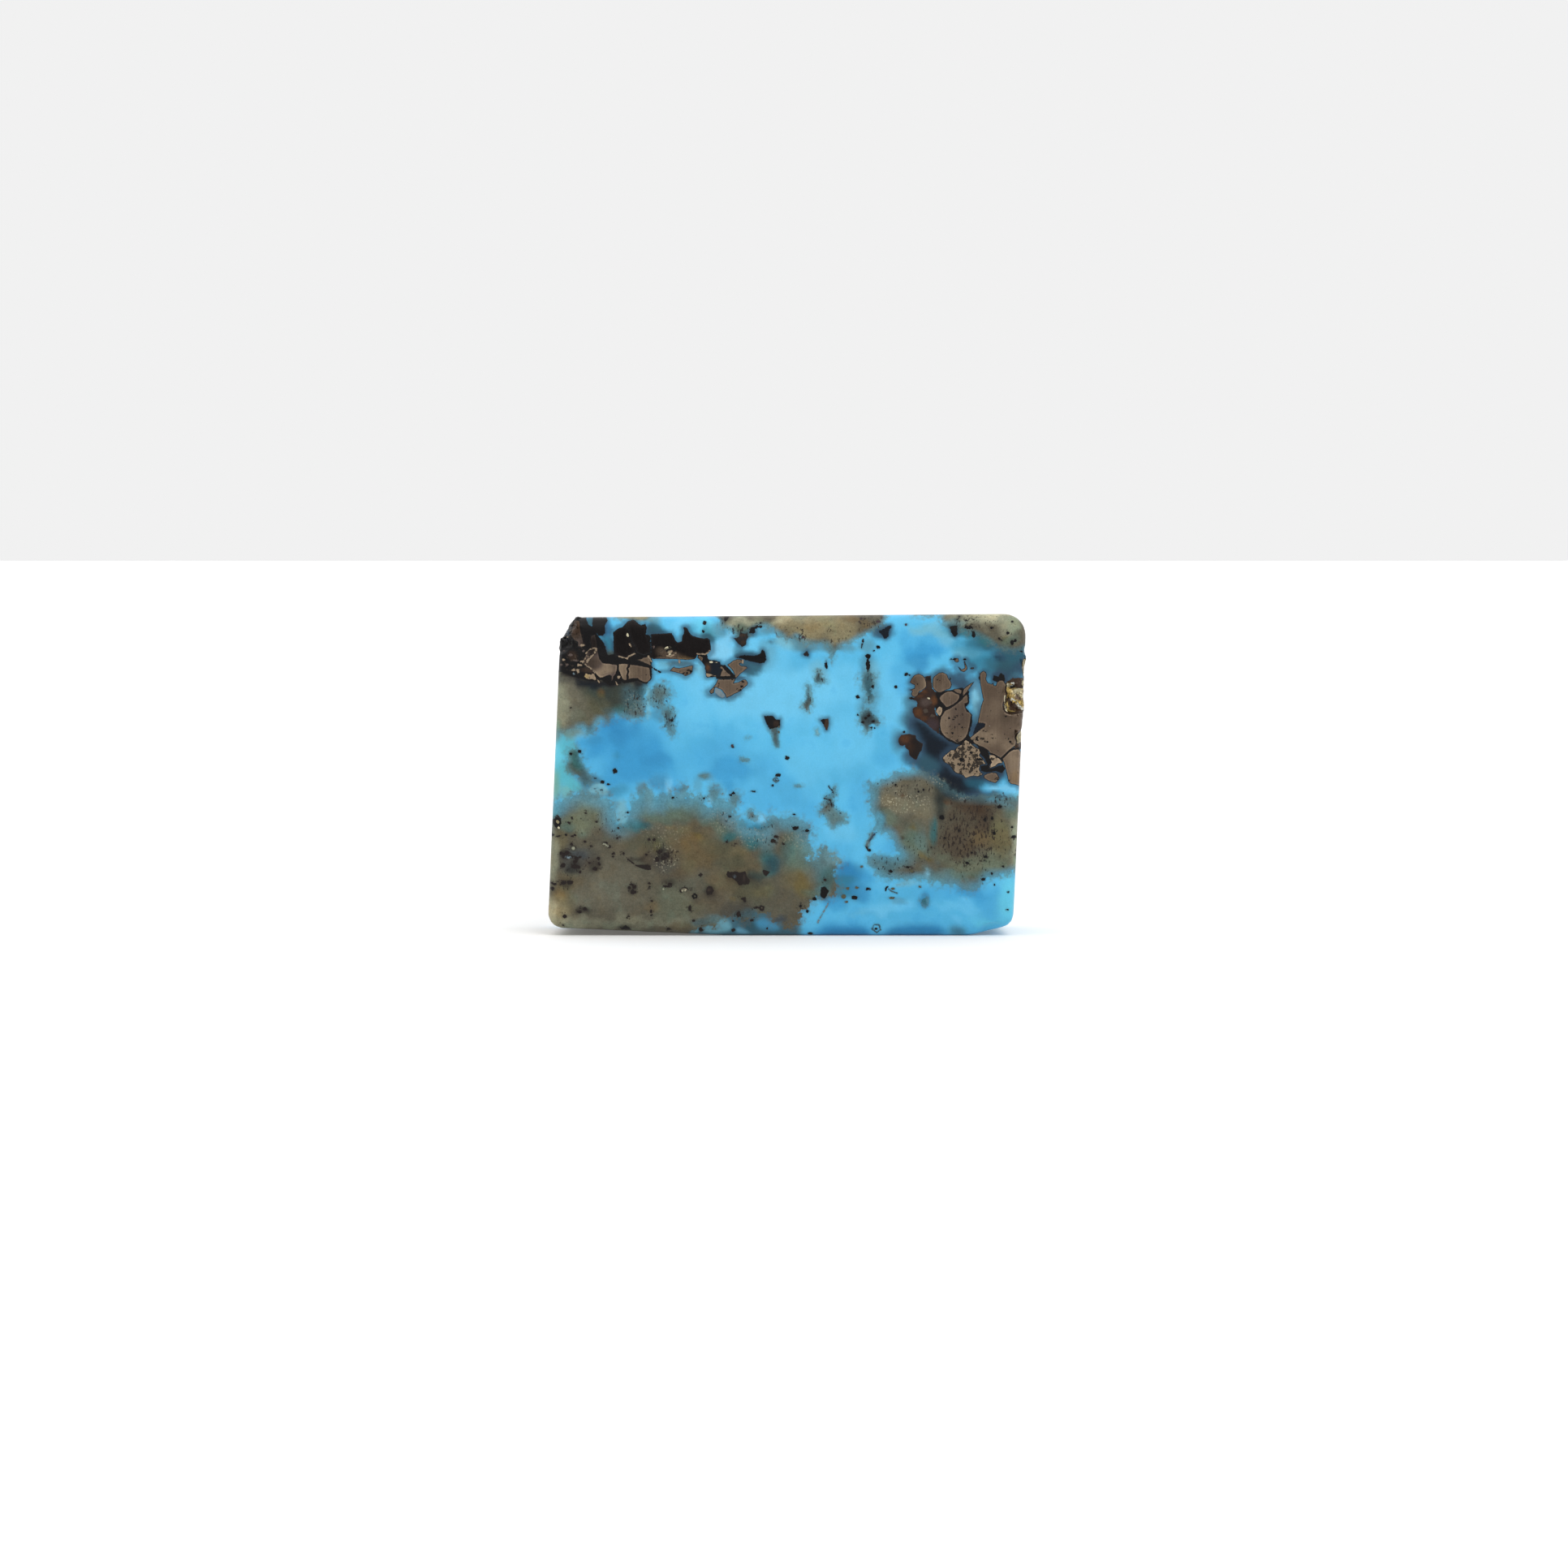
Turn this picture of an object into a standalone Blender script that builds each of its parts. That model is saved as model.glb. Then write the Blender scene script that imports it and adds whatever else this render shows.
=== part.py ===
"""A raw turquoise slab with pyrite: sawn, tumbled until its rims are round, and standing on its long edge.

X runs along the slab, Y through it with the ground face at -Y, and Z up. The origin is on the
surface that the slab stands on, below the middle of its box. Metres.
"""

import math

import bmesh
import bpy
from mathutils import Euler, Vector, noise

MM = 0.001
NAME = "turquoise_slab"
COLLECTION = "raw_turquoise"

# Driving dimensions.
HEIGHT = 19.95 * MM
THICKNESS = 8.0 * MM
HALF_WIDTH = 14.84 * MM  # before the corners are rounded
LEAN = 0.8 * MM  # both ends lean the same way, so the foot lies this far to the left of the top
FOOT_LEFT = -4.0 * MM  # the flat that it stands on runs from here
FOOT_RIGHT = 11.4 * MM  # to here, and the edge rises from the surface on both sides
RISE_LEFT = 0.48 * MM
RISE_RIGHT = 0.66 * MM
TOP_FALL_LEFT = 0.22 * MM  # the top edge drops this much towards the left
TOP_FALL_BACK = 0.5 * MM  # and this much towards the back
LEFT_DRAFT = 0.4 * MM  # the saw left each end a little narrower at the back
RIGHT_DRAFT = 0.3 * MM
BROKEN_CORNER_WIDTH = 0.82 * MM  # the upper left corner is broken off
BROKEN_CORNER_HEIGHT = 1.8 * MM
CORNER_ROUND = 0.9 * MM
TOP_RIGHT_ROUND = 1.3 * MM
RIM_ROUND = 0.7 * MM
RIM_RESOLUTION = 3
ARC_STEP = math.radians(12)

# The front face is ground flat, with a second facet along its top that leans back.
TOP_FACET_FROM = 17.1 * MM
TOP_FACET_TILT = math.radians(11)

FRONT = -THICKNESS / 2
BACK = THICKNESS / 2
RIGHT_END = HALF_WIDTH
UPPER_LEFT_END = -HALF_WIDTH + LEAN

NICK_SPACING = 6.5 * MM
WELD = 0.001 * MM
NICK_SIZE = 0.7 * MM
NICK_DEPTH = 0.1 * MM  # how far inside the back rim's corner a nick is centred

SLAB_COLOUR = (0.10, 0.45, 0.72, 1.0)
SLAB_ROUGHNESS = 0.35


def rounded_outline(corners, inset):
    """Points of a closed outline drawn in by an inset. Its corners, as (x, z, radius), are arcs, or plain where it is 0."""
    points = []
    for i, (x, z, radius) in enumerate(corners):
        here = Vector((x, z))
        before = Vector(corners[i - 1][:2]) - here
        after = Vector(corners[(i + 1) % len(corners)][:2]) - here
        half_angle = before.angle(after) / 2
        inward = (before.normalized() + after.normalized()).normalized()
        if radius == 0:
            points.append(here + inward * (inset / math.sin(half_angle)))
            continue
        centre = here + inward * (radius / math.sin(half_angle))
        start = here + before.normalized() * (radius / math.tan(half_angle)) - centre
        start *= (radius - inset) / radius
        turn = math.pi - 2 * half_angle
        steps = max(1, math.ceil(turn / ARC_STEP))
        sign = 1 if before.cross(after) < 0 else -1
        for step in range(steps + 1):
            angle = sign * turn * step / steps
            along = Vector((math.cos(angle), math.sin(angle)))
            across = Vector((-along.y, along.x))
            points.append(centre + along * start.x + across * start.y)
    return points


def slab_corners():
    """The slab seen from the front, counterclockwise from the foot's left end, as (x, z, radius)."""
    return [
        (FOOT_LEFT, 0.0, 0.0),
        (FOOT_RIGHT, 0.0, 0.0),
        (HALF_WIDTH - LEAN, RISE_RIGHT, CORNER_ROUND),
        (HALF_WIDTH, HEIGHT, TOP_RIGHT_ROUND),
        (UPPER_LEFT_END + BROKEN_CORNER_WIDTH, HEIGHT - TOP_FALL_LEFT, CORNER_ROUND),
        (UPPER_LEFT_END, HEIGHT - BROKEN_CORNER_HEIGHT, CORNER_ROUND),
        (-HALF_WIDTH, RISE_LEFT, CORNER_ROUND),
    ]


def add_object(name, mesh, collection):
    made = bpy.data.objects.new(name, mesh)
    collection.objects.link(made)
    return made


def tumbled_block(collection):
    """The slab with round rims: its outline as a flat curve, drawn in by what the rims add, and turned upright."""
    curve = bpy.data.curves.new("outline", "CURVE")
    curve.dimensions = "2D"
    curve.fill_mode = "BOTH"
    curve.extrude = THICKNESS / 2 - RIM_ROUND
    curve.bevel_depth = RIM_ROUND
    curve.bevel_resolution = RIM_RESOLUTION
    places = rounded_outline(slab_corners(), RIM_ROUND)
    spline = curve.splines.new("POLY")
    spline.points.add(len(places) - 1)
    for point, place in zip(spline.points, places):
        point.co = (place.x, place.y, 0.0, 1.0)
    spline.use_cyclic_u = True
    outline = add_object("outline", curve, collection)
    outline.rotation_euler = Euler((math.radians(90), 0, 0))
    bpy.context.view_layer.update()
    graph = bpy.context.evaluated_depsgraph_get()
    mesh = bpy.data.meshes.new_from_object(outline.evaluated_get(graph))
    mesh.transform(outline.matrix_world)
    mesh.name = NAME
    bpy.data.objects.remove(outline)
    bpy.data.curves.remove(curve)
    return mesh


def lean_top_facet(bm):
    """The front face is creased below its top, and above the crease it leans back."""
    bmesh.ops.bisect_plane(
        bm, geom=[*bm.verts, *bm.edges, *bm.faces], plane_co=(0, 0, TOP_FACET_FROM), plane_no=(0, 0, 1)
    )
    for vert in bm.verts:
        above = max(0.0, vert.co.z - TOP_FACET_FROM)
        vert.co.y += above * math.tan(TOP_FACET_TILT) * (BACK - vert.co.y) / THICKNESS


def draw_in_back(bm):
    """The saw was a little out of square: the slab narrows and its top falls towards the back."""
    for vert in bm.verts:
        share = (vert.co.y - FRONT) / THICKNESS
        vert.co.x += share * (LEFT_DRAFT if vert.co.x < 0 else -RIGHT_DRAFT)
        vert.co.z -= share * TOP_FALL_BACK * vert.co.z / HEIGHT


def make_blank(collection):
    mesh = tumbled_block(collection)
    bm = bmesh.new()
    bm.from_mesh(mesh)
    bmesh.ops.remove_doubles(bm, verts=bm.verts, dist=WELD)
    lean_top_facet(bm)
    draw_in_back(bm)
    bmesh.ops.triangulate(bm, faces=bm.faces)
    bmesh.ops.recalc_face_normals(bm, faces=bm.faces)
    bm.to_mesh(mesh)
    bm.free()
    return add_object(NAME, mesh, collection)


def add_cutter(name, bm, place, turn, collection):
    mesh = bpy.data.meshes.new(name)
    bm.to_mesh(mesh)
    bm.free()
    cutter = add_object(name, mesh, collection)
    cutter.location = place
    cutter.rotation_euler = Euler([math.radians(angle) for angle in turn])
    cutter.hide_render = True
    cutter.display_type = "WIRE"
    return cutter


def crystal_cutter(name, place, size, turn, collection):
    """A block: a pyrite crystal that has broken out left its print."""
    bm = bmesh.new()
    bmesh.ops.create_cube(bm, size=1.0)
    bmesh.ops.scale(bm, vec=size, verts=bm.verts)
    return add_cutter(name, bm, place, turn, collection)


def hollow_cutter(name, place, size, turn, collection):
    """An uneven ball, for a worn hollow."""
    bm = bmesh.new()
    bmesh.ops.create_icosphere(bm, subdivisions=3, radius=0.5)
    for vert in bm.verts:
        vert.co *= 1 + 0.28 * noise.noise(vert.co * 3 + Vector(place) / MM)
    bmesh.ops.scale(bm, vec=size, verts=bm.verts)
    return add_cutter(name, bm, place, turn, collection)


def broken_crystals():
    """Prints of broken crystals on the front rims, as (name, place, size, turn in degrees), with sizes in millimetres."""
    return [
        ("pit_main", (RIGHT_END - 0.55 * MM, FRONT - 0.05 * MM, 14.35 * MM), (1.5, 1.5, 1.1), (24, 12, -31)),
        ("pit_upper", (RIGHT_END - 1.0 * MM, FRONT + 0.05 * MM, 15.15 * MM), (0.95, 0.9, 0.8), (-18, 33, 14)),
        ("pit_lower", (RIGHT_END - 0.35 * MM, FRONT + 0.1 * MM, 12.45 * MM), (0.9, 0.7, 1.0), (10, -27, 38)),
        ("chip_right", (RIGHT_END + 0.1 * MM, FRONT + 0.35 * MM, 16.9 * MM), (0.6, 0.8, 1.1), (35, 8, 20)),
        ("chip_low", (UPPER_LEFT_END + 0.1 * MM, FRONT + 0.3 * MM, 18.1 * MM), (0.8, 1.0, 0.8), (20, 41, 12)),
        ("chip_high", (UPPER_LEFT_END + 0.7 * MM, FRONT + 0.6 * MM, 19.2 * MM), (0.7, 1.0, 0.9), (-14, 28, 33)),
    ]


def worn_hollows():
    """Hollows worn in the back and the ends, and a bruise on the lower front rim, in the same form."""
    return [
        ("hollow_wide", (-7.2 * MM, BACK + 0.55 * MM, 13.2 * MM), (8.5, 2.6, 4.6), (0, 22, 0)),
        ("hollow_deep", (-3.9 * MM, BACK + 0.3 * MM, 11.6 * MM), (4.2, 2.2, 2.6), (0, -35, 0)),
        ("hollow_small", (5.4 * MM, BACK + 0.3 * MM, 5.6 * MM), (3.4, 1.7, 2.0), (0, 40, 0)),
        ("hollow_end", (RIGHT_END - 0.2 * MM, BACK - 2.4 * MM, 6.4 * MM), (1.7, 2.9, 4.2), (15, 0, 0)),
        ("hollow_top", (-2.6 * MM, BACK - 0.9 * MM, HEIGHT - 0.2 * MM), (5.6, 2.6, 1.5), (0, 0, 12)),
        ("bruise", (12.6 * MM, FRONT + 0.15 * MM, 0.35 * MM), (1.7, 1.1, 0.9), (0, -12, 0)),
    ]


def back_rim_nicks():
    """Small chips along the back rims, one every NICK_SPACING or so, in the same form."""
    nicks = []
    corners = [Vector((x, z)) for x, z, _ in slab_corners()]
    for i, start in enumerate(corners):
        run = corners[(i + 1) % len(corners)] - start
        inward = Vector((-run.y, run.x)).normalized()
        for step in range(int(run.length / NICK_SPACING)):
            drift = noise.noise_vector(Vector((i, step, 0.5)) * 5.3)
            share = (step + 0.5 + 0.6 * drift.x) * NICK_SPACING / run.length
            spot = start + run * share + inward * NICK_DEPTH
            if spot.y < RIM_ROUND:
                continue  # nothing is taken off the edge that it stands on
            draft = LEFT_DRAFT if spot.x < 0 else -RIGHT_DRAFT
            fall = TOP_FALL_BACK * spot.y / HEIGHT
            place = (spot.x + draft, BACK - NICK_DEPTH, spot.y - fall)
            size = NICK_SIZE / MM * (1.2 + drift.y)
            slope = -math.degrees(math.atan2(run.y, run.x))
            nicks.append((f"nick_{i}_{step}", place, (size * 2.4, size, size * 1.2), (0, slope, 20 * drift.z)))
    return nicks


def slab_material():
    made = bpy.data.materials.new("turquoise")
    made.use_nodes = True
    shader = made.node_tree.nodes["Principled BSDF"]
    shader.inputs["Base Color"].default_value = SLAB_COLOUR
    shader.inputs["Roughness"].default_value = SLAB_ROUGHNESS
    shader.inputs["Metallic"].default_value = 0.0
    return made


def cut_all(slab, cutters):
    """Takes every print, hollow and nick out of the slab."""
    shapes = [(crystal_cutter, broken_crystals()), (hollow_cutter, worn_hollows() + back_rim_nicks())]
    for make_cutter, rows in shapes:
        for name, place, size_mm, turn in rows:
            size = [side * MM for side in size_mm]
            cut = slab.modifiers.new(name, "BOOLEAN")
            cut.operation = "DIFFERENCE"
            cut.solver = "EXACT"
            cut.object = make_cutter(name, place, size, turn, cutters)


def main():
    for old in list(bpy.data.objects):
        bpy.data.objects.remove(old)
    parts = bpy.data.collections.new(COLLECTION)
    cutters = bpy.data.collections.new("cutters")
    bpy.context.scene.collection.children.link(parts)
    bpy.context.scene.collection.children.link(cutters)

    slab = make_blank(parts)
    cut_all(slab, cutters)
    slab.data.materials.clear()
    slab.data.materials.append(slab_material())


main()
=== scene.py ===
# A small slab of turquoise in its matrix, with pyrite in two corners. It is ground flat and tumbled,
# and stands on a white table. The pattern is drawn in millimetres on the ground face: x to the right
# from the middle, z up from the table.
import math

import bpy
import numpy as np
from mathutils import Euler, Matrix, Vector, noise


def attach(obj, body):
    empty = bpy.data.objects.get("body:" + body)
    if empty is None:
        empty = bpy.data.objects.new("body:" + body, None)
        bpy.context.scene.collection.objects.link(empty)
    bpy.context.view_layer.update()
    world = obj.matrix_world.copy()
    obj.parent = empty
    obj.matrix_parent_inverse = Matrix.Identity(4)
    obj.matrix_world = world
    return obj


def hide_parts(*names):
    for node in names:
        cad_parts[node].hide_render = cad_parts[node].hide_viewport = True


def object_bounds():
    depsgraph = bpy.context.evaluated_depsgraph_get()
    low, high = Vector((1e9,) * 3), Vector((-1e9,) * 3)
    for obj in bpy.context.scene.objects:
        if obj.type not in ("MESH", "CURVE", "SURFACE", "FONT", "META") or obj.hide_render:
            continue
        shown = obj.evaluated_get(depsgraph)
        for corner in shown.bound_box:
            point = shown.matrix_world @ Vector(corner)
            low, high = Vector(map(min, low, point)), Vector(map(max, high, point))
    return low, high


mm = 0.001
farOff = 1.5        # mm at which a distance from a drawn edge is cut off
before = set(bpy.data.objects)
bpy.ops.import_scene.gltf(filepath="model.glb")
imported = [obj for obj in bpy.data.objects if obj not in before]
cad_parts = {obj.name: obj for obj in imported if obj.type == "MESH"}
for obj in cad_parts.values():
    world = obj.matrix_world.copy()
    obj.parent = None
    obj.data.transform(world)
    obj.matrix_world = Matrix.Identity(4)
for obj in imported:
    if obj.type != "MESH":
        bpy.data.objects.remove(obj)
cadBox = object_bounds()
print("stage 1: the packed model is loaded")


def selectOnly(thing):
    for other in list(bpy.context.selected_objects):
        other.select_set(False)
    thing.select_set(True)
    bpy.context.view_layer.objects.active = thing


def applyModifier(thing, kind, settings):
    selectOnly(thing)
    modifier = thing.modifiers.new(kind.title(), kind)
    for name, value in settings.items():
        setattr(modifier, name, value)
    bpy.ops.object.modifier_apply(modifier=modifier.name)


def inEditMode(thing, faces, work):
    # selects the given faces and runs the work on them in edit mode
    selectOnly(thing)
    bpy.ops.object.mode_set(mode="EDIT")
    bpy.ops.mesh.select_mode(type="FACE")
    bpy.ops.mesh.select_all(action="DESELECT")
    bpy.ops.object.mode_set(mode="OBJECT")
    thing.data.polygons.foreach_set("select", faces)
    bpy.ops.object.mode_set(mode="EDIT")
    work()
    bpy.ops.object.mode_set(mode="OBJECT")


def everyFace(thing):
    return [True] * len(thing.data.polygons)


def readPoints(mesh):
    flat = np.zeros(len(mesh.vertices) * 3, np.float32)
    mesh.vertices.foreach_get("co", flat)
    return flat.reshape(-1, 3).astype(float) / mm


def writePoints(mesh, points):
    mesh.vertices.foreach_set("co", (points * mm).astype(np.float32).ravel())
    mesh.update()


def readFaces(mesh):
    # the middle of each face in millimetres, and its normal
    middle = np.zeros(len(mesh.polygons) * 3, np.float32)
    normal = np.zeros(len(mesh.polygons) * 3, np.float32)
    mesh.polygons.foreach_get("center", middle)
    mesh.polygons.foreach_get("normal", normal)
    return middle.reshape(-1, 3) / mm, normal.reshape(-1, 3)


def ease(low, high, value):
    # 0 at low, 1 at high, and a soft step between
    t = np.clip((value - low) / (high - low), 0, 1)
    return t * t * (3 - 2 * t)


def insideDistance(x, z, outline):
    # mm from the outline, more than 0 inside it
    start = np.array(outline, float)
    run = np.roll(start, -1, 0) - start
    out = np.full(len(x), -farOff)
    low, high = start.min(0) - farOff, start.max(0) + farOff
    near = np.flatnonzero((x > low[0]) & (x < high[0]) & (z > low[1]) & (z < high[1]))
    atOnce = 2000000
    for part in np.array_split(near, max(1, len(near) * len(start) // atOnce)):
        dx = x[part, None] - start[:, 0]
        dz = z[part, None] - start[:, 1]
        t = np.clip((dx * run[:, 0] + dz * run[:, 1]) / np.maximum((run ** 2).sum(1), 1e-9), 0, 1)
        gap = np.hypot(dx - t * run[:, 0], dz - t * run[:, 1]).min(1)
        above = (dz < 0) != (dz - run[:, 1] < 0)
        rise = np.where(np.abs(run[:, 1]) < 1e-9, 1e-9, run[:, 1])
        crossed = (above & (dx < dz * run[:, 0] / rise)).sum(1) % 2 == 1
        out[part] = np.where(crossed, gap, -gap)
    return np.clip(out, -farOff, farOff)


def lineDistance(x, z, line, width):
    # mm inside a stroke of that width along the line
    out = np.full(len(x), -farOff)
    for (ax, az), (bx, bz) in zip(line, line[1:]):
        rx, rz = bx - ax, bz - az
        t = np.clip(((x - ax) * rx + (z - az) * rz) / (rx * rx + rz * rz), 0, 1)
        out = np.maximum(out, width / 2 - np.hypot(x - ax - t * rx, z - az - t * rz))
    return out


def ovalDistance(x, z, cx, cz, rx, rz):
    r = np.hypot((x - cx) / rx, (z - cz) / rz)
    return np.clip((1 - r) * min(rx, rz), -farOff, farOff)


def worn(outline, rounds=1):
    # cuts the corners of an outline
    points = np.array(outline, float)
    for _ in range(rounds):
        after = np.roll(points, -1, 0)
        points = np.stack((points * 0.75 + after * 0.25, points * 0.25 + after * 0.75), 1).reshape(-1, 2)
    return points


# colours, as a painter would mix them (0 to 255). The rim colour is painted edge light on the rounded rims;
# the cream and chalk colours are painted highlights and glints, and cream also gives the pale crystal specks
# in the matrix
palette = {
    "sky": (99, 190, 230), "light": (121, 203, 238), "milk": (138, 205, 236), "mid": (82, 172, 218),
    "deep": (60, 151, 202), "lowSky": (87, 178, 219), "ocean": (48, 130, 180), "cyan": (116, 212, 232),
    "mist": (128, 184, 200), "aqua": (96, 182, 190), "teal": (48, 82, 94), "lagoon": (54, 122, 146),
    "slate": (50, 72, 92), "ink": (16, 24, 34), "smoke": (66, 98, 110), "fog": (94, 132, 142),
    "verdigris": (52, 106, 112), "green": (98, 120, 108), "sage": (118, 128, 108), "leaf": (130, 175, 150),
    "grey": (98, 94, 81), "warm": (106, 93, 68), "olive": (86, 86, 68), "moss": (56, 64, 60),
    "pebble": (114, 111, 97), "core": (84, 73, 60), "rimLight": (158, 160, 138), "straw": (114, 106, 76),
    "sand": (146, 136, 106), "honey": (136, 108, 62), "jet": (17, 16, 17), "soot": (34, 31, 31),
    "coffee": (38, 31, 29), "umber": (60, 44, 33), "rust": (92, 58, 32), "ochre": (112, 98, 54),
    "limonite": (48, 34, 28), "bronze": (108, 93, 79), "pale": (152, 134, 112), "dim": (72, 62, 54),
    "mauve": (90, 78, 73), "creamHighlight": (212, 204, 172), "gold": (176, 152, 92), "chalkGlint": (222, 224, 214),
    "steel": (116, 134, 142), "plum": (64, 52, 56), "shade": (74, 74, 72),
}


# the light on the ground face is a little over 1, so the colours are mixed a little darker
paintLevel = 0.91


def mixed(name):
    # the colour in linear light, with 1 for white
    tone = np.array(palette[name]) / 255
    return np.where(tone > 0.04045, ((tone + 0.055) / 1.055) ** 2.4, tone / 12.92) * paintLevel


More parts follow.
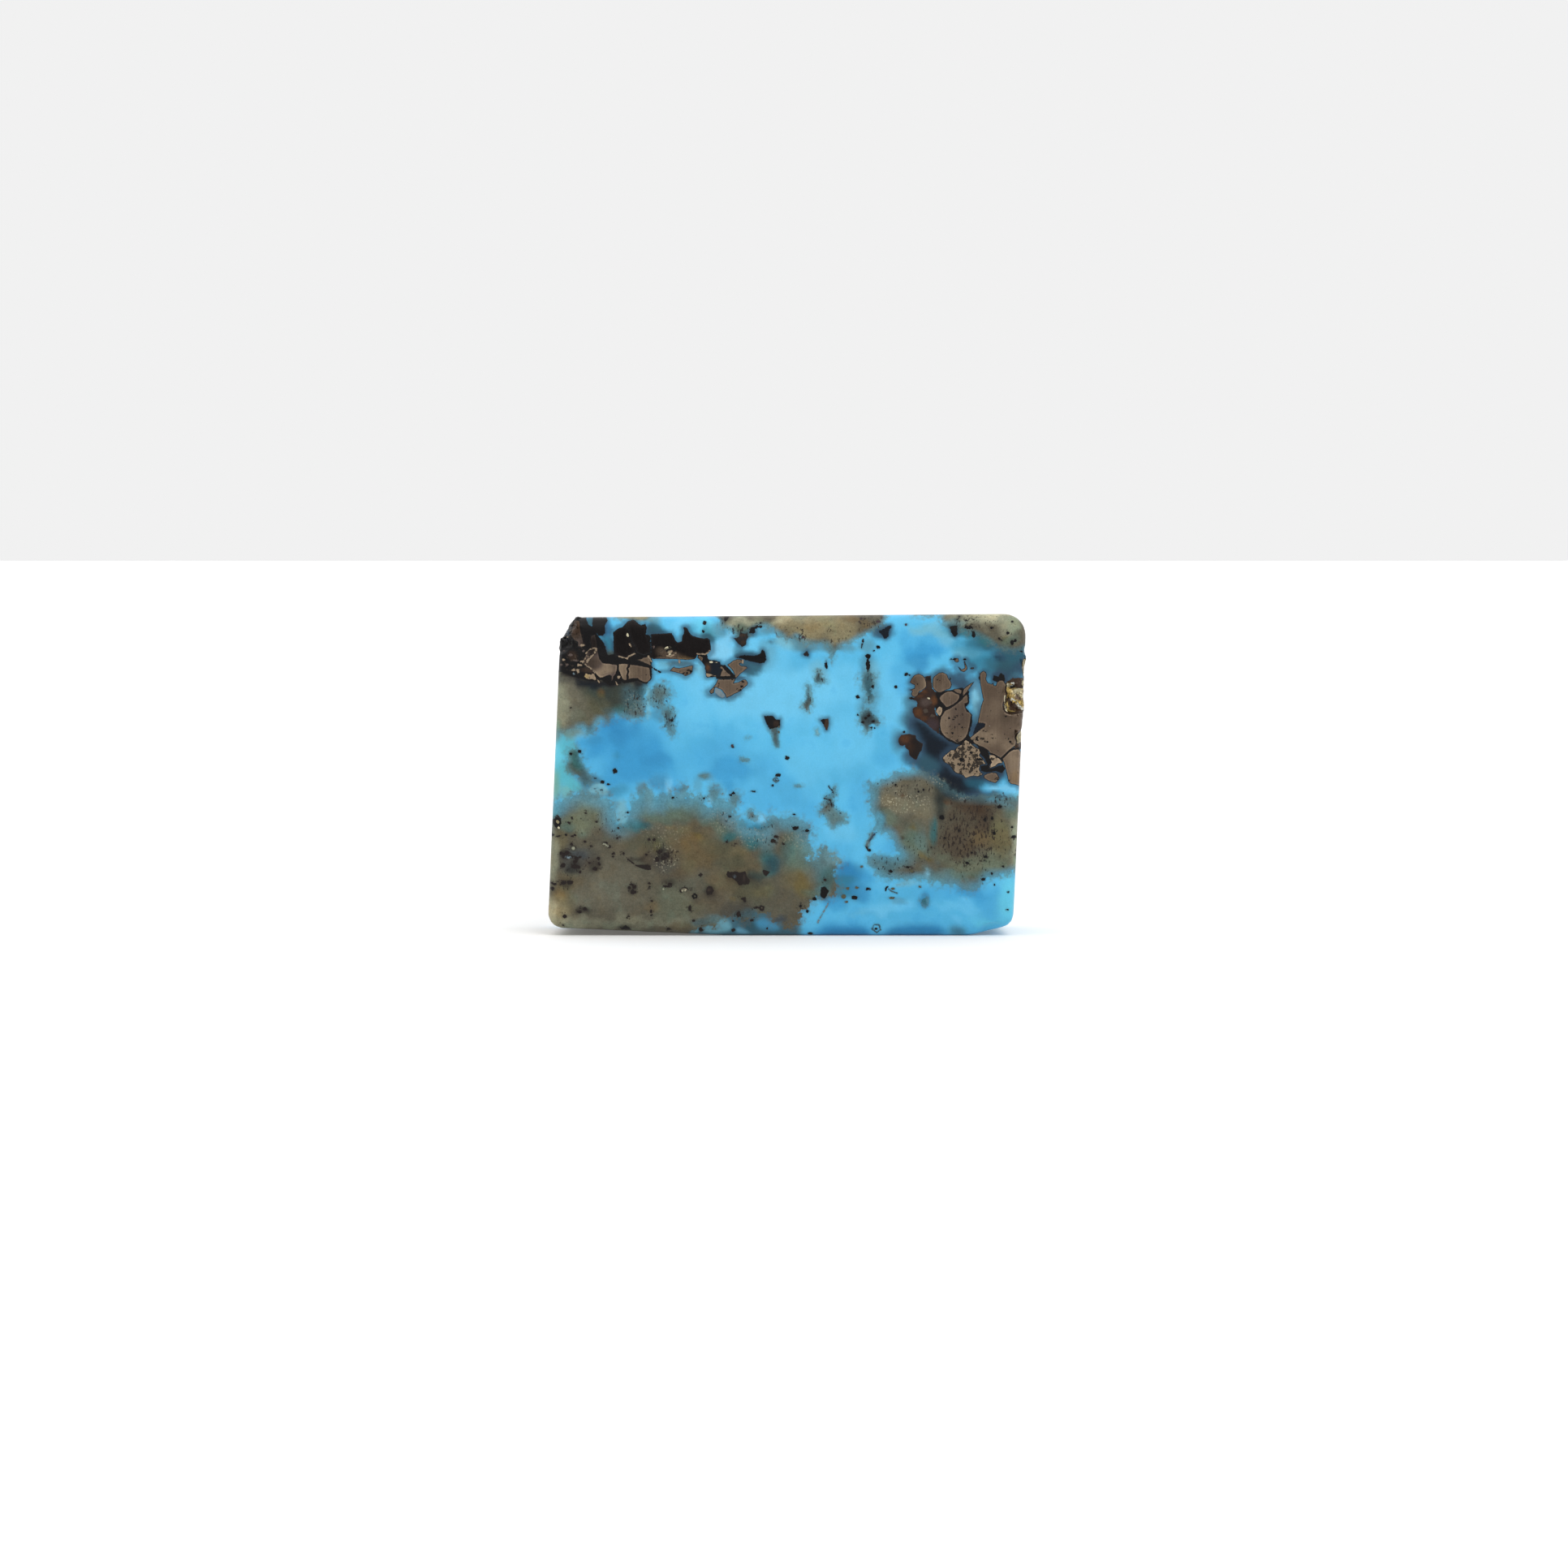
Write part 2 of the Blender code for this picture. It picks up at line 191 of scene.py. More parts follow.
# soft strokes in the turquoise: colour, x, z, half width, half height, strength
blueDabs = [
    ("light", 0, 15.3, 4.4, 2.4, 0.9), ("light", -3.4, 14.4, 2.3, 1.5, 0.7),
    ("light", -5.6, 16.2, 1.6, 1.4, 0.6), ("light", 6.4, 14.6, 1.1, 2.6, 0.5),
    ("light", -2.6, 17.9, 1.6, 0.9, 0.6), ("light", -6.6, 19.3, 1, 0.5, 0.7),
    ("milk", -3.9, 17.8, 0.8, 0.75, 0.9), ("milk", -3.6, 18.5, 0.4, 0.4, 0.7),
    ("milk", -4.6, 17.3, 0.5, 0.3, 0.6), ("cyan", -5, 19.1, 0.9, 0.5, 0.5),
    ("mist", -7.6, 16.7, 0.7, 0.4, 0.5), ("mist", -5.3, 16.6, 0.4, 0.5, 0.5),
    ("mid", -9.6, 11.4, 3.6, 2.7, 0.95), ("deep", -10.4, 12, 2, 1.3, 0.8),
    ("deep", -8.6, 10.6, 2.2, 1.4, 0.75), ("deep", -10.6, 10, 1.5, 0.8, 0.5),
    ("lowSky", -5.6, 11.8, 1.4, 1.6, 0.7), ("ocean", -10.2, 12.2, 0.9, 0.5, 0.4),
    ("ocean", -8.2, 10.9, 0.8, 0.5, 0.35), ("mid", -10.9, 11.1, 0.7, 0.6, 0.5),
    ("mid", -3.9, 11, 2.3, 1.5, 0.8), ("deep", -3.6, 10.2, 1.5, 0.9, 0.6), ("mid", -1.2, 10.2, 1, 1.1, 0.5),
    ("mid", 0.6, 8.4, 1.5, 0.8, 0.5), ("lowSky", 2.6, 10.1, 1.6, 0.9, 0.5), ("mid", 4.5, 8.6, 0.7, 1.6, 0.5),
    ("lowSky", 5.9, 12, 1, 1.4, 0.6), ("mid", 6, 10.8, 0.9, 0.6, 0.5), ("lowSky", 7.3, 17.2, 0.8, 1.3, 0.6),
    ("mid", -7, 9.6, 1.3, 0.8, 0.6), ("mid", -1.3, 8.8, 1.9, 0.9, 0.6), ("light", -6, 13.2, 1.4, 1.1, 0.35),
    ("light", 1.4, 10.6, 1.5, 1.6, 0.35), ("light", 3.8, 12.1, 1.4, 1.7, 0.4),
    ("mid", 1.6, 7.9, 0.9, 1.2, 0.4), ("mid", 8.3, 17.8, 1.9, 1, 0.9), ("deep", 8.3, 17.5, 1.3, 0.6, 0.7),
    ("mist", 8.8, 19, 1.2, 0.45, 0.7), ("mist", 9.8, 18.4, 0.6, 0.6, 0.5),
    ("mist", 11, 17.4, 0.9, 0.35, 0.55), ("mid", 6.4, 5.4, 0.7, 0.5, 0.7),
    ("deep", 4.4, 3.4, 1.1, 0.6, 0.75), ("deep", 3.5, 3.8, 0.8, 0.7, 0.7),
    ("ocean", 3.7, 3.3, 0.7, 0.45, 0.6), ("lowSky", 9, 1.9, 6, 1.5, 0.8), ("mid", 11.6, 2.3, 1.6, 0.8, 0.8),
    # the cyan stroke by the right edge and the cyan, aqua, leaf and sage strokes by the left edge are pale
    # turquoise made paler as painted edge light on the rounded rims
    ("mist", 5, 1.6, 1.3, 0.3, 0.25), ("cyan", 13.6, 2.4, 0.8, 1.6, 0.6), ("cyan", 12.2, 1, 1.1, 0.3, 0.4),
    ("cyan", -14.2, 11.1, 0.45, 1.5, 0.9), ("aqua", -13.5, 11.8, 0.6, 1.2, 0.7),
    ("aqua", -13.8, 9.8, 0.6, 0.9, 0.8), ("leaf", -14.4, 9.3, 0.4, 0.9, 0.8),
    ("leaf", -13.7, 8.8, 0.5, 0.4, 0.6), ("sage", -14.4, 12.4, 0.5, 0.5, 0.7),
    ("lagoon", -13, 10.2, 0.6, 0.5, 0.6), ("mist", -12.9, 12.5, 0.5, 0.3, 0.5),
    ("teal", -11.9, 12.1, 0.5, 0.3, 0.4), ("lagoon", -10.4, 11.1, 0.25, 0.3, 0.4),
    ("mid", -10.4, 8.9, 0.8, 0.4, 0.7), ("lagoon", 12.9, 17.5, 2, 1.5, 0.8),
    ("teal", 13.7, 17, 1.3, 1.5, 0.9), ("teal", 12.2, 18.2, 1.5, 0.6, 0.8),
    ("lagoon", 10.7, 18.9, 1, 0.5, 0.7), ("teal", 10.6, 19.2, 0.6, 0.3, 0.5),
    ("teal", 12.9, 16.4, 1.1, 0.6, 0.6), ("slate", 13, 17.3, 0.6, 0.3, 0.7),
    ("slate", 14.2, 16.5, 0.4, 0.5, 0.7), ("lagoon", 14.2, 18.6, 0.5, 0.5, 0.4),
    ("milk", 13.6, 9.3, 1.1, 0.25, 0.7), ("cyan", 14.3, 8.7, 0.5, 0.3, 0.6),
    ("milk", 12.7, 9.25, 0.5, 0.18, 0.5), ("milk", 11.65, 14.9, 0.3, 1, 0.8),
    ("smoke", 11.7, 13.2, 0.35, 0.4, 0.8), ("slate", 11.6, 12.7, 0.35, 0.3, 0.9),
    ("smoke", 10.9, 15.6, 0.6, 0.2, 0.6), ("fog", -6.3, 16.88, 0.6, 0.14, 0.8),
    ("ink", 12.9, 17.2, 0.3, 0.12, 0.6), ("ink", 12.95, 16, 0.5, 0.3, 0.95),
    ("ink", 13.4, 15.8, 0.3, 0.15, 0.8), ("smoke", 14.1, 15.9, 0.4, 0.4, 0.7),
    ("slate", -7.8, 16.35, 0.5, 0.1, 0.5), ("lagoon", -8, 18.9, 0.5, 0.5, 0.7),
    ("teal", -8.4, 18.6, 0.3, 0.7, 0.9), ("fog", -6.65, 18.35, 0.2, 0.3, 0.5),
    ("green", -8.4, 19.5, 0.6, 0.3, 0.6), ("verdigris", -12.15, 19.4, 0.3, 0.35, 0.9),
    ("mid", 3.4, 5.2, 0.8, 0.6, 0.4), ("lagoon", 4.1, 4, 0.5, 0.5, 0.4),
    ("smoke", -7.7, 9.6, 0.6, 0.5, 0.35), ("milk", -7.2, 9.3, 0.22, 0.5, 0.6),
    ("fog", -5, 9.9, 0.5, 0.3, 0.6), ("fog", -4.4, 8.9, 0.5, 0.6, 0.55), ("fog", -3.1, 8.5, 0.35, 0.5, 0.6),
    ("smoke", -6.4, 9.15, 0.35, 0.2, 0.5), ("fog", -5.5, 9.3, 0.3, 0.5, 0.4),
    ("milk", -1.6, 7.2, 0.35, 0.5, 0.6), ("lagoon", -1.9, 6.7, 0.8, 0.2, 0.8),
    ("milk", -4.75, 8.35, 0.2, 0.3, 0.5), ("mid", 9.2, 2.6, 1.1, 0.5, 0.6),
    ("deep", 11.3, 2.5, 1.1, 0.5, 0.55), ("light", 6.4, 1.8, 1.4, 0.5, 0.7),
    ("mist", 7.6, 3.25, 0.8, 0.18, 0.6), ("smoke", 6.9, 2.15, 0.45, 0.25, 0.4),
    ("smoke", 8.5, 2.2, 0.25, 0.5, 0.7), ("light", 10.2, 1.5, 1.6, 0.4, 0.5),
    ("deep", 3.9, 4, 0.35, 0.8, 0.7), ("light", 3.4, 6.3, 0.9, 0.7, 0.6), ("ink", 10, 9.6, 0.9, 0.6, 0.9),
    ("deep", 12.6, 8.95, 0.6, 0.15, 0.5), ("smoke", 5.9, 4.4, 0.9, 0.5, 0.4),
    ("ocean", 3.7, 3.8, 0.9, 0.8, 0.85), ("lagoon", 3.4, 2.9, 1.1, 0.8, 0.9),
    ("ocean", 4.5, 2.6, 0.8, 0.5, 0.6), ("deep", 2.9, 2.1, 0.9, 0.4, 0.6),
    ("slate", 10.8, 15.7, 0.9, 0.45, 0.9), ("smoke", 9, 16.2, 1.2, 0.25, 0.6),
    ("smoke", 7.55, 14.9, 0.45, 1.3, 0.7), ("smoke", 7.6, 13.4, 0.6, 0.8, 0.8),
    ("slate", 7.7, 10.95, 0.7, 0.5, 0.85), ("smoke", 6.9, 12, 0.5, 0.8, 0.6),
    ("slate", 11.5, 12.6, 0.5, 0.5, 0.9), ("mist", 11.75, 14.4, 0.4, 1.1, 0.6),
    ("slate", 13.1, 16.2, 0.9, 0.4, 0.8), ("slate", 5.9, 18.75, 0.75, 0.6, 0.85),
    ("fog", 1.8, 17.95, 1.6, 0.35, 0.8), ("fog", 3.8, 17.9, 0.6, 0.3, 0.6),
    ("verdigris", -4.7, 18.5, 0.5, 0.3, 0.8), ("fog", -5.4, 18.5, 0.6, 0.3, 0.4),
    ("fog", -4.1, 19, 0.5, 0.5, 0.7), ("teal", -8.1, 18.85, 0.7, 0.5, 0.9),
    ("smoke", -2.2, 18.6, 0.7, 0.3, 0.6), ("smoke", -2.95, 17.6, 0.3, 0.7, 0.6),
    ("slate", -4.1, 14.65, 0.8, 0.3, 0.6), ("smoke", -3.2, 14.9, 0.6, 0.25, 0.5),
    ("smoke", 4.95, 16.6, 0.5, 0.9, 0.5), ("mist", 5.3, 16.2, 0.5, 0.8, 0.5),
    ("verdigris", 11.2, 18.8, 1.1, 0.4, 0.8), ("ocean", -11.1, 18.9, 0.4, 0.5, 0.8),
    ("slate", -11, 17.7, 0.5, 0.7, 0.9), ("smoke", -12.2, 9.7, 0.8, 0.6, 0.7),
    ("fog", -11.8, 8.9, 1.2, 0.4, 0.7), ("lagoon", -1.5, 6.8, 1.1, 0.4, 0.7),
    ("smoke", -0.85, 18.15, 0.35, 0.12, 0.8), ("lagoon", -9.9, 13.8, 1, 0.4, 0.6),
    ("smoke", 12.3, 8.7, 1.4, 0.4, 0.9), ("fog", 13.8, 8.65, 1, 0.35, 0.8),
    ("slate", 11.6, 8.85, 0.8, 0.4, 0.8), ("fog", 2.1, 17.8, 0.6, 0.3, 0.8),
    ("ocean", 8, 16.9, 0.8, 0.5, 0.55), ("lagoon", 11.9, 16.8, 0.7, 0.5, 0.7),
    ("smoke", 11.7, 13.8, 0.35, 0.8, 0.5), ("lowSky", 1.2, 16.9, 1.5, 0.9, 0.7),
    ("mist", 1.9, 16.3, 0.6, 0.7, 0.5), ("fog", -1.2, 17.4, 0.6, 0.9, 0.4),
    ("lagoon", -10.3, 8.9, 0.9, 0.5, 0.45), ("fog", -10.4, 7.9, 0.6, 0.5, 0.5),
    ("ocean", -10.3, 12.8, 1.2, 0.6, 0.6), ("fog", 5, 14.6, 0.7, 1.3, 0.45), ("mid", 7, 15.9, 0.7, 0.9, 0.6),
    ("smoke", -7.9, 13.8, 0.6, 0.5, 0.45), ("verdigris", 12.4, 18.4, 1.1, 0.4, 0.85),
    ("lagoon", 10.9, 17.9, 0.9, 0.5, 0.5), ("fog", 0.8, 18, 0.7, 0.35, 0.8),
    ("mist", -0.1, 17.95, 0.6, 0.35, 0.8), ("fog", 4.9, 17.9, 0.5, 0.5, 0.6),
    ("fog", -1.1, 18.85, 0.6, 0.4, 0.7), ("verdigris", -4.9, 18.75, 0.4, 0.5, 0.6),
    ("sage", -13.3, 12.7, 0.8, 0.4, 0.7), ("verdigris", -10.1, 6.8, 0.7, 0.4, 0.7),
    ("teal", 12.9, 16.8, 0.9, 0.5, 0.7), ("slate", -11, 18.8, 0.4, 0.5, 0.5),
    ("sky", -7, 11.8, 0.9, 0.8, 0.7), ("deep", -12.1, 11.8, 0.8, 0.7, 0.6),
    ("fog", -6.8, 16.75, 1.2, 0.22, 0.8), ("lagoon", -6.2, 18.9, 0.6, 0.4, 0.5),
    ("fog", -8.8, 9.1, 0.4, 0.4, 0.7), ("mist", -8.4, 8.6, 0.25, 0.5, 0.6),
]

# areas with a drawn, soft edge: colour, softness in mm, strength, outline
blueShapes = [
    ("deep", 0.35, 0.7, [(1.6, 0.1), (2.2, 0.8), (2.7, 0.92), (3.4, 0.75), (4.6, 0.9), (5.3, 0.1), (4, -0.5),
        (2, -0.5)]),
    ("ocean", 0.3, 0.8, [(1.9, 0), (2.6, 0.6), (3.6, 0.5), (4.7, 0.6), (5.1, 0), (3.5, -0.5)]),
    ("ocean", 0.3, 0.85, [(5.9, 0), (6.5, 0.6), (8, 0.75), (9.4, 0.7), (9.9, 0.1), (8, -0.5)]),
    ("deep", 0.3, 0.8, [(8.45, 2.7), (8.75, 2.75), (8.85, 2.1), (8.7, 1.65), (8.1, 1.9), (8.1, 2.2)]),
    ("smoke", 0.3, 0.95, [(-6.3, -0.5), (-6, 0.6), (-5, 1.2), (-3.8, 1.7), (-2.4, 2), (-1, 1.7), (0.2, 1.4),
        (0.8, 0.9), (0.9, -0.5)]),
    ("teal", 0.3, 0.8, [(-3.1, 1.3), (-2.4, 1.3), (-1.9, 1), (-1.7, 0.5), (-2.1, 0.2), (-2.7, 0.5),
        (-3.1, 0.8)]),
    ("mist", 0.12, 0.65, [(-5.95, 0.3), (-5.85, 0.55), (-5.65, 0.72), (-5.45, 0.5), (-5.5, 0.2),
        (-5.8, 0.1)]),
    ("mist", 0.15, 0.65, [(-5.2, 0.4), (-4.9, 0.7), (-4.6, 0.6), (-4.5, 0.9), (-4, 1.2), (-3.6, 1),
        (-3.4, 0.6), (-3.5, 0.3), (-4.5, 0.1), (-5.1, 0.2)]),
    ("milk", 0.15, 0.45, [(-3.2, 0.4), (-2.9, 0.55), (-2.5, 0.35), (-2.3, 0.15), (-3, 0.1)]),
    ("mid", 0.25, 0.5, [(-2, 1), (-1.2, 1.1), (-0.6, 0.8), (-0.5, 0.3), (-1.7, 0.4)]),
    ("smoke", 0.3, 0.7, [(10.1, 0.7), (11, 0.5), (11, 0), (10.1, 0)]),
    ("mist", 0.06, 0.8, [(-8.62, 15.5), (-8.45, 15.5), (-8.42, 14.3), (-8.5, 13.3), (-8.62, 13.4)]),
    ("lagoon", 0.15, 0.9, [(-11.5, 18.6), (-11.2, 18.55), (-10.7, 18.3), (-10.6, 17.3), (-10.9, 17.3),
        (-11.15, 17.8)]),
    ("ink", 0.12, 0.9, [(-11.1, 17.55), (-10.6, 17.55), (-10.6, 17.1), (-10.9, 17.1)]),
    ("mist", 0.12, 0.9, [(-12.22, 9), (-12.1, 9.2), (-11.9, 9.4), (-11.5, 9.48), (-11.2, 9.35), (-11, 9),
        (-11.1, 8.7), (-11.5, 8.75), (-12.1, 8.85)]),
    ("aqua", 0.12, 0.8, [(-13.3, 9.9), (-13, 9.65), (-12.75, 9.5), (-12.65, 9.1), (-12.7, 8.95),
        (-13.3, 8.95), (-13.6, 9.4)]),
    ("mist", 0.2, 0.85, [(-10.4, 8.3), (-10, 8.5), (-9.85, 7.8), (-9.8, 7.2), (-9.95, 6.9), (-10.4, 6.95),
        (-10.55, 7.3)]),
    ("teal", 0.2, 0.9, [(-3.3, 17.3), (-2.8, 17.6), (-1.9, 17.6), (-1.45, 17), (-1.5, 16.3), (-2.1, 15.95),
        (-2.6, 16.1), (-2.9, 16.6), (-3, 17.1)]),
    ("slate", 0.12, 0.85, [(-3.2, 15.95), (-2.9, 16.1), (-2.5, 15.95), (-2.8, 15.8), (-3.1, 15.7)]),
    ("slate", 0.3, 0.95, [(7.45, 13.9), (9.4, 12.6), (11.5, 12.3), (13.4, 10.9), (13.6, 9.8), (12.9, 9.6),
        (12.1, 9.5), (11.8, 9.2), (12, 8.7), (11.6, 8.2), (10.4, 8.2), (9.5, 9), (8.4, 9.9), (7.8, 10.5),
        (8.2, 11.3), (7.8, 12.3), (7.3, 12.8)]),
    ("ink", 0.35, 0.95, [(8.5, 12.2), (9.4, 12.4), (11.4, 12.2), (12.6, 11.2), (13.3, 10.6), (13.2, 9.8),
        (12, 9.5), (11.2, 9.3), (10.6, 8.9), (9.9, 9.3), (9.6, 10), (9.3, 10.9), (8.5, 11.3)]),
    ("teal", 0.3, 0.8, [(8, 10.9), (8.6, 11.3), (9.3, 10.9), (9.4, 10.2), (8.7, 10.1), (8.1, 10.4)]),
    ("ink", 0.35, 0.95, [(7.7, 13.4), (8.7, 13.3), (9.3, 12.3), (9.7, 11.5), (9.4, 10.9), (9, 11),
        (8.5, 11.4), (8.2, 12.2)]),
    ("ink", 0.3, 0.9, [(9.3, 10.3), (10, 10.2), (10.8, 9.6), (12, 9.6), (12.1, 9.2), (11, 8.7), (10, 8.8),
        (9.2, 9.5)]),
    ("lagoon", 0.25, 0.4, [(10.9, 9.75), (12.2, 9.7), (12.9, 9.4), (12.2, 9.1), (11.1, 9.2)]),
]

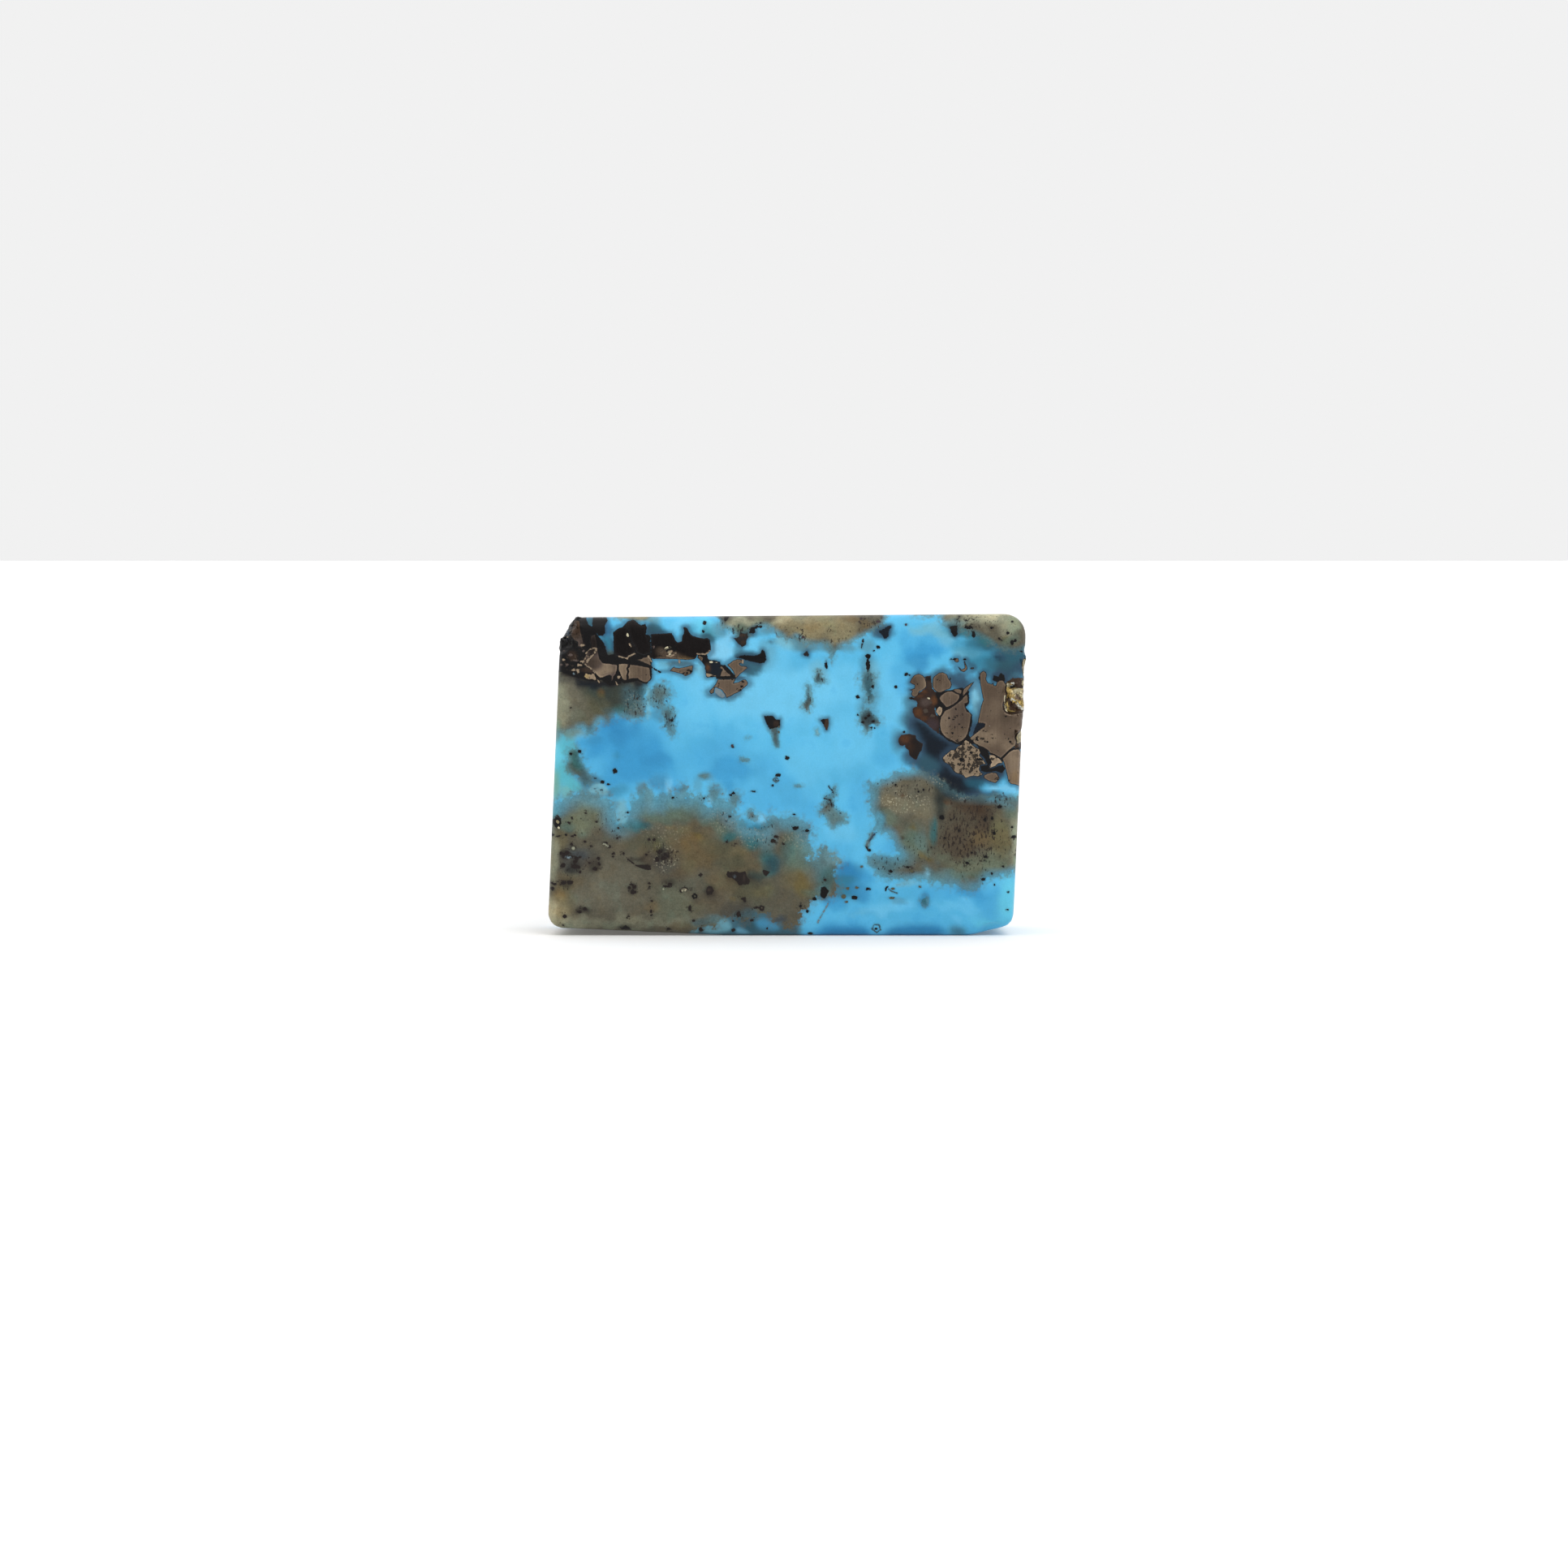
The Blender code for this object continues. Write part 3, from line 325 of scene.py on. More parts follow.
# the matrix: softness of its edge in mm, fray of its edge, outline
matrixPatches = [
    (0.4, 0.45, [(-15.6, 17.4), (-15.6, 12.5), (-14.25, 12.6), (-13.5, 12.6), (-13, 12.7), (-12.85, 12.85),
        (-12.5, 12.9), (-12.4, 12.6), (-12.2, 12.35), (-12, 12.5), (-11.85, 12.9), (-11.6, 13.3),
        (-11.4, 13.4), (-11, 13.1), (-10.8, 13.3), (-10.6, 13.7), (-10, 13.65), (-9.6, 13.5), (-9.3, 13.4),
        (-9.1, 13.5), (-8.85, 13.4), (-8.65, 13.5), (-8.7, 14.5), (-8.6, 15.3), (-8.5, 17.2), (-12, 17.7)]),
    (0.4, 0.5, [(-8.35, 15.5), (-8.5, 14.7), (-8.3, 14.2), (-8, 14.4), (-7.8, 14.1), (-7.4, 14.2),
        (-7.5, 14.6), (-7.15, 14.8), (-7.3, 15.4), (-7.8, 15.6)]),
    (0.3, 0.45, [(-7.65, 13.95), (-7.45, 14.1), (-7.3, 14.2), (-7.15, 14.15), (-7.1, 13.9), (-6.85, 13.85),
        (-7, 13.6), (-7, 13.2), (-7.05, 12.95), (-6.8, 12.45), (-7, 12.42), (-7.3, 12.65), (-7.5, 12.9),
        (-7.6, 13.6)]),
    (1.3, 0.6, [(-15.6, 7.8), (-14.5, 8), (-13.9, 8.4), (-13, 8.9), (-12.6, 9), (-12.2, 8.9), (-11.6, 8.7),
        (-11.1, 8.5), (-10.8, 8.2), (-10.7, 7.8), (-10.6, 7.3), (-10.4, 6.95), (-10.2, 6.85), (-10, 6.95),
        (-9.85, 7.3), (-9.75, 7.7), (-9.6, 8), (-9.55, 8.3), (-9.4, 8.5), (-9.2, 8.5), (-8.9, 9),
        (-8.6, 9.4), (-8.4, 9), (-8.2, 8.5), (-7.8, 8.7), (-7.5, 8.9), (-6.8, 8.8), (-6.6, 9.2), (-6.3, 9.3),
        (-6, 8.6), (-5.6, 8.75), (-5.1, 8.45), (-5, 8.1), (-4.7, 8.1), (-4.7, 9.1), (-4.5, 9.15),
        (-4.1, 8.6), (-3.8, 8.5), (-3.5, 8.2), (-3.2, 8.9), (-3, 8.6), (-3.3, 7.8), (-3.2, 7.5), (-2.9, 7.3),
        (-2.6, 7), (-2, 6.6), (-1.5, 6.5), (-1.2, 6.9), (-1, 7.5), (-0.5, 7.45), (0.5, 7.3), (1, 7.15),
        (1.2, 6.8), (1.35, 6.5), (1.6, 6.25), (1.25, 6.1), (1.25, 5.9), (1.5, 5.5), (1.65, 5.05), (1.2, 5.1),
        (1.1, 4.8), (1.7, 4.7), (2, 5.1), (2.3, 5.45), (2.6, 5.15), (2.9, 5.05), (3.1, 4.7), (3.25, 4.4),
        (2.8, 3.8), (3.1, 3.2), (3.2, 2.9), (3, 2.65), (2.6, 2.5), (1.8, 2.4), (1.6, 2.2), (1.5, 1.95),
        (1, 1.45), (0.8, 0.9), (0.7, 0.6), (0, 0.55), (-0.6, 0.9), (-0.9, 1.1), (-1.2, 1.4), (-1.8, 1.45),
        (-2.2, 1.2), (-2.6, 1), (-3.4, 1.2), (-3.9, 1.1), (-4.4, 0.6), (-4.9, 0.6), (-5.9, 0.3), (-6.2, -1),
        (-15.6, -1)]),
    (0.4, 0.35, [(-2.5, 7.2), (-2.45, 7.7), (-2.2, 7.85), (-1.9, 7.75), (-1.8, 7.3), (-2.1, 7.15)]),
    (0.35, 0.45, [(-13.5, 11.5), (-13, 11.7), (-12.7, 11.4), (-12.65, 10.9), (-12.4, 10.5), (-12, 9.8),
        (-11.9, 9.5), (-12.4, 9.2), (-12.6, 9.3), (-12.8, 9.7), (-13.3, 10), (-13.7, 10.6), (-13.4, 10.9)]),
    (0.6, 0.45, [(4.95, 9.4), (5, 9), (5.15, 8.8), (5.2, 8.5), (5.1, 8.2), (5.1, 8), (5.25, 7.7), (5.4, 7.4),
        (5.4, 7.1), (5.5, 6.5), (5.85, 6.4), (6.3, 6.4), (6.5, 6), (6.6, 5.7), (6.9, 5.3), (7, 5), (6, 4.9),
        (5.3, 5), (5, 4.8), (5, 4.4), (5.6, 4), (5.7, 3.6), (6.6, 3.5), (7.2, 3.5), (8.1, 3.55), (8.9, 3.3),
        (9.8, 3.15), (10.3, 3.15), (10.6, 2.9), (10.8, 2.75), (11.3, 2.75), (11.6, 3), (11.9, 3.1),
        (12.1, 3.4), (12.4, 3.7), (13.3, 3.75), (14.3, 4), (15.6, 4.1), (15.6, 8.5), (13.7, 8.5), (13, 8.6),
        (12, 8.7), (11, 8.7), (10.3, 8.9), (9.5, 9.6), (9, 9.9), (8.3, 10.3), (7.5, 10.2), (6.8, 10.1),
        (6.6, 9.9), (5.8, 9.65), (5.4, 9.45)]),
    (0.3, 0.35, [(2.95, 9.3), (2.85, 9), (2.9, 8.8), (2.7, 8.65), (2.2, 8.6), (2.5, 8.45), (2.3, 8.25),
        (2.1, 7.9), (1.85, 7.75), (1.95, 7.5), (2.2, 7.5), (2.45, 7.1), (2.6, 6.85), (2.9, 6.65),
        (3.2, 6.95), (3.8, 7), (3.6, 7.2), (3.7, 7.5), (3.4, 7.6), (2.95, 8), (2.85, 8.3), (3, 9)]),
    (0.4, 0.35, [(-4.6, 20.5), (-4.4, 19.8), (-4.2, 19.4), (-3.9, 19), (-3.5, 18.9), (-3.3, 18.6),
        (-2.9, 18.45), (-2.3, 18.5), (-2.1, 18.9), (-1.4, 19.1), (-1, 18.95), (-0.3, 18.5), (-0.1, 18.2),
        (0.5, 18.25), (0.6, 18.5), (1, 18.1), (1.7, 18), (2.4, 18.05), (2.6, 17.8), (2.65, 17.3), (2.55, 17),
        (2.75, 16.9), (2.9, 17.2), (3.1, 17.55), (3.4, 17.95), (3.9, 18), (4.3, 18.3), (4.9, 18.55),
        (5.5, 18.9), (5.7, 18.95), (6.1, 19.3), (6.3, 20.5)]),
    (0.2, 0.3, [(-10.9, 20.5), (-10.8, 19.6), (-9.8, 19.5), (-8.8, 19.35), (-8.4, 19.6), (-8.4, 20.5)]),
    (0.2, 0.3, [(7.4, 20.5), (7.5, 19.75), (8.5, 19.68), (9.5, 19.75), (9.6, 20.5)]),
    (0.35, 0.4, [(9.4, 20.5), (9.4, 19.4), (10, 19), (11.2, 18.8), (12, 18.5), (12.6, 18.1), (13, 17.8),
        (13.4, 17.7), (13.9, 17.6), (14.4, 17.7), (15.6, 18), (15.6, 20.5)]),
    (0.15, 0.4, [(1.75, 16.2), (1.95, 16.4), (2.15, 16.2), (2.1, 16), (2.4, 15.9), (2.35, 15.7), (2, 15.62),
        (1.65, 15.55)]),
    (0.15, 0.35, [(1.25, 15.5), (1.45, 15.6), (1.45, 15.3), (1.4, 15), (1.6, 14.55), (1.55, 14.3),
        (1.4, 14.1), (1.35, 13.8), (1.2, 13.7), (1, 14.15), (0.95, 14.3), (1.2, 14.7), (1.15, 15)]),
    (0.25, 0.45, [(4.55, 16), (4.9, 16.45), (5.3, 16.3), (5.4, 15.8), (5.3, 15.2), (5.45, 14.8), (5.3, 14.5),
        (4.9, 14.4), (4.9, 14.9), (4.55, 15.6)]),
    (0.15, 0.4, [(4.45, 13.5), (4.6, 13.8), (4.8, 14), (5.1, 14.05), (5.3, 13.9), (5.35, 13.6), (5.95, 13.2),
        (5.5, 13), (5.2, 13.05), (5, 12.55), (4.85, 12.5), (4.75, 12.9), (4.55, 13.1)]),
    (0.15, 0.2, [(-1.05, 13.1), (-0.5, 13.1), (-0.5, 12.6), (-0.45, 11.7), (-0.6, 11.55), (-0.9, 12),
        (-0.9, 12.4), (-1.05, 12.65)]),
    (0.15, 0.25, [(1.75, 12.8), (2, 12.8), (1.95, 12.4), (1.75, 12.45)]),
    (0.15, 0.25, [(-2.9, 10.95), (-2.5, 11), (-2.3, 10.8), (-2.6, 10.7), (-2.9, 10.75)]),
    (0.15, 0.25, [(-2.55, 12.35), (-2.35, 12.35), (-2.3, 12.2), (-2.5, 12.15)]),
    (0.15, 0.25, [(-5.4, 9.9), (-5.1, 10.1), (-4.8, 9.95), (-5, 9.7), (-5.3, 9.75)]),
    (0.15, 0.25, [(0.3, 9.4), (0.9, 9.35), (1, 9.2), (0.6, 9.15)]),
    (0.15, 0.25, [(5.2, 5.9), (5.5, 6.5), (5.9, 7.3), (5.6, 7.4), (5.3, 6.6), (5, 6), (4.75, 5.6),
        (4.95, 5.35)]),
    (0.15, 0.25, [(8.3, 2.4), (8.7, 2.5), (8.7, 1.8), (8.4, 1.9), (8.2, 2.1)]),
]

# soft strokes in the matrix
earthDabs = [
    # left, under the pyrite; the rim stroke by the left edge is painted edge light
    ("pebble", -13.2, 14.4, 1.2, 1.8, 0.9), ("rimLight", -14.1, 14.3, 0.7, 2, 0.75),
    ("olive", -11.7, 14.2, 1.3, 1.2, 0.85), ("moss", -10.5, 14.8, 1.4, 1, 0.95),
    ("shade", -13.4, 15.6, 0.9, 0.4, 0.7), ("smoke", -9.5, 14.6, 0.8, 0.8, 0.85),
    ("fog", -9.2, 14.1, 0.4, 0.4, 0.5), ("smoke", -10.6, 13.7, 0.9, 0.4, 0.6),
    ("verdigris", -10.3, 14, 0.6, 0.25, 0.6), ("teal", -8.8, 15.1, 0.5, 0.5, 0.9),
    ("ink", -9.9, 15.6, 1.7, 0.4, 0.95), ("ink", -11.4, 15.6, 1.3, 0.35, 0.95),
    ("soot", -13, 15.95, 1.3, 0.3, 0.9), ("moss", -10.9, 15.15, 1.6, 0.5, 0.9),
    ("ink", -11.2, 15.55, 2, 0.3, 0.8), ("ochre", -11.45, 14.95, 0.25, 0.3, 0.4),
    ("rust", -11.45, 15.1, 0.14, 0.18, 0.7), ("leaf", -14.2, 12.9, 0.3, 0.5, 0.5),
    ("smoke", -12.2, 12.7, 0.35, 0.35, 0.8), ("fog", -7.8, 14.9, 0.7, 0.9, 0.7),
    ("smoke", -7.2, 13.3, 0.5, 1, 0.9), ("verdigris", -12.95, 10.9, 0.7, 0.9, 0.95),
    ("smoke", -12.4, 9.8, 0.5, 0.6, 0.95),
    # the upper edge of the large part
    ("sage", -11.8, 8, 1.7, 0.7, 0.7), ("fog", -11, 8, 0.7, 0.4, 0.5), ("fog", -14.2, 8, 0.6, 0.6, 0.7),
    ("aqua", -14.5, 7.8, 0.4, 0.6, 0.5), ("fog", -8.9, 8.2, 1, 0.6, 0.8),
    ("green", -8.7, 7.6, 0.9, 0.3, 0.6), ("fog", -6.6, 8.4, 1.7, 0.7, 0.95),
    ("green", -6.4, 7.6, 2, 0.5, 0.8), ("fog", -4.1, 8.1, 1, 0.6, 0.85), ("green", -5.2, 7, 1.8, 0.4, 0.5),
    ("sage", -11.9, 7.2, 1.7, 0.4, 0.4),
    # green and blue stains in it
    ("verdigris", -9.25, 6.85, 0.85, 0.4, 0.95), ("lagoon", -9.9, 6.95, 0.3, 0.2, 0.6),
    ("teal", -8.7, 6.9, 0.3, 0.25, 0.5), ("verdigris", -13.5, 6.7, 0.5, 0.35, 0.8),
    ("green", -12.6, 6.3, 0.3, 0.2, 0.6), ("verdigris", -3.6, 6.35, 0.55, 0.35, 0.9),
    ("fog", -2.6, 6.4, 0.7, 0.6, 0.8), ("lagoon", -2.1, 6.9, 0.9, 0.25, 0.8),
    ("fog", -1.4, 5.9, 0.7, 0.6, 0.6), ("verdigris", -2.1, 5.6, 0.35, 0.3, 0.95),
    ("verdigris", -1.1, 4.6, 0.6, 0.9, 0.95), ("teal", -1.1, 4.5, 0.3, 0.5, 0.5),
    ("verdigris", -1.9, 3.9, 0.5, 0.35, 0.85), ("fog", 0.4, 6.7, 1, 0.5, 0.75),
    ("green", 0.7, 5.6, 0.9, 0.8, 0.7), ("fog", 1.5, 5, 0.5, 0.8, 0.75), ("sage", 0.5, 4.4, 0.9, 0.6, 0.4),
    ("straw", 0.6, 3.2, 1, 0.9, 0.6), ("ochre", 0.9, 3, 0.5, 0.8, 0.6), ("teal", -0.8, 4.6, 0.5, 0.6, 0.8),
    ("ochre", 1.2, 3.9, 0.5, 0.4, 0.35), ("fog", 2.3, 2.9, 0.6, 0.4, 0.6),
    ("green", 1.7, 2.6, 0.8, 0.4, 0.5), ("fog", 1.9, 4.7, 1.1, 0.9, 0.75),
    ("verdigris", 2.5, 3.6, 0.8, 0.7, 0.6), ("green", 0.9, 4.9, 0.8, 0.9, 0.6),
    ("verdigris", 0, 5.2, 0.5, 0.8, 0.4),
    # browns
    ("warm", -5.6, 5.4, 1.8, 1.1, 0.95), ("warm", -2.6, 4.6, 1.5, 0.8, 0.6),
    ("honey", -5.6, 6, 0.5, 0.3, 0.35), ("honey", -6.4, 5.6, 0.4, 0.4, 0.3),
    ("ochre", -5.4, 6.2, 0.25, 0.2, 0.6), ("rust", -5.5, 5.4, 0.4, 0.3, 0.2),
    ("warm", -6.3, 4.5, 1, 0.8, 0.6), ("olive", -4.2, 5.6, 0.9, 0.7, 0.7), ("straw", -3, 5.2, 0.8, 0.4, 0.5),
    ("olive", -3.4, 4.6, 1.1, 0.5, 0.7), ("warm", -4, 3.3, 0.9, 0.9, 0.7),
    ("olive", -2.2, 2.9, 1.4, 0.8, 0.7), ("straw", -1.6, 2.8, 0.8, 0.4, 0.5),
    ("ochre", -3.35, 2.3, 0.2, 0.15, 0.4), ("core", -5, 2.3, 1, 0.5, 0.45),
    ("core", -8.5, 4.6, 1, 0.6, 0.65), ("core", -7.2, 3.9, 0.8, 0.6, 0.5),
    ("shade", -7.6, 4.7, 0.7, 0.9, 0.6), ("shade", -12.8, 4.9, 1.3, 0.8, 0.8),
    ("slate", -12.7, 5.2, 0.5, 0.4, 0.3), ("core", -12, 4.5, 0.6, 0.5, 0.5),
    ("olive", -8.3, 5.6, 0.9, 0.7, 0.7), ("ochre", -8, 5.4, 0.3, 0.5, 0.35),
    ("warm", -9, 5.3, 0.5, 0.4, 0.4), ("olive", -9.4, 5.7, 0.8, 0.4, 0.5),
    ("straw", -6.6, 6.4, 0.9, 0.3, 0.5), ("warm", -7.1, 5.4, 0.5, 0.8, 0.5),
    ("ochre", -3.35, 7, 0.25, 0.2, 0.6), ("honey", -7.2, 6.75, 0.3, 0.15, 0.4),
    # lower left corner and the lower edge; the rim and cream strokes here are painted edge light, and the
    # long rim stroke lightens the shade on the rounded lower edge
    ("pebble", -10.8, 3.3, 2, 1.5, 0.6), ("pebble", -9.8, 1.9, 2, 1, 0.3),
    ("warm", -13.3, 3.6, 0.9, 0.6, 0.6), ("warm", -14, 2.8, 0.8, 0.6, 0.9),
    ("honey", -14, 2.5, 0.5, 0.4, 0.55), ("straw", -13.4, 2.2, 0.6, 0.6, 0.6),
    ("sand", -14.2, 1.6, 0.8, 1.1, 0.85), ("sand", -13.9, 1.3, 0.6, 0.5, 0.5),
    ("creamHighlight", -14.5, 1.4, 0.35, 0.9, 0.5), ("straw", -13.9, 5.9, 0.5, 0.8, 0.5),
    ("rimLight", -14.5, 5, 0.45, 1.6, 0.7), ("rimLight", -13.3, 0.8, 1.1, 0.6, 0.55),
    ("rimLight", -9.2, 0.7, 4.2, 0.55, 0.35), ("sage", -13.2, 7, 1, 0.6, 0.7), ("sage", 12.9, 4.8, 1, 0.6, 0.6),
    ("verdigris", -2.2, 5.8, 0.7, 0.5, 0.6), ("moss", -2, 3.9, 0.7, 0.4, 0.8),
    ("mist", 2.9, 4.9, 0.5, 0.5, 0.5), ("sage", -7, 1.8, 1.6, 0.9, 0.35),
    ("pebble", -12.3, 2.4, 1.2, 0.9, 0.5), ("warm", -6.6, 0.5, 0.8, 0.3, 0.5),
    ("honey", -8.4, 1.8, 0.4, 0.3, 0.25), ("shade", -3.2, 1.8, 1.2, 0.5, 0.7),
    ("smoke", -2.4, 1.5, 0.9, 0.3, 0.7), ("smoke", -5.3, 0.8, 0.6, 0.25, 0.6),
    ("fog", -4.3, 1.1, 0.9, 0.3, 0.6), ("slate", -0.3, 0.9, 0.5, 0.25, 0.6),
    # soft dark clouds round the specks
    ("soot", -7.65, 4.95, 0.45, 0.5, 0.6), ("soot", -13.6, 5.05, 0.5, 0.3, 0.65),
    ("soot", -13, 4.3, 0.45, 0.35, 0.6), ("soot", -11.8, 4.4, 0.4, 0.4, 0.5),
    ("coffee", -9.3, 4.75, 0.6, 0.2, 0.6), ("soot", -8.8, 4.25, 0.6, 0.2, 0.5),
    ("coffee", -7.3, 3.3, 0.5, 0.25, 0.5), ("coffee", -4.75, 2.8, 0.45, 0.45, 0.6),
    ("coffee", -2.9, 3.6, 1, 0.45, 0.6), ("coffee", -13.6, 3.4, 0.5, 0.3, 0.6),
    ("soot", -12.6, 1.6, 0.45, 0.25, 0.6), ("soot", -10, 0.5, 0.5, 0.2, 0.6),
    ("soot", -9.5, 2.9, 0.3, 0.4, 0.5), ("soot", -10.8, 1.1, 0.3, 0.2, 0.25),
    # the part on the right; the rim stroke by the right edge is painted edge light
    ("pebble", 7.4, 8.3, 2, 1.4, 0.95), ("sand", 7.4, 8.1, 1.5, 0.7, 0.25),
    ("pebble", 6.6, 9.3, 1.4, 0.5, 0.5), ("fog", 5.5, 8.8, 0.4, 1, 0.8), ("green", 6.2, 7.1, 0.9, 0.5, 0.6),
    ("green", 8.1, 5.6, 1.3, 1.2, 0.8), ("fog", 8.4, 5.8, 0.5, 0.9, 0.4), ("moss", 9.5, 8.2, 0.4, 1.1, 0.75),
    ("soot", 9.5, 7.6, 0.3, 0.5, 0.4), ("core", 11.4, 6.8, 1.7, 1.8, 0.95),
    ("umber", 11.5, 7.8, 1.1, 0.5, 0.5), ("umber", 12.1, 7.1, 0.6, 0.8, 0.25), ("core", 10, 5.4, 1, 1, 0.6),
    ("warm", 12.2, 6.2, 1, 0.6, 0.7), ("straw", 13.1, 6.3, 0.7, 1.3, 0.85),
    ("rimLight", 14.25, 5.8, 0.55, 2, 0.9), ("leaf", 14.4, 4.5, 0.4, 0.6, 0.5), ("green", 14, 7.7, 0.6, 0.4, 0.6),
    ("fog", 13.6, 8.1, 0.7, 0.3, 0.6), ("verdigris", 9.1, 6.5, 0.22, 0.9, 0.9),
    ("fog", 6.4, 4.5, 1.3, 0.8, 0.95), ("smoke", 6.3, 4.6, 0.8, 0.5, 0.5),
    ("smoke", 5.6, 6.9, 0.4, 0.7, 0.95), ("fog", 9.8, 3.7, 1.6, 0.4, 0.8),
    ("green", 11.8, 3.9, 1.7, 0.4, 0.75), ("fog", 11.2, 3.1, 0.6, 0.3, 0.7),
    ("sage", 11.2, 4.6, 1.5, 0.5, 0.6), ("milk", 8.65, 3.8, 0.15, 0.3, 0.7),
    ("ink", 11.2, 9.1, 1.8, 0.45, 0.95), ("soot", 10.7, 8.7, 1.4, 0.45, 0.9),
    ("soot", 12.2, 8.4, 1, 0.3, 0.6), ("moss", 9.5, 9.3, 0.6, 0.4, 0.8), ("smoke", 13, 8.5, 0.6, 0.2, 0.6),
    ("rust", 7.17, 8.78, 0.22, 0.14, 0.6), ("rust", 5.38, 8.25, 0.15, 0.15, 0.6),
    ("ochre", 7.73, 6.75, 0.18, 0.16, 0.7), ("umber", 7.15, 6.07, 0.2, 0.13, 0.8),
    ("ochre", 8.35, 4.95, 0.3, 0.15, 0.8), ("ochre", 8.82, 4.72, 0.16, 0.16, 0.8),
    ("rust", 9.9, 8.3, 0.22, 0.16, 0.6), ("umber", 11.75, 7.85, 0.3, 0.2, 0.7),
    ("ochre", 14.2, 7.75, 0.12, 0.1, 0.7),
    # top edge; the rim and cream strokes along it are painted edge light
    ("green", -3.2, 18.9, 1.1, 0.6, 0.85), ("smoke", -2.2, 18.7, 0.7, 0.3, 0.6),
    ("rimLight", -2.8, 19.6, 1.3, 0.35, 0.85), ("green", -1.7, 19.2, 0.8, 0.5, 0.5),
    ("sand", 1.2, 19.1, 2.6, 1, 1), ("rimLight", 0.6, 19.5, 1.5, 0.4, 0.5), ("honey", 1.6, 19.2, 0.9, 0.4, 0.3),
    ("honey", 3.9, 19.6, 0.7, 0.25, 0.35), ("sand", 3.4, 18.7, 1, 0.6, 0.7),
    ("warm", 5, 19.3, 0.7, 0.4, 0.8), ("plum", 5.9, 19, 0.4, 0.4, 0.5), ("fog", 2.7, 17.4, 0.3, 0.6, 0.8),
    ("sand", -9.6, 19.6, 1.2, 0.35, 0.85), ("rimLight", -9.8, 19.7, 0.7, 0.2, 0.5),
    ("pebble", 8.5, 19.8, 1.1, 0.3, 0.8), ("rimLight", 12.4, 19.5, 2.3, 0.7, 0.95),
    ("creamHighlight", 12.7, 19.6, 1.3, 0.35, 0.55), ("creamHighlight", -0.4, 19.4, 0.6, 0.3, 0.35),
    ("leaf", 14, 19.1, 0.45, 0.5, 0.7), ("rimLight", 13.8, 19, 0.8, 0.6, 0.75),
    ("ochre", 13.5, 18.35, 0.25, 0.2, 0.6), ("fog", 10.2, 19.3, 0.7, 0.3, 0.7),
    ("green", 13.8, 18.2, 0.6, 0.3, 0.6),
    # the small drips in the turquoise
    ("smoke", 1.6, 15.2, 0.9, 1.4, 0.95), ("smoke", 5.1, 14.4, 0.9, 2.4, 0.95),
    ("smoke", -0.7, 12.3, 0.6, 0.9, 0.8), ("soot", 1.75, 16, 0.3, 0.3, 0.4),
    ("soot", 1.15, 14.5, 0.25, 0.4, 0.35), ("soot", 5, 15.4, 0.3, 0.6, 0.35),
    ("soot", 4.9, 13.4, 0.4, 0.4, 0.5), ("mist", 1.85, 12.6, 0.25, 0.3, 0.9),
    ("fog", -2.6, 10.85, 0.5, 0.3, 0.9), ("fog", -2.4, 12.25, 0.3, 0.2, 0.9),
    ("fog", -5.1, 9.9, 0.5, 0.3, 0.9), ("fog", 0.6, 9.3, 0.5, 0.2, 0.9), ("lagoon", 8.5, 2.2, 0.4, 0.5, 0.9),
    ("lagoon", 4.9, 15.4, 0.4, 0.9, 0.4), ("fog", 2.9, 7.4, 0.9, 0.8, 0.85),
    ("smoke", 2.7, 8.7, 0.5, 0.6, 0.9),
]

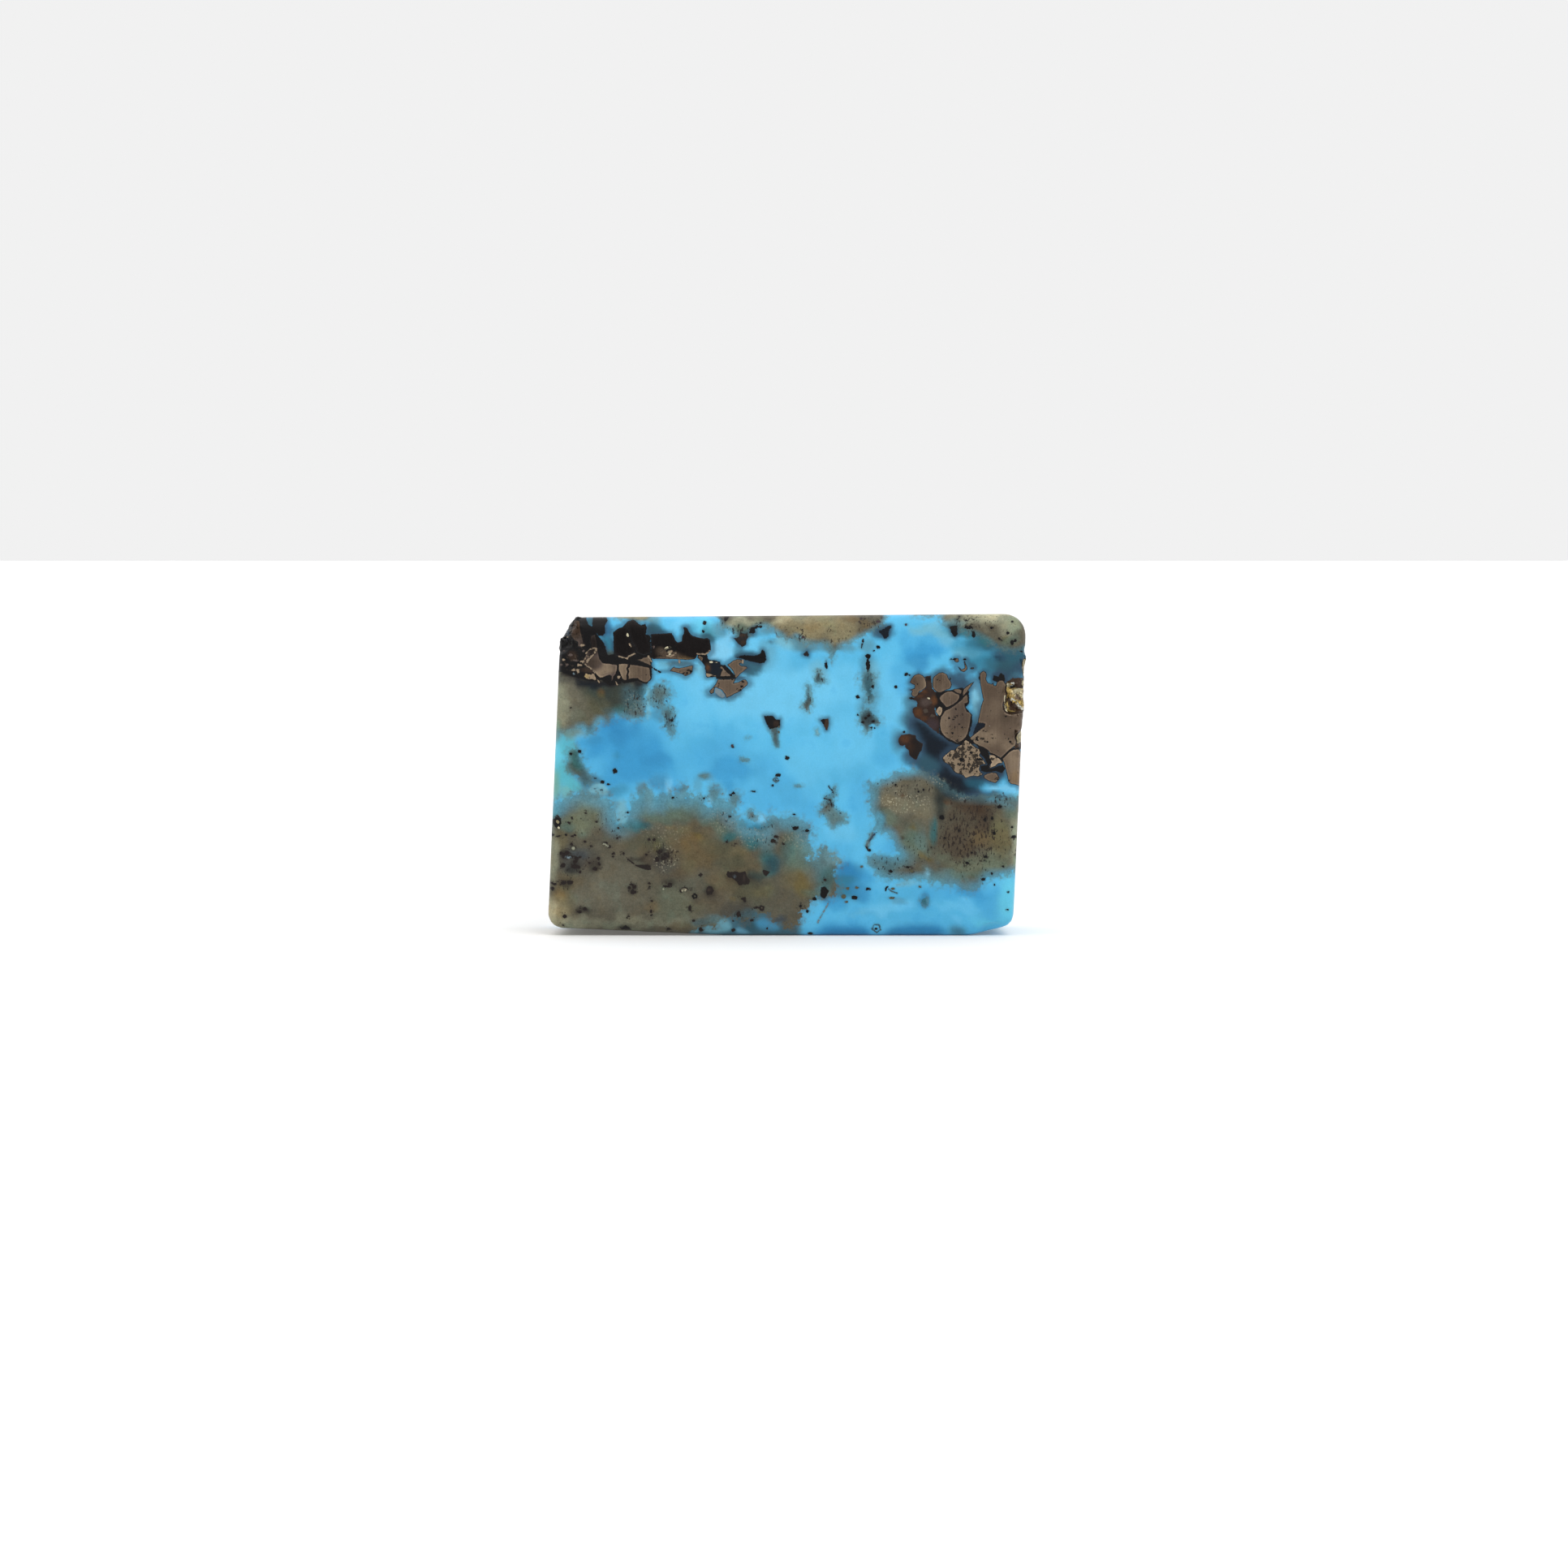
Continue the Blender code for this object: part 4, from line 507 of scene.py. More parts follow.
# dark lumps, crystals and cracks, cut flush: colour, corners worn off, outline
darkLumps = [
    ("jet", 0, [(-14.4, 16.35), (-14.4, 20.5), (-12.4, 20.5), (-12.35, 19.5), (-12.2, 19.2), (-12, 19.1),
        (-11.95, 19.75), (-11.15, 19.8), (-11.05, 19.45), (-11.2, 19.15), (-11.17, 18.7), (-11.3, 18.55),
        (-11.6, 18.5), (-11.7, 18.65), (-11.45, 18.3), (-11.25, 18.1), (-11.1, 17.6), (-11, 17.35),
        (-10.6, 17.4), (-10.3, 16.9), (-10.2, 15.6), (-10.9, 15.45), (-11.4, 15.8), (-12, 15.7),
        (-12.5, 15.85), (-13.3, 16.05), (-13.9, 16.3)]),
    ("jet", 0, [(-10.68, 18.75), (-10.45, 18.92), (-10.1, 19.06), (-9.92, 19.3), (-9.75, 19.42),
        (-9.5, 19.52), (-9.3, 19.42), (-9.15, 19.27), (-8.95, 19.17), (-8.72, 19.27), (-8.63, 19),
        (-8.68, 18.6), (-8.43, 18.55), (-8.3, 17.2), (-8.3, 15.9), (-8.65, 15.55), (-9.2, 15.75),
        (-10, 15.6), (-10.5, 15.9), (-10.95, 16.9), (-10.95, 17.25), (-10.65, 17.4)]),
    ("jet", 0, [(-5.5, 17.45), (-4.9, 17.4), (-4.85, 17.1), (-4.65, 17.02), (-4.35, 17), (-4.1, 16.92),
        (-4.05, 16.75), (-3.93, 16.73), (-3.8, 16.75), (-3.5, 16.46), (-3.18, 16.08), (-3.1, 15.9),
        (-3.5, 15.85), (-4.35, 15.85), (-4.35, 16), (-4.9, 15.95), (-5, 16.3), (-5.05, 16.6), (-5.15, 16.85),
        (-5.5, 17.2)]),
    ("ink", 0, [(-4.7, 17), (-4.35, 16.98), (-4.1, 16.9), (-4.05, 16.75), (-4.15, 16.6), (-4, 16.4),
        (-4.1, 16.05), (-4.3, 16.03), (-4.6, 16.15), (-4.95, 16.28), (-4.9, 16.6)]),
    ("jet", 0, [(-2, 17.3), (-1.75, 17.37), (-1.6, 17.5), (-1.55, 17.65), (-1.45, 17.68), (-1.33, 17.5),
        (-1.26, 17.05), (-1.4, 16.88), (-1.7, 16.83), (-2.3, 16.98), (-2.9, 17.15), (-3.15, 17.2),
        (-2.6, 17.35)]),
    ("steel", 0, [(-4.43, 15.27), (-4.33, 15.32), (-4.03, 15.15), (-3.86, 14.94), (-3.78, 14.78),
        (-3.98, 14.7), (-4.28, 14.89), (-4.42, 15.06)]),
    ("soot", 0, [(-3.3, 18.38), (-3.1, 18.4), (-2.92, 18.45), (-2.9, 18.7), (-2.85, 18.76), (-2.7, 18.66),
        (-2.42, 18.66), (-2.38, 18.45), (-2.5, 18.2), (-2.5, 18), (-2.75, 17.82), (-2.95, 18)]),
    ("jet", 0, [(-2.3, 18.7), (-2.25, 18.95), (-2.1, 19.07), (-1.95, 19.05), (-1.95, 18.75), (-2.1, 18.64)]),
    ("jet", 0, [(-3.87, 19.7), (-3.5, 19.74), (-3.65, 19.5), (-3.82, 19.36)]),
    ("ink", 1, [(5.6, 18.8), (5.9, 18.9), (6.35, 19.2), (6.5, 19.1), (6.25, 18.8), (6.3, 18.5), (6.1, 18.3),
        (5.95, 18.4), (5.85, 18.6)]),
    ("jet", 0, [(-1.42, 13.6), (-1, 13.62), (-0.88, 13.62), (-0.6, 13.35), (-0.4, 13.4), (-0.42, 12.95),
        (-0.6, 12.9), (-0.9, 12.8), (-1.05, 12.75), (-1.3, 13.2)]),
    ("umber", 0, [(2.15, 13.35), (2.55, 13.45), (2.6, 13.1), (2.5, 12.75), (2.4, 12.72), (2.25, 13.05)]),
    ("jet", 0, [(2.05, 13.35), (2.35, 13.42), (2.3, 13.1), (2.25, 13.05)]),
    ("soot", 0, [(0.97, 17.38), (1.25, 17.62), (1.35, 17.4), (1.33, 17.25), (1.1, 17.3)]),
    ("jet", 0, [(10, 19.1), (10.5, 19.15), (10.5, 18.55), (10.35, 18.45), (10.2, 18.55), (10.05, 18.95)]),
    ("jet", 0, [(10.42, 19.5), (10.55, 19.6), (10.6, 19.75), (10.7, 19.7), (10.5, 19.45)]),
    ("limonite", 0, [(8.5, 16.05), (8.85, 16.07), (8.9, 15.7), (8.95, 15.3), (9.1, 15.1), (9.4, 14.95),
        (9.3, 14.7), (9.35, 14.5), (9.2, 14.3), (9.1, 14), (9.2, 13.7), (9.42, 13.5), (9.4, 12.9),
        (9.35, 12.5), (9, 12.75), (8.6, 13.1), (8.35, 13.3), (8.1, 13.4), (7.9, 13.5), (7.73, 13.85),
        (7.75, 14.05), (8, 14.2), (8.05, 14.4), (7.9, 14.55), (7.6, 14.68), (7.95, 14.8), (8.1, 15),
        (8.4, 15.2), (8.58, 15.4)]),
    ("limonite", 0, [(6.85, 12), (6.88, 12.25), (7.05, 12.42), (7.5, 12.5), (7.92, 12.4), (7.98, 12.15),
        (8.15, 12), (8.38, 11.9), (8.3, 11.5), (8.12, 11.2), (8, 10.92), (7.85, 10.9), (7.55, 11.15),
        (7.5, 11.45), (7.25, 11.7), (7.35, 11.82), (7.15, 11.75), (6.95, 11.8)]),
    ("jet", 0, [(9.2, 15.1), (10.2, 15.2), (10.8, 15.35), (11.2, 15.1), (11.22, 14.4), (11, 14.1),
        (11.4, 13.7), (11.42, 13.2), (11.2, 12.4), (11.6, 11.9), (11.15, 11.8), (10.4, 11.85), (9.9, 12.1),
        (9.4, 12.5), (9.36, 13.4), (9.1, 14.2)]),
    ("jet", 0, [(11.75, 11.85), (12.35, 11.62), (12.42, 11.4), (12.5, 11), (12.6, 10.75), (12.45, 10.5),
        (12.5, 10.35), (12.9, 10.45), (13.3, 10.6), (13.45, 10.35), (13.25, 10.05), (12.9, 10.2),
        (12.3, 10.1), (11.95, 10.2), (11.9, 10.5), (12.35, 10.6), (12.15, 11), (11.9, 11.25)]),
    ("jet", 0, [(13.1, 10.95), (13.7, 11.55), (13.95, 11.65), (14.3, 11.66), (14.7, 11.95), (14.7, 11.7),
        (14.35, 11.5), (13.9, 11.5), (13.3, 10.8)]),
    ("ink", 0, [(11.72, 13.2), (12.2, 13.2), (12.3, 13.05), (11.95, 12.7), (11.45, 12.35), (11.55, 12.8)]),
    ("umber", 0, [(13.3, 13.7), (13.3, 15.5), (13.9, 15.95), (15.2, 15.9), (15.2, 11.6), (14, 11.6),
        (13.9, 12.4), (14.3, 13)]),
    ("jet", 0, [(12.65, 15.8), (12.75, 16.1), (13, 16), (13.15, 16.25), (13.35, 16.15), (13.45, 15.8),
        (13.2, 15.55)]),
    ("jet", 0, [(11.84, 16.25), (11.95, 16.2), (11.85, 15.6), (11.8, 15.9)]),
    ("coffee", 0, [(-9.38, 4.42), (-8.95, 4.4), (-8.6, 4.43), (-8.38, 4.38), (-8.38, 4.12), (-8.6, 4.07),
        (-8.95, 4.18), (-9.3, 4.32)]),
    ("coffee", 0, [(-3.72, 3.85), (-3.68, 4.02), (-3.4, 3.97), (-3.1, 4), (-2.9, 3.95), (-2.58, 4.02),
        (-2.5, 3.85), (-2.42, 3.6), (-2.25, 3.4), (-2.35, 3.2), (-2.7, 3.2), (-2.95, 3.13), (-3.1, 3.38),
        (-3.4, 3.6), (-3.65, 3.63)]),
    ("coffee", 0, [(-1.52, 4), (-1.45, 4.15), (-1.3, 4.07), (-1.05, 3.97), (-1.22, 3.75), (-1.3, 3.65),
        (-1.45, 3.83)]),
    ("coffee", 0, [(-4.98, 2.72), (-4.95, 2.98), (-4.8, 3.1), (-4.6, 3.05), (-4.52, 2.8), (-4.6, 2.58),
        (-4.9, 2.52)]),
    ("coffee", 0, [(-5.47, 3.77), (-5.32, 3.93), (-5.17, 3.78), (-5.32, 3.63)]),
    ("soot", 0, [(-10.35, 0.6), (-10.2, 0.52), (-9.95, 0.68), (-9.7, 0.5), (-9.6, 0.36), (-10.2, 0.36)]),
    ("jet", 0, [(2.1, 3), (2.35, 3.1), (2.6, 2.8), (2.35, 2.3), (2.05, 2.4)]),
    ("jet", 0, [(-14.5, 7.15), (-14.3, 7.3), (-14.2, 7.42), (-14.05, 7.3), (-13.9, 7.12), (-13.88, 7),
        (-14, 6.72), (-14.15, 6.62), (-14.3, 6.75), (-14.45, 6.95)]),
]

# strokes of brown, rust and grey on the lumps
lumpDabs = [
    ("dim", -12.1, 16.5, 0.35, 0.2, 0.5), ("umber", -13.2, 17.3, 0.35, 0.3, 0.6),
    ("umber", -12.3, 16.4, 0.4, 0.15, 0.6), ("slate", -13.55, 18.75, 0.12, 0.4, 0.5),
    ("umber", -4.85, 16.65, 0.18, 0.3, 0.9), ("rust", -4.85, 16.6, 0.1, 0.15, 0.7),
    ("umber", -2.7, 18.55, 0.2, 0.1, 0.7), ("umber", -2.65, 18.1, 0.15, 0.15, 0.6),
    ("rust", 8.35, 15.05, 0.25, 0.15, 0.5), ("rust", 9, 14.5, 0.22, 0.3, 0.75),
    ("rust", 8.05, 13.8, 0.3, 0.3, 0.7), ("rust", 8.45, 13.45, 0.3, 0.15, 0.5),
    ("rust", 8.1, 14.75, 0.25, 0.1, 0.5), ("mauve", 8.45, 14.35, 0.35, 0.25, 0.5),
    ("plum", 9, 13.1, 0.4, 0.4, 0.7), ("rust", 7.35, 12.15, 0.35, 0.25, 0.6),
    ("rust", 7.7, 11.6, 0.2, 0.35, 0.6), ("jet", 8, 11.6, 0.5, 0.9, 0.75),
    ("jet", 8.7, 15.95, 0.2, 0.15, 0.8), ("dim", 8.75, 15.5, 0.15, 0.3, 0.3),
    ("umber", -0.7, 13.1, 0.2, 0.2, 0.6), ("steel", -3.25, 3.7, 0.06, 0.12, 0.4),
    ("dim", -2.65, 3.6, 0.08, 0.2, 0.5), ("dim", -4.8, 2.85, 0.1, 0.1, 0.6),
]

# pyrite grains: layer, tone, outline; neighbours are in different layers, so a hairline stays between them
pyriteGrains = [
    (1, "dim", [(-13.15, 19.5), (-12.75, 19.45), (-12.7, 18.9), (-12.6, 18.5), (-12.5, 18.1), (-12.6, 17.8),
        (-12.85, 17.85), (-12.9, 18.15), (-13.1, 18.25), (-13.3, 18.5), (-13.3, 18.8), (-13.2, 19.1)]),
    (0, "mauve", [(-12.05, 18.55), (-11.8, 18.6), (-11.65, 18), (-11.6, 17.5), (-11.5, 17.1), (-11.3, 16.86),
        (-10.9, 16.82), (-10.42, 16.74), (-10.42, 16.5), (-10.5, 16.2), (-10.65, 16), (-10.72, 15.7),
        (-10.78, 15.6), (-10.82, 15.75), (-10.8, 16), (-10.86, 16.1), (-11.1, 16.05), (-11.3, 15.95),
        (-11.48, 15.92), (-11.65, 16.05), (-11.78, 16.2), (-12, 16.45), (-12.2, 16.6), (-12.35, 16.7),
        (-12.5, 16.85), (-12.62, 17), (-12.5, 17.1), (-12.4, 17.35), (-12.25, 17.6), (-12.1, 17.75),
        (-12.05, 18), (-12.15, 18.2)]),
    (2, "pale", [(-12.5, 16), (-12.4, 16.25), (-12.2, 16.2), (-12.05, 16.15), (-12, 16.25), (-11.85, 16.2),
        (-11.77, 16.05), (-11.7, 15.85), (-11.8, 15.75), (-12, 15.85), (-12.15, 15.82), (-12.35, 15.88)]),
    (1, "pale", [(-11.68, 15.92), (-11.58, 15.82), (-11.44, 15.7), (-11.55, 15.58), (-11.65, 15.68),
        (-11.7, 15.82)]),
    (1, "bronze", [(-10.35, 16.8), (-10, 16.83), (-9.7, 16.8), (-9.85, 16.5), (-9.78, 16.3), (-9.85, 16.1),
        (-9.82, 15.85), (-9.9, 15.75), (-10.05, 15.78), (-10.15, 15.9), (-10.25, 16.15), (-10.37, 16.45)]),
    (2, "bronze", [(-9.65, 16.78), (-9.2, 16.72), (-8.6, 16.62), (-8.42, 16.55), (-8.4, 16.2),
        (-8.35, 15.95), (-8.45, 15.75), (-8.6, 15.65), (-8.75, 15.65), (-9, 15.75), (-9.2, 15.9),
        (-9.45, 15.9), (-9.65, 15.85), (-9.8, 15.8), (-9.75, 16), (-9.8, 16.15), (-9.72, 16.3),
        (-9.78, 16.5), (-9.68, 16.65)]),
    (1, "bronze", [(-9.3, 17.05), (-9, 17.1), (-8.8, 17.2), (-8.5, 17.27), (-8.4, 17), (-8.33, 16.65),
        (-8.6, 16.78), (-9, 16.95)]),
    # the soot grains below are pyrite painted near black: a painted dark reflection, where their faces
    # mirror dark surroundings
    (0, "soot", [(-10.68, 18.75), (-10.45, 18.9), (-10.3, 19), (-10.1, 19.05), (-9.95, 19.1), (-9.82, 18.95),
        (-9.8, 18.6), (-9.67, 18.4), (-9.6, 18.15), (-9.42, 17.9), (-9.32, 17.6), (-9.5, 17.45),
        (-9.8, 17.2), (-10, 17.2), (-10.3, 17.25), (-10.5, 17.35), (-10.6, 17.5), (-10.65, 18.2)]),
    (1, "soot", [(-9.9, 19.3), (-9.75, 19.4), (-9.5, 19.5), (-9.3, 19.4), (-9.15, 19.25), (-8.95, 19.15),
        (-8.72, 19.25), (-8.65, 19), (-8.7, 18.6), (-8.55, 18.3), (-8.45, 18), (-8.42, 17.5), (-8.8, 17.35),
        (-9.2, 17.5), (-9.35, 17.9), (-9.55, 18.2), (-9.62, 18.5), (-9.72, 18.8)]),
    (2, "soot", [(-8.37, 18.62), (-7.97, 18.64), (-7.2, 18.69), (-7.1, 18.68), (-6.97, 18.49),
        (-6.84, 18.21), (-6.74, 18.12), (-6.6, 18.13), (-6.46, 18.21), (-6.44, 18.49), (-6.34, 18.66),
        (-6.32, 18.83), (-6.38, 19.02), (-6.29, 19.06), (-6.13, 19), (-6.06, 18.81), (-5.89, 18.57),
        (-5.55, 18.43), (-5.13, 18.34), (-4.88, 18.38), (-4.75, 18.28), (-4.69, 17.94), (-4.67, 17.64),
        (-4.88, 17.43), (-4.96, 17.35), (-5.13, 17.35), (-5.34, 17.39), (-5.49, 17.39), (-5.58, 17.18),
        (-5.68, 17.09), (-6.06, 17.03), (-6.91, 17.09), (-8.05, 17.11), (-8.22, 17.09), (-8.35, 17.18)]),
    (0, "bronze", [(-7.23, 16.37), (-6.93, 16.65), (-6.87, 16.56), (-6.61, 16.54), (-6.23, 16.61),
        (-5.85, 16.71), (-5.77, 16.69), (-5.81, 16.33), (-5.89, 16.2), (-6.1, 16.1), (-6.25, 16.04),
        (-6.4, 16.16), (-6.74, 16.25), (-6.99, 16.31)]),
    (0, "bronze", [(-5.47, 17.35), (-5.3, 17.3), (-5.13, 17.18), (-5.15, 17.05), (-5.24, 16.9),
        (-5.34, 17.05), (-5.47, 17.16)]),
    (0, "pale", [(-5, 16.25), (-4.79, 16.23), (-4.54, 16.14), (-4.16, 16.04), (-4.33, 15.99), (-4.62, 16.06),
        (-4.79, 15.97), (-4.96, 15.99)]),
    (1, "bronze", [(-4.18, 16.56), (-4.07, 16.67), (-3.97, 16.67), (-3.82, 16.46), (-3.61, 16.25),
        (-3.38, 16.06), (-3.52, 16.02), (-4.12, 16.02), (-4.05, 16.29), (-3.97, 16.46)]),
    (2, "bronze", [(-3.69, 16.75), (-3.52, 16.84), (-3.31, 17), (-3.02, 17.09), (-2.8, 17.07), (-2.7, 16.88),
        (-2.93, 16.8), (-2.8, 16.67), (-2.51, 16.65), (-2.42, 16.56), (-2.68, 16.33), (-2.89, 16.16),
        (-3.1, 15.91), (-3.23, 15.99), (-3.19, 16.08), (-3.35, 16.42)]),
    (0, "bronze", [(-4.24, 15.87), (-3.52, 15.85), (-3.4, 15.95), (-3.14, 15.84), (-3.29, 15.61),
        (-2.97, 15.68), (-2.68, 15.84), (-2.51, 15.82), (-2.38, 15.61), (-2.45, 15.48), (-2.68, 15.29),
        (-2.89, 15.1), (-3.19, 14.96), (-3.69, 14.7), (-3.82, 14.94), (-4.03, 15.21), (-4.37, 15.36),
        (-4.45, 15.31), (-4.48, 15.02), (-4.67, 14.94), (-4.79, 15.1), (-4.58, 15.32), (-4.37, 15.57)]),
    (0, "bronze", [(7.55, 15.65), (7.7, 15.95), (7.85, 16.1), (8.1, 16.2), (8.35, 16.1), (8.5, 15.95),
        (8.6, 15.65), (8.6, 15.4), (8.4, 15.2), (8.15, 15.1), (8.05, 14.85), (7.9, 14.75), (7.75, 14.78),
        (7.65, 14.95), (7.72, 15.12), (7.55, 15.2), (7.85, 15.3), (7.87, 15.5), (7.7, 15.56)]),
    (1, "bronze", [(8.95, 15.6), (9, 15.95), (9.15, 16.1), (9.35, 16.25), (9.6, 16.28), (9.85, 16.15),
        (9.95, 15.9), (10.1, 15.7), (10.15, 15.5), (10.05, 15.27), (9.75, 15.17), (9.5, 15.03), (9.3, 15.03),
        (9.1, 15.17), (8.98, 15.35)]),
    (0, "bronze", [(9.35, 14.65), (9.45, 14.85), (9.65, 15), (9.9, 15.13), (10.18, 15.12), (10.4, 15),
        (10.62, 14.92), (10.65, 14.75), (10.55, 14.5), (10.3, 14.3), (10, 14.15), (9.8, 14.1), (9.65, 14.3),
        (9.5, 14.45)]),
    (2, "bronze", [(10.2, 15.2), (10.35, 15.27), (10.55, 15.27), (10.75, 15.2), (10.78, 15.02),
        (10.68, 14.92), (10.4, 15.03)]),
    (1, "bronze", [(10.8, 14.7), (10.8, 15), (10.87, 15.25), (11.1, 15.45), (11.3, 15.6), (11.55, 15.72),
        (11.4, 15.5), (11.2, 15.25), (11.12, 15.08), (10.97, 14.92)]),
    (2, "bronze", [(9.6, 13.75), (9.75, 13.95), (10, 14.05), (10.3, 14.25), (10.5, 14.4), (10.7, 14.55),
        (10.85, 14.75), (11.1, 14.98), (11.15, 14.7), (11.17, 14.4), (10.95, 14.35), (11, 14.1),
        (11.1, 13.87), (11.3, 13.8), (11.37, 13.65), (11.3, 13.2), (11.25, 12.9), (11.15, 12.5),
        (11.05, 12.3), (10.85, 12.1), (10.6, 11.9), (10.4, 11.95), (10.1, 12.1), (9.8, 12.25), (9.6, 12.45),
        (9.45, 12.7), (9.4, 13.1), (9.45, 13.5)]),
    (0, "pale", [(9.15, 13.85), (9.25, 14.1), (9.4, 14.2), (9.6, 14.1), (9.6, 13.9), (9.5, 13.65),
        (9.42, 13.55), (9.3, 13.65)]),
    (0, "pale", [(9.6, 10.85), (9.6, 11.05), (9.75, 11.2), (9.95, 11.35), (10.1, 11.5), (10.35, 11.5),
        (10.5, 11.7), (10.75, 11.85), (10.95, 12.1), (11.1, 12.15), (11.3, 11.95), (11.5, 11.75),
        (11.85, 11.55), (11.95, 11.35), (11.85, 11.15), (12.05, 11), (12.15, 10.8), (12.3, 10.65),
        (11.9, 10.55), (11.85, 10.3), (11.95, 10.1), (12.1, 10), (11.8, 9.85), (11.5, 9.9), (11.3, 9.85),
        (11, 9.75), (10.85, 9.95), (10.5, 10.05), (10.3, 10.15), (10.15, 10.4), (10, 10.6), (9.75, 10.7)]),
    (1, "bronze", [(12.15, 9.95), (12.35, 10.05), (12.6, 10.12), (12.9, 10.1), (13, 9.95), (13.1, 9.75),
        (13, 9.6), (12.85, 9.45), (12.65, 9.5), (12.4, 9.6), (12.1, 9.8)]),
    (2, "pale", [(12.45, 11.2), (12.75, 11.2), (13, 11.05), (13.2, 10.9), (13.3, 10.7), (13, 10.65),
        (12.85, 10.5), (12.6, 10.4), (12.4, 10.35), (12.5, 10.55), (12.6, 10.75), (12.45, 11)]),
    (2, "bronze", [(11.87, 16.2), (11.95, 16.3), (12.1, 16.37), (12.25, 16.3), (12.3, 16.1), (12.25, 15.85),
        (12.35, 15.65), (12.6, 15.55), (12.7, 15.65), (12.72, 15.5), (12.85, 15.45), (12.95, 15.7),
        (13.1, 15.8), (13.25, 15.8), (13.4, 15.7), (13.5, 15.5), (13.45, 15.2), (13.5, 14.9), (13.4, 14.6),
        (13.3, 14.3), (13.35, 14), (13.5, 13.8), (13.7, 13.72), (14.2, 13.75), (14.65, 13.85), (15.2, 13.8),
        (15.2, 13), (14.7, 12.95), (14.4, 12.7), (14.15, 12.45), (14.05, 12.25), (14.15, 12.1),
        (14.1, 11.78), (13.7, 11.48), (13.4, 11.18), (13.2, 10.98), (12.9, 11.12), (12.55, 11.27),
        (12.4, 11.45), (12.1, 11.65), (11.8, 11.72), (11.5, 11.95), (11.25, 12.2), (11.4, 12.37),
        (11.7, 12.6), (11.95, 12.8), (12.15, 12.95), (12.2, 13.1), (12, 13.15), (11.75, 13.15), (11.8, 13.5),
        (11.9, 13.9), (11.95, 14.2), (12.1, 14.6), (12, 15), (11.95, 15.3), (11.88, 15.7)]),
    (0, "bronze", [(13.25, 10.95), (13.45, 11.15), (13.7, 11.4), (13.95, 11.53), (14.3, 11.55),
        (14.45, 11.35), (14.5, 10.9), (14.5, 10.2), (14.45, 9.7), (14.6, 9.4), (14.6, 9.12), (14.1, 9.35),
        (13.8, 9.4), (13.65, 9.55), (13.55, 10), (13.45, 10.4), (13.35, 10.75)]),
    # this pale strip along the right edge is pyrite painted cream: a painted highlight on the rounded rim
    (1, "creamHighlight", [(14.62, 9.1), (14.5, 9.5), (14.55, 10.1), (14.54, 10.9), (14.48, 11.4), (14.55, 11.8),
        (15.2, 11.9), (15.2, 9.1)]),
    (0, "sand", [(14.07, 12.25), (14.17, 12.42), (14.42, 12.65), (14.7, 12.87), (15.2, 12.9), (15.2, 12.05),
        (14.6, 11.97), (14.3, 11.87), (14.15, 11.82), (14.17, 12.1)]),
    (1, "gold", [(13.52, 15.5), (13.6, 15.65), (13.85, 15.62), (14.05, 15.35), (14.5, 15.3), (15.2, 15.2),
        (15.2, 13.88), (14.65, 13.92), (14.2, 13.82), (13.75, 13.78), (13.55, 13.86), (13.42, 14.05),
        (13.38, 14.3), (13.47, 14.6), (13.55, 14.9), (13.5, 15.2)]),
    (2, "sand", [(14.5, 16.35), (14.45, 16.8), (14.55, 17.1), (15.2, 17.2), (15.2, 16), (14.55, 15.95)]),
    (1, "sand", [(14.45, 15.4), (14.45, 15.8), (15.2, 15.9), (15.2, 15.4)]),
    (1, "bronze", [(10.5, 16.65), (10.6, 16.5), (10.7, 16.35), (10.9, 16.3), (11.1, 16.45), (11.1, 16.6),
        (11, 16.8), (10.95, 17), (10.88, 16.95), (10.92, 16.7), (10.95, 16.55), (10.75, 16.45),
        (10.6, 16.6)]),
    (1, "bronze", [(10.3, 16.95), (10.35, 17.15), (10.55, 17.15), (10.6, 16.95), (10.45, 16.88)]),
    (1, "bronze", [(11.27, 16.5), (11.35, 16.6), (11.5, 16.58), (11.53, 16.5), (11.4, 16.46)]),
    (1, "sand", [(-14.27, 7.1), (-14.2, 7.22), (-14.05, 7.15), (-13.98, 7.05), (-14.05, 6.92),
        (-14.2, 6.93)]),
]
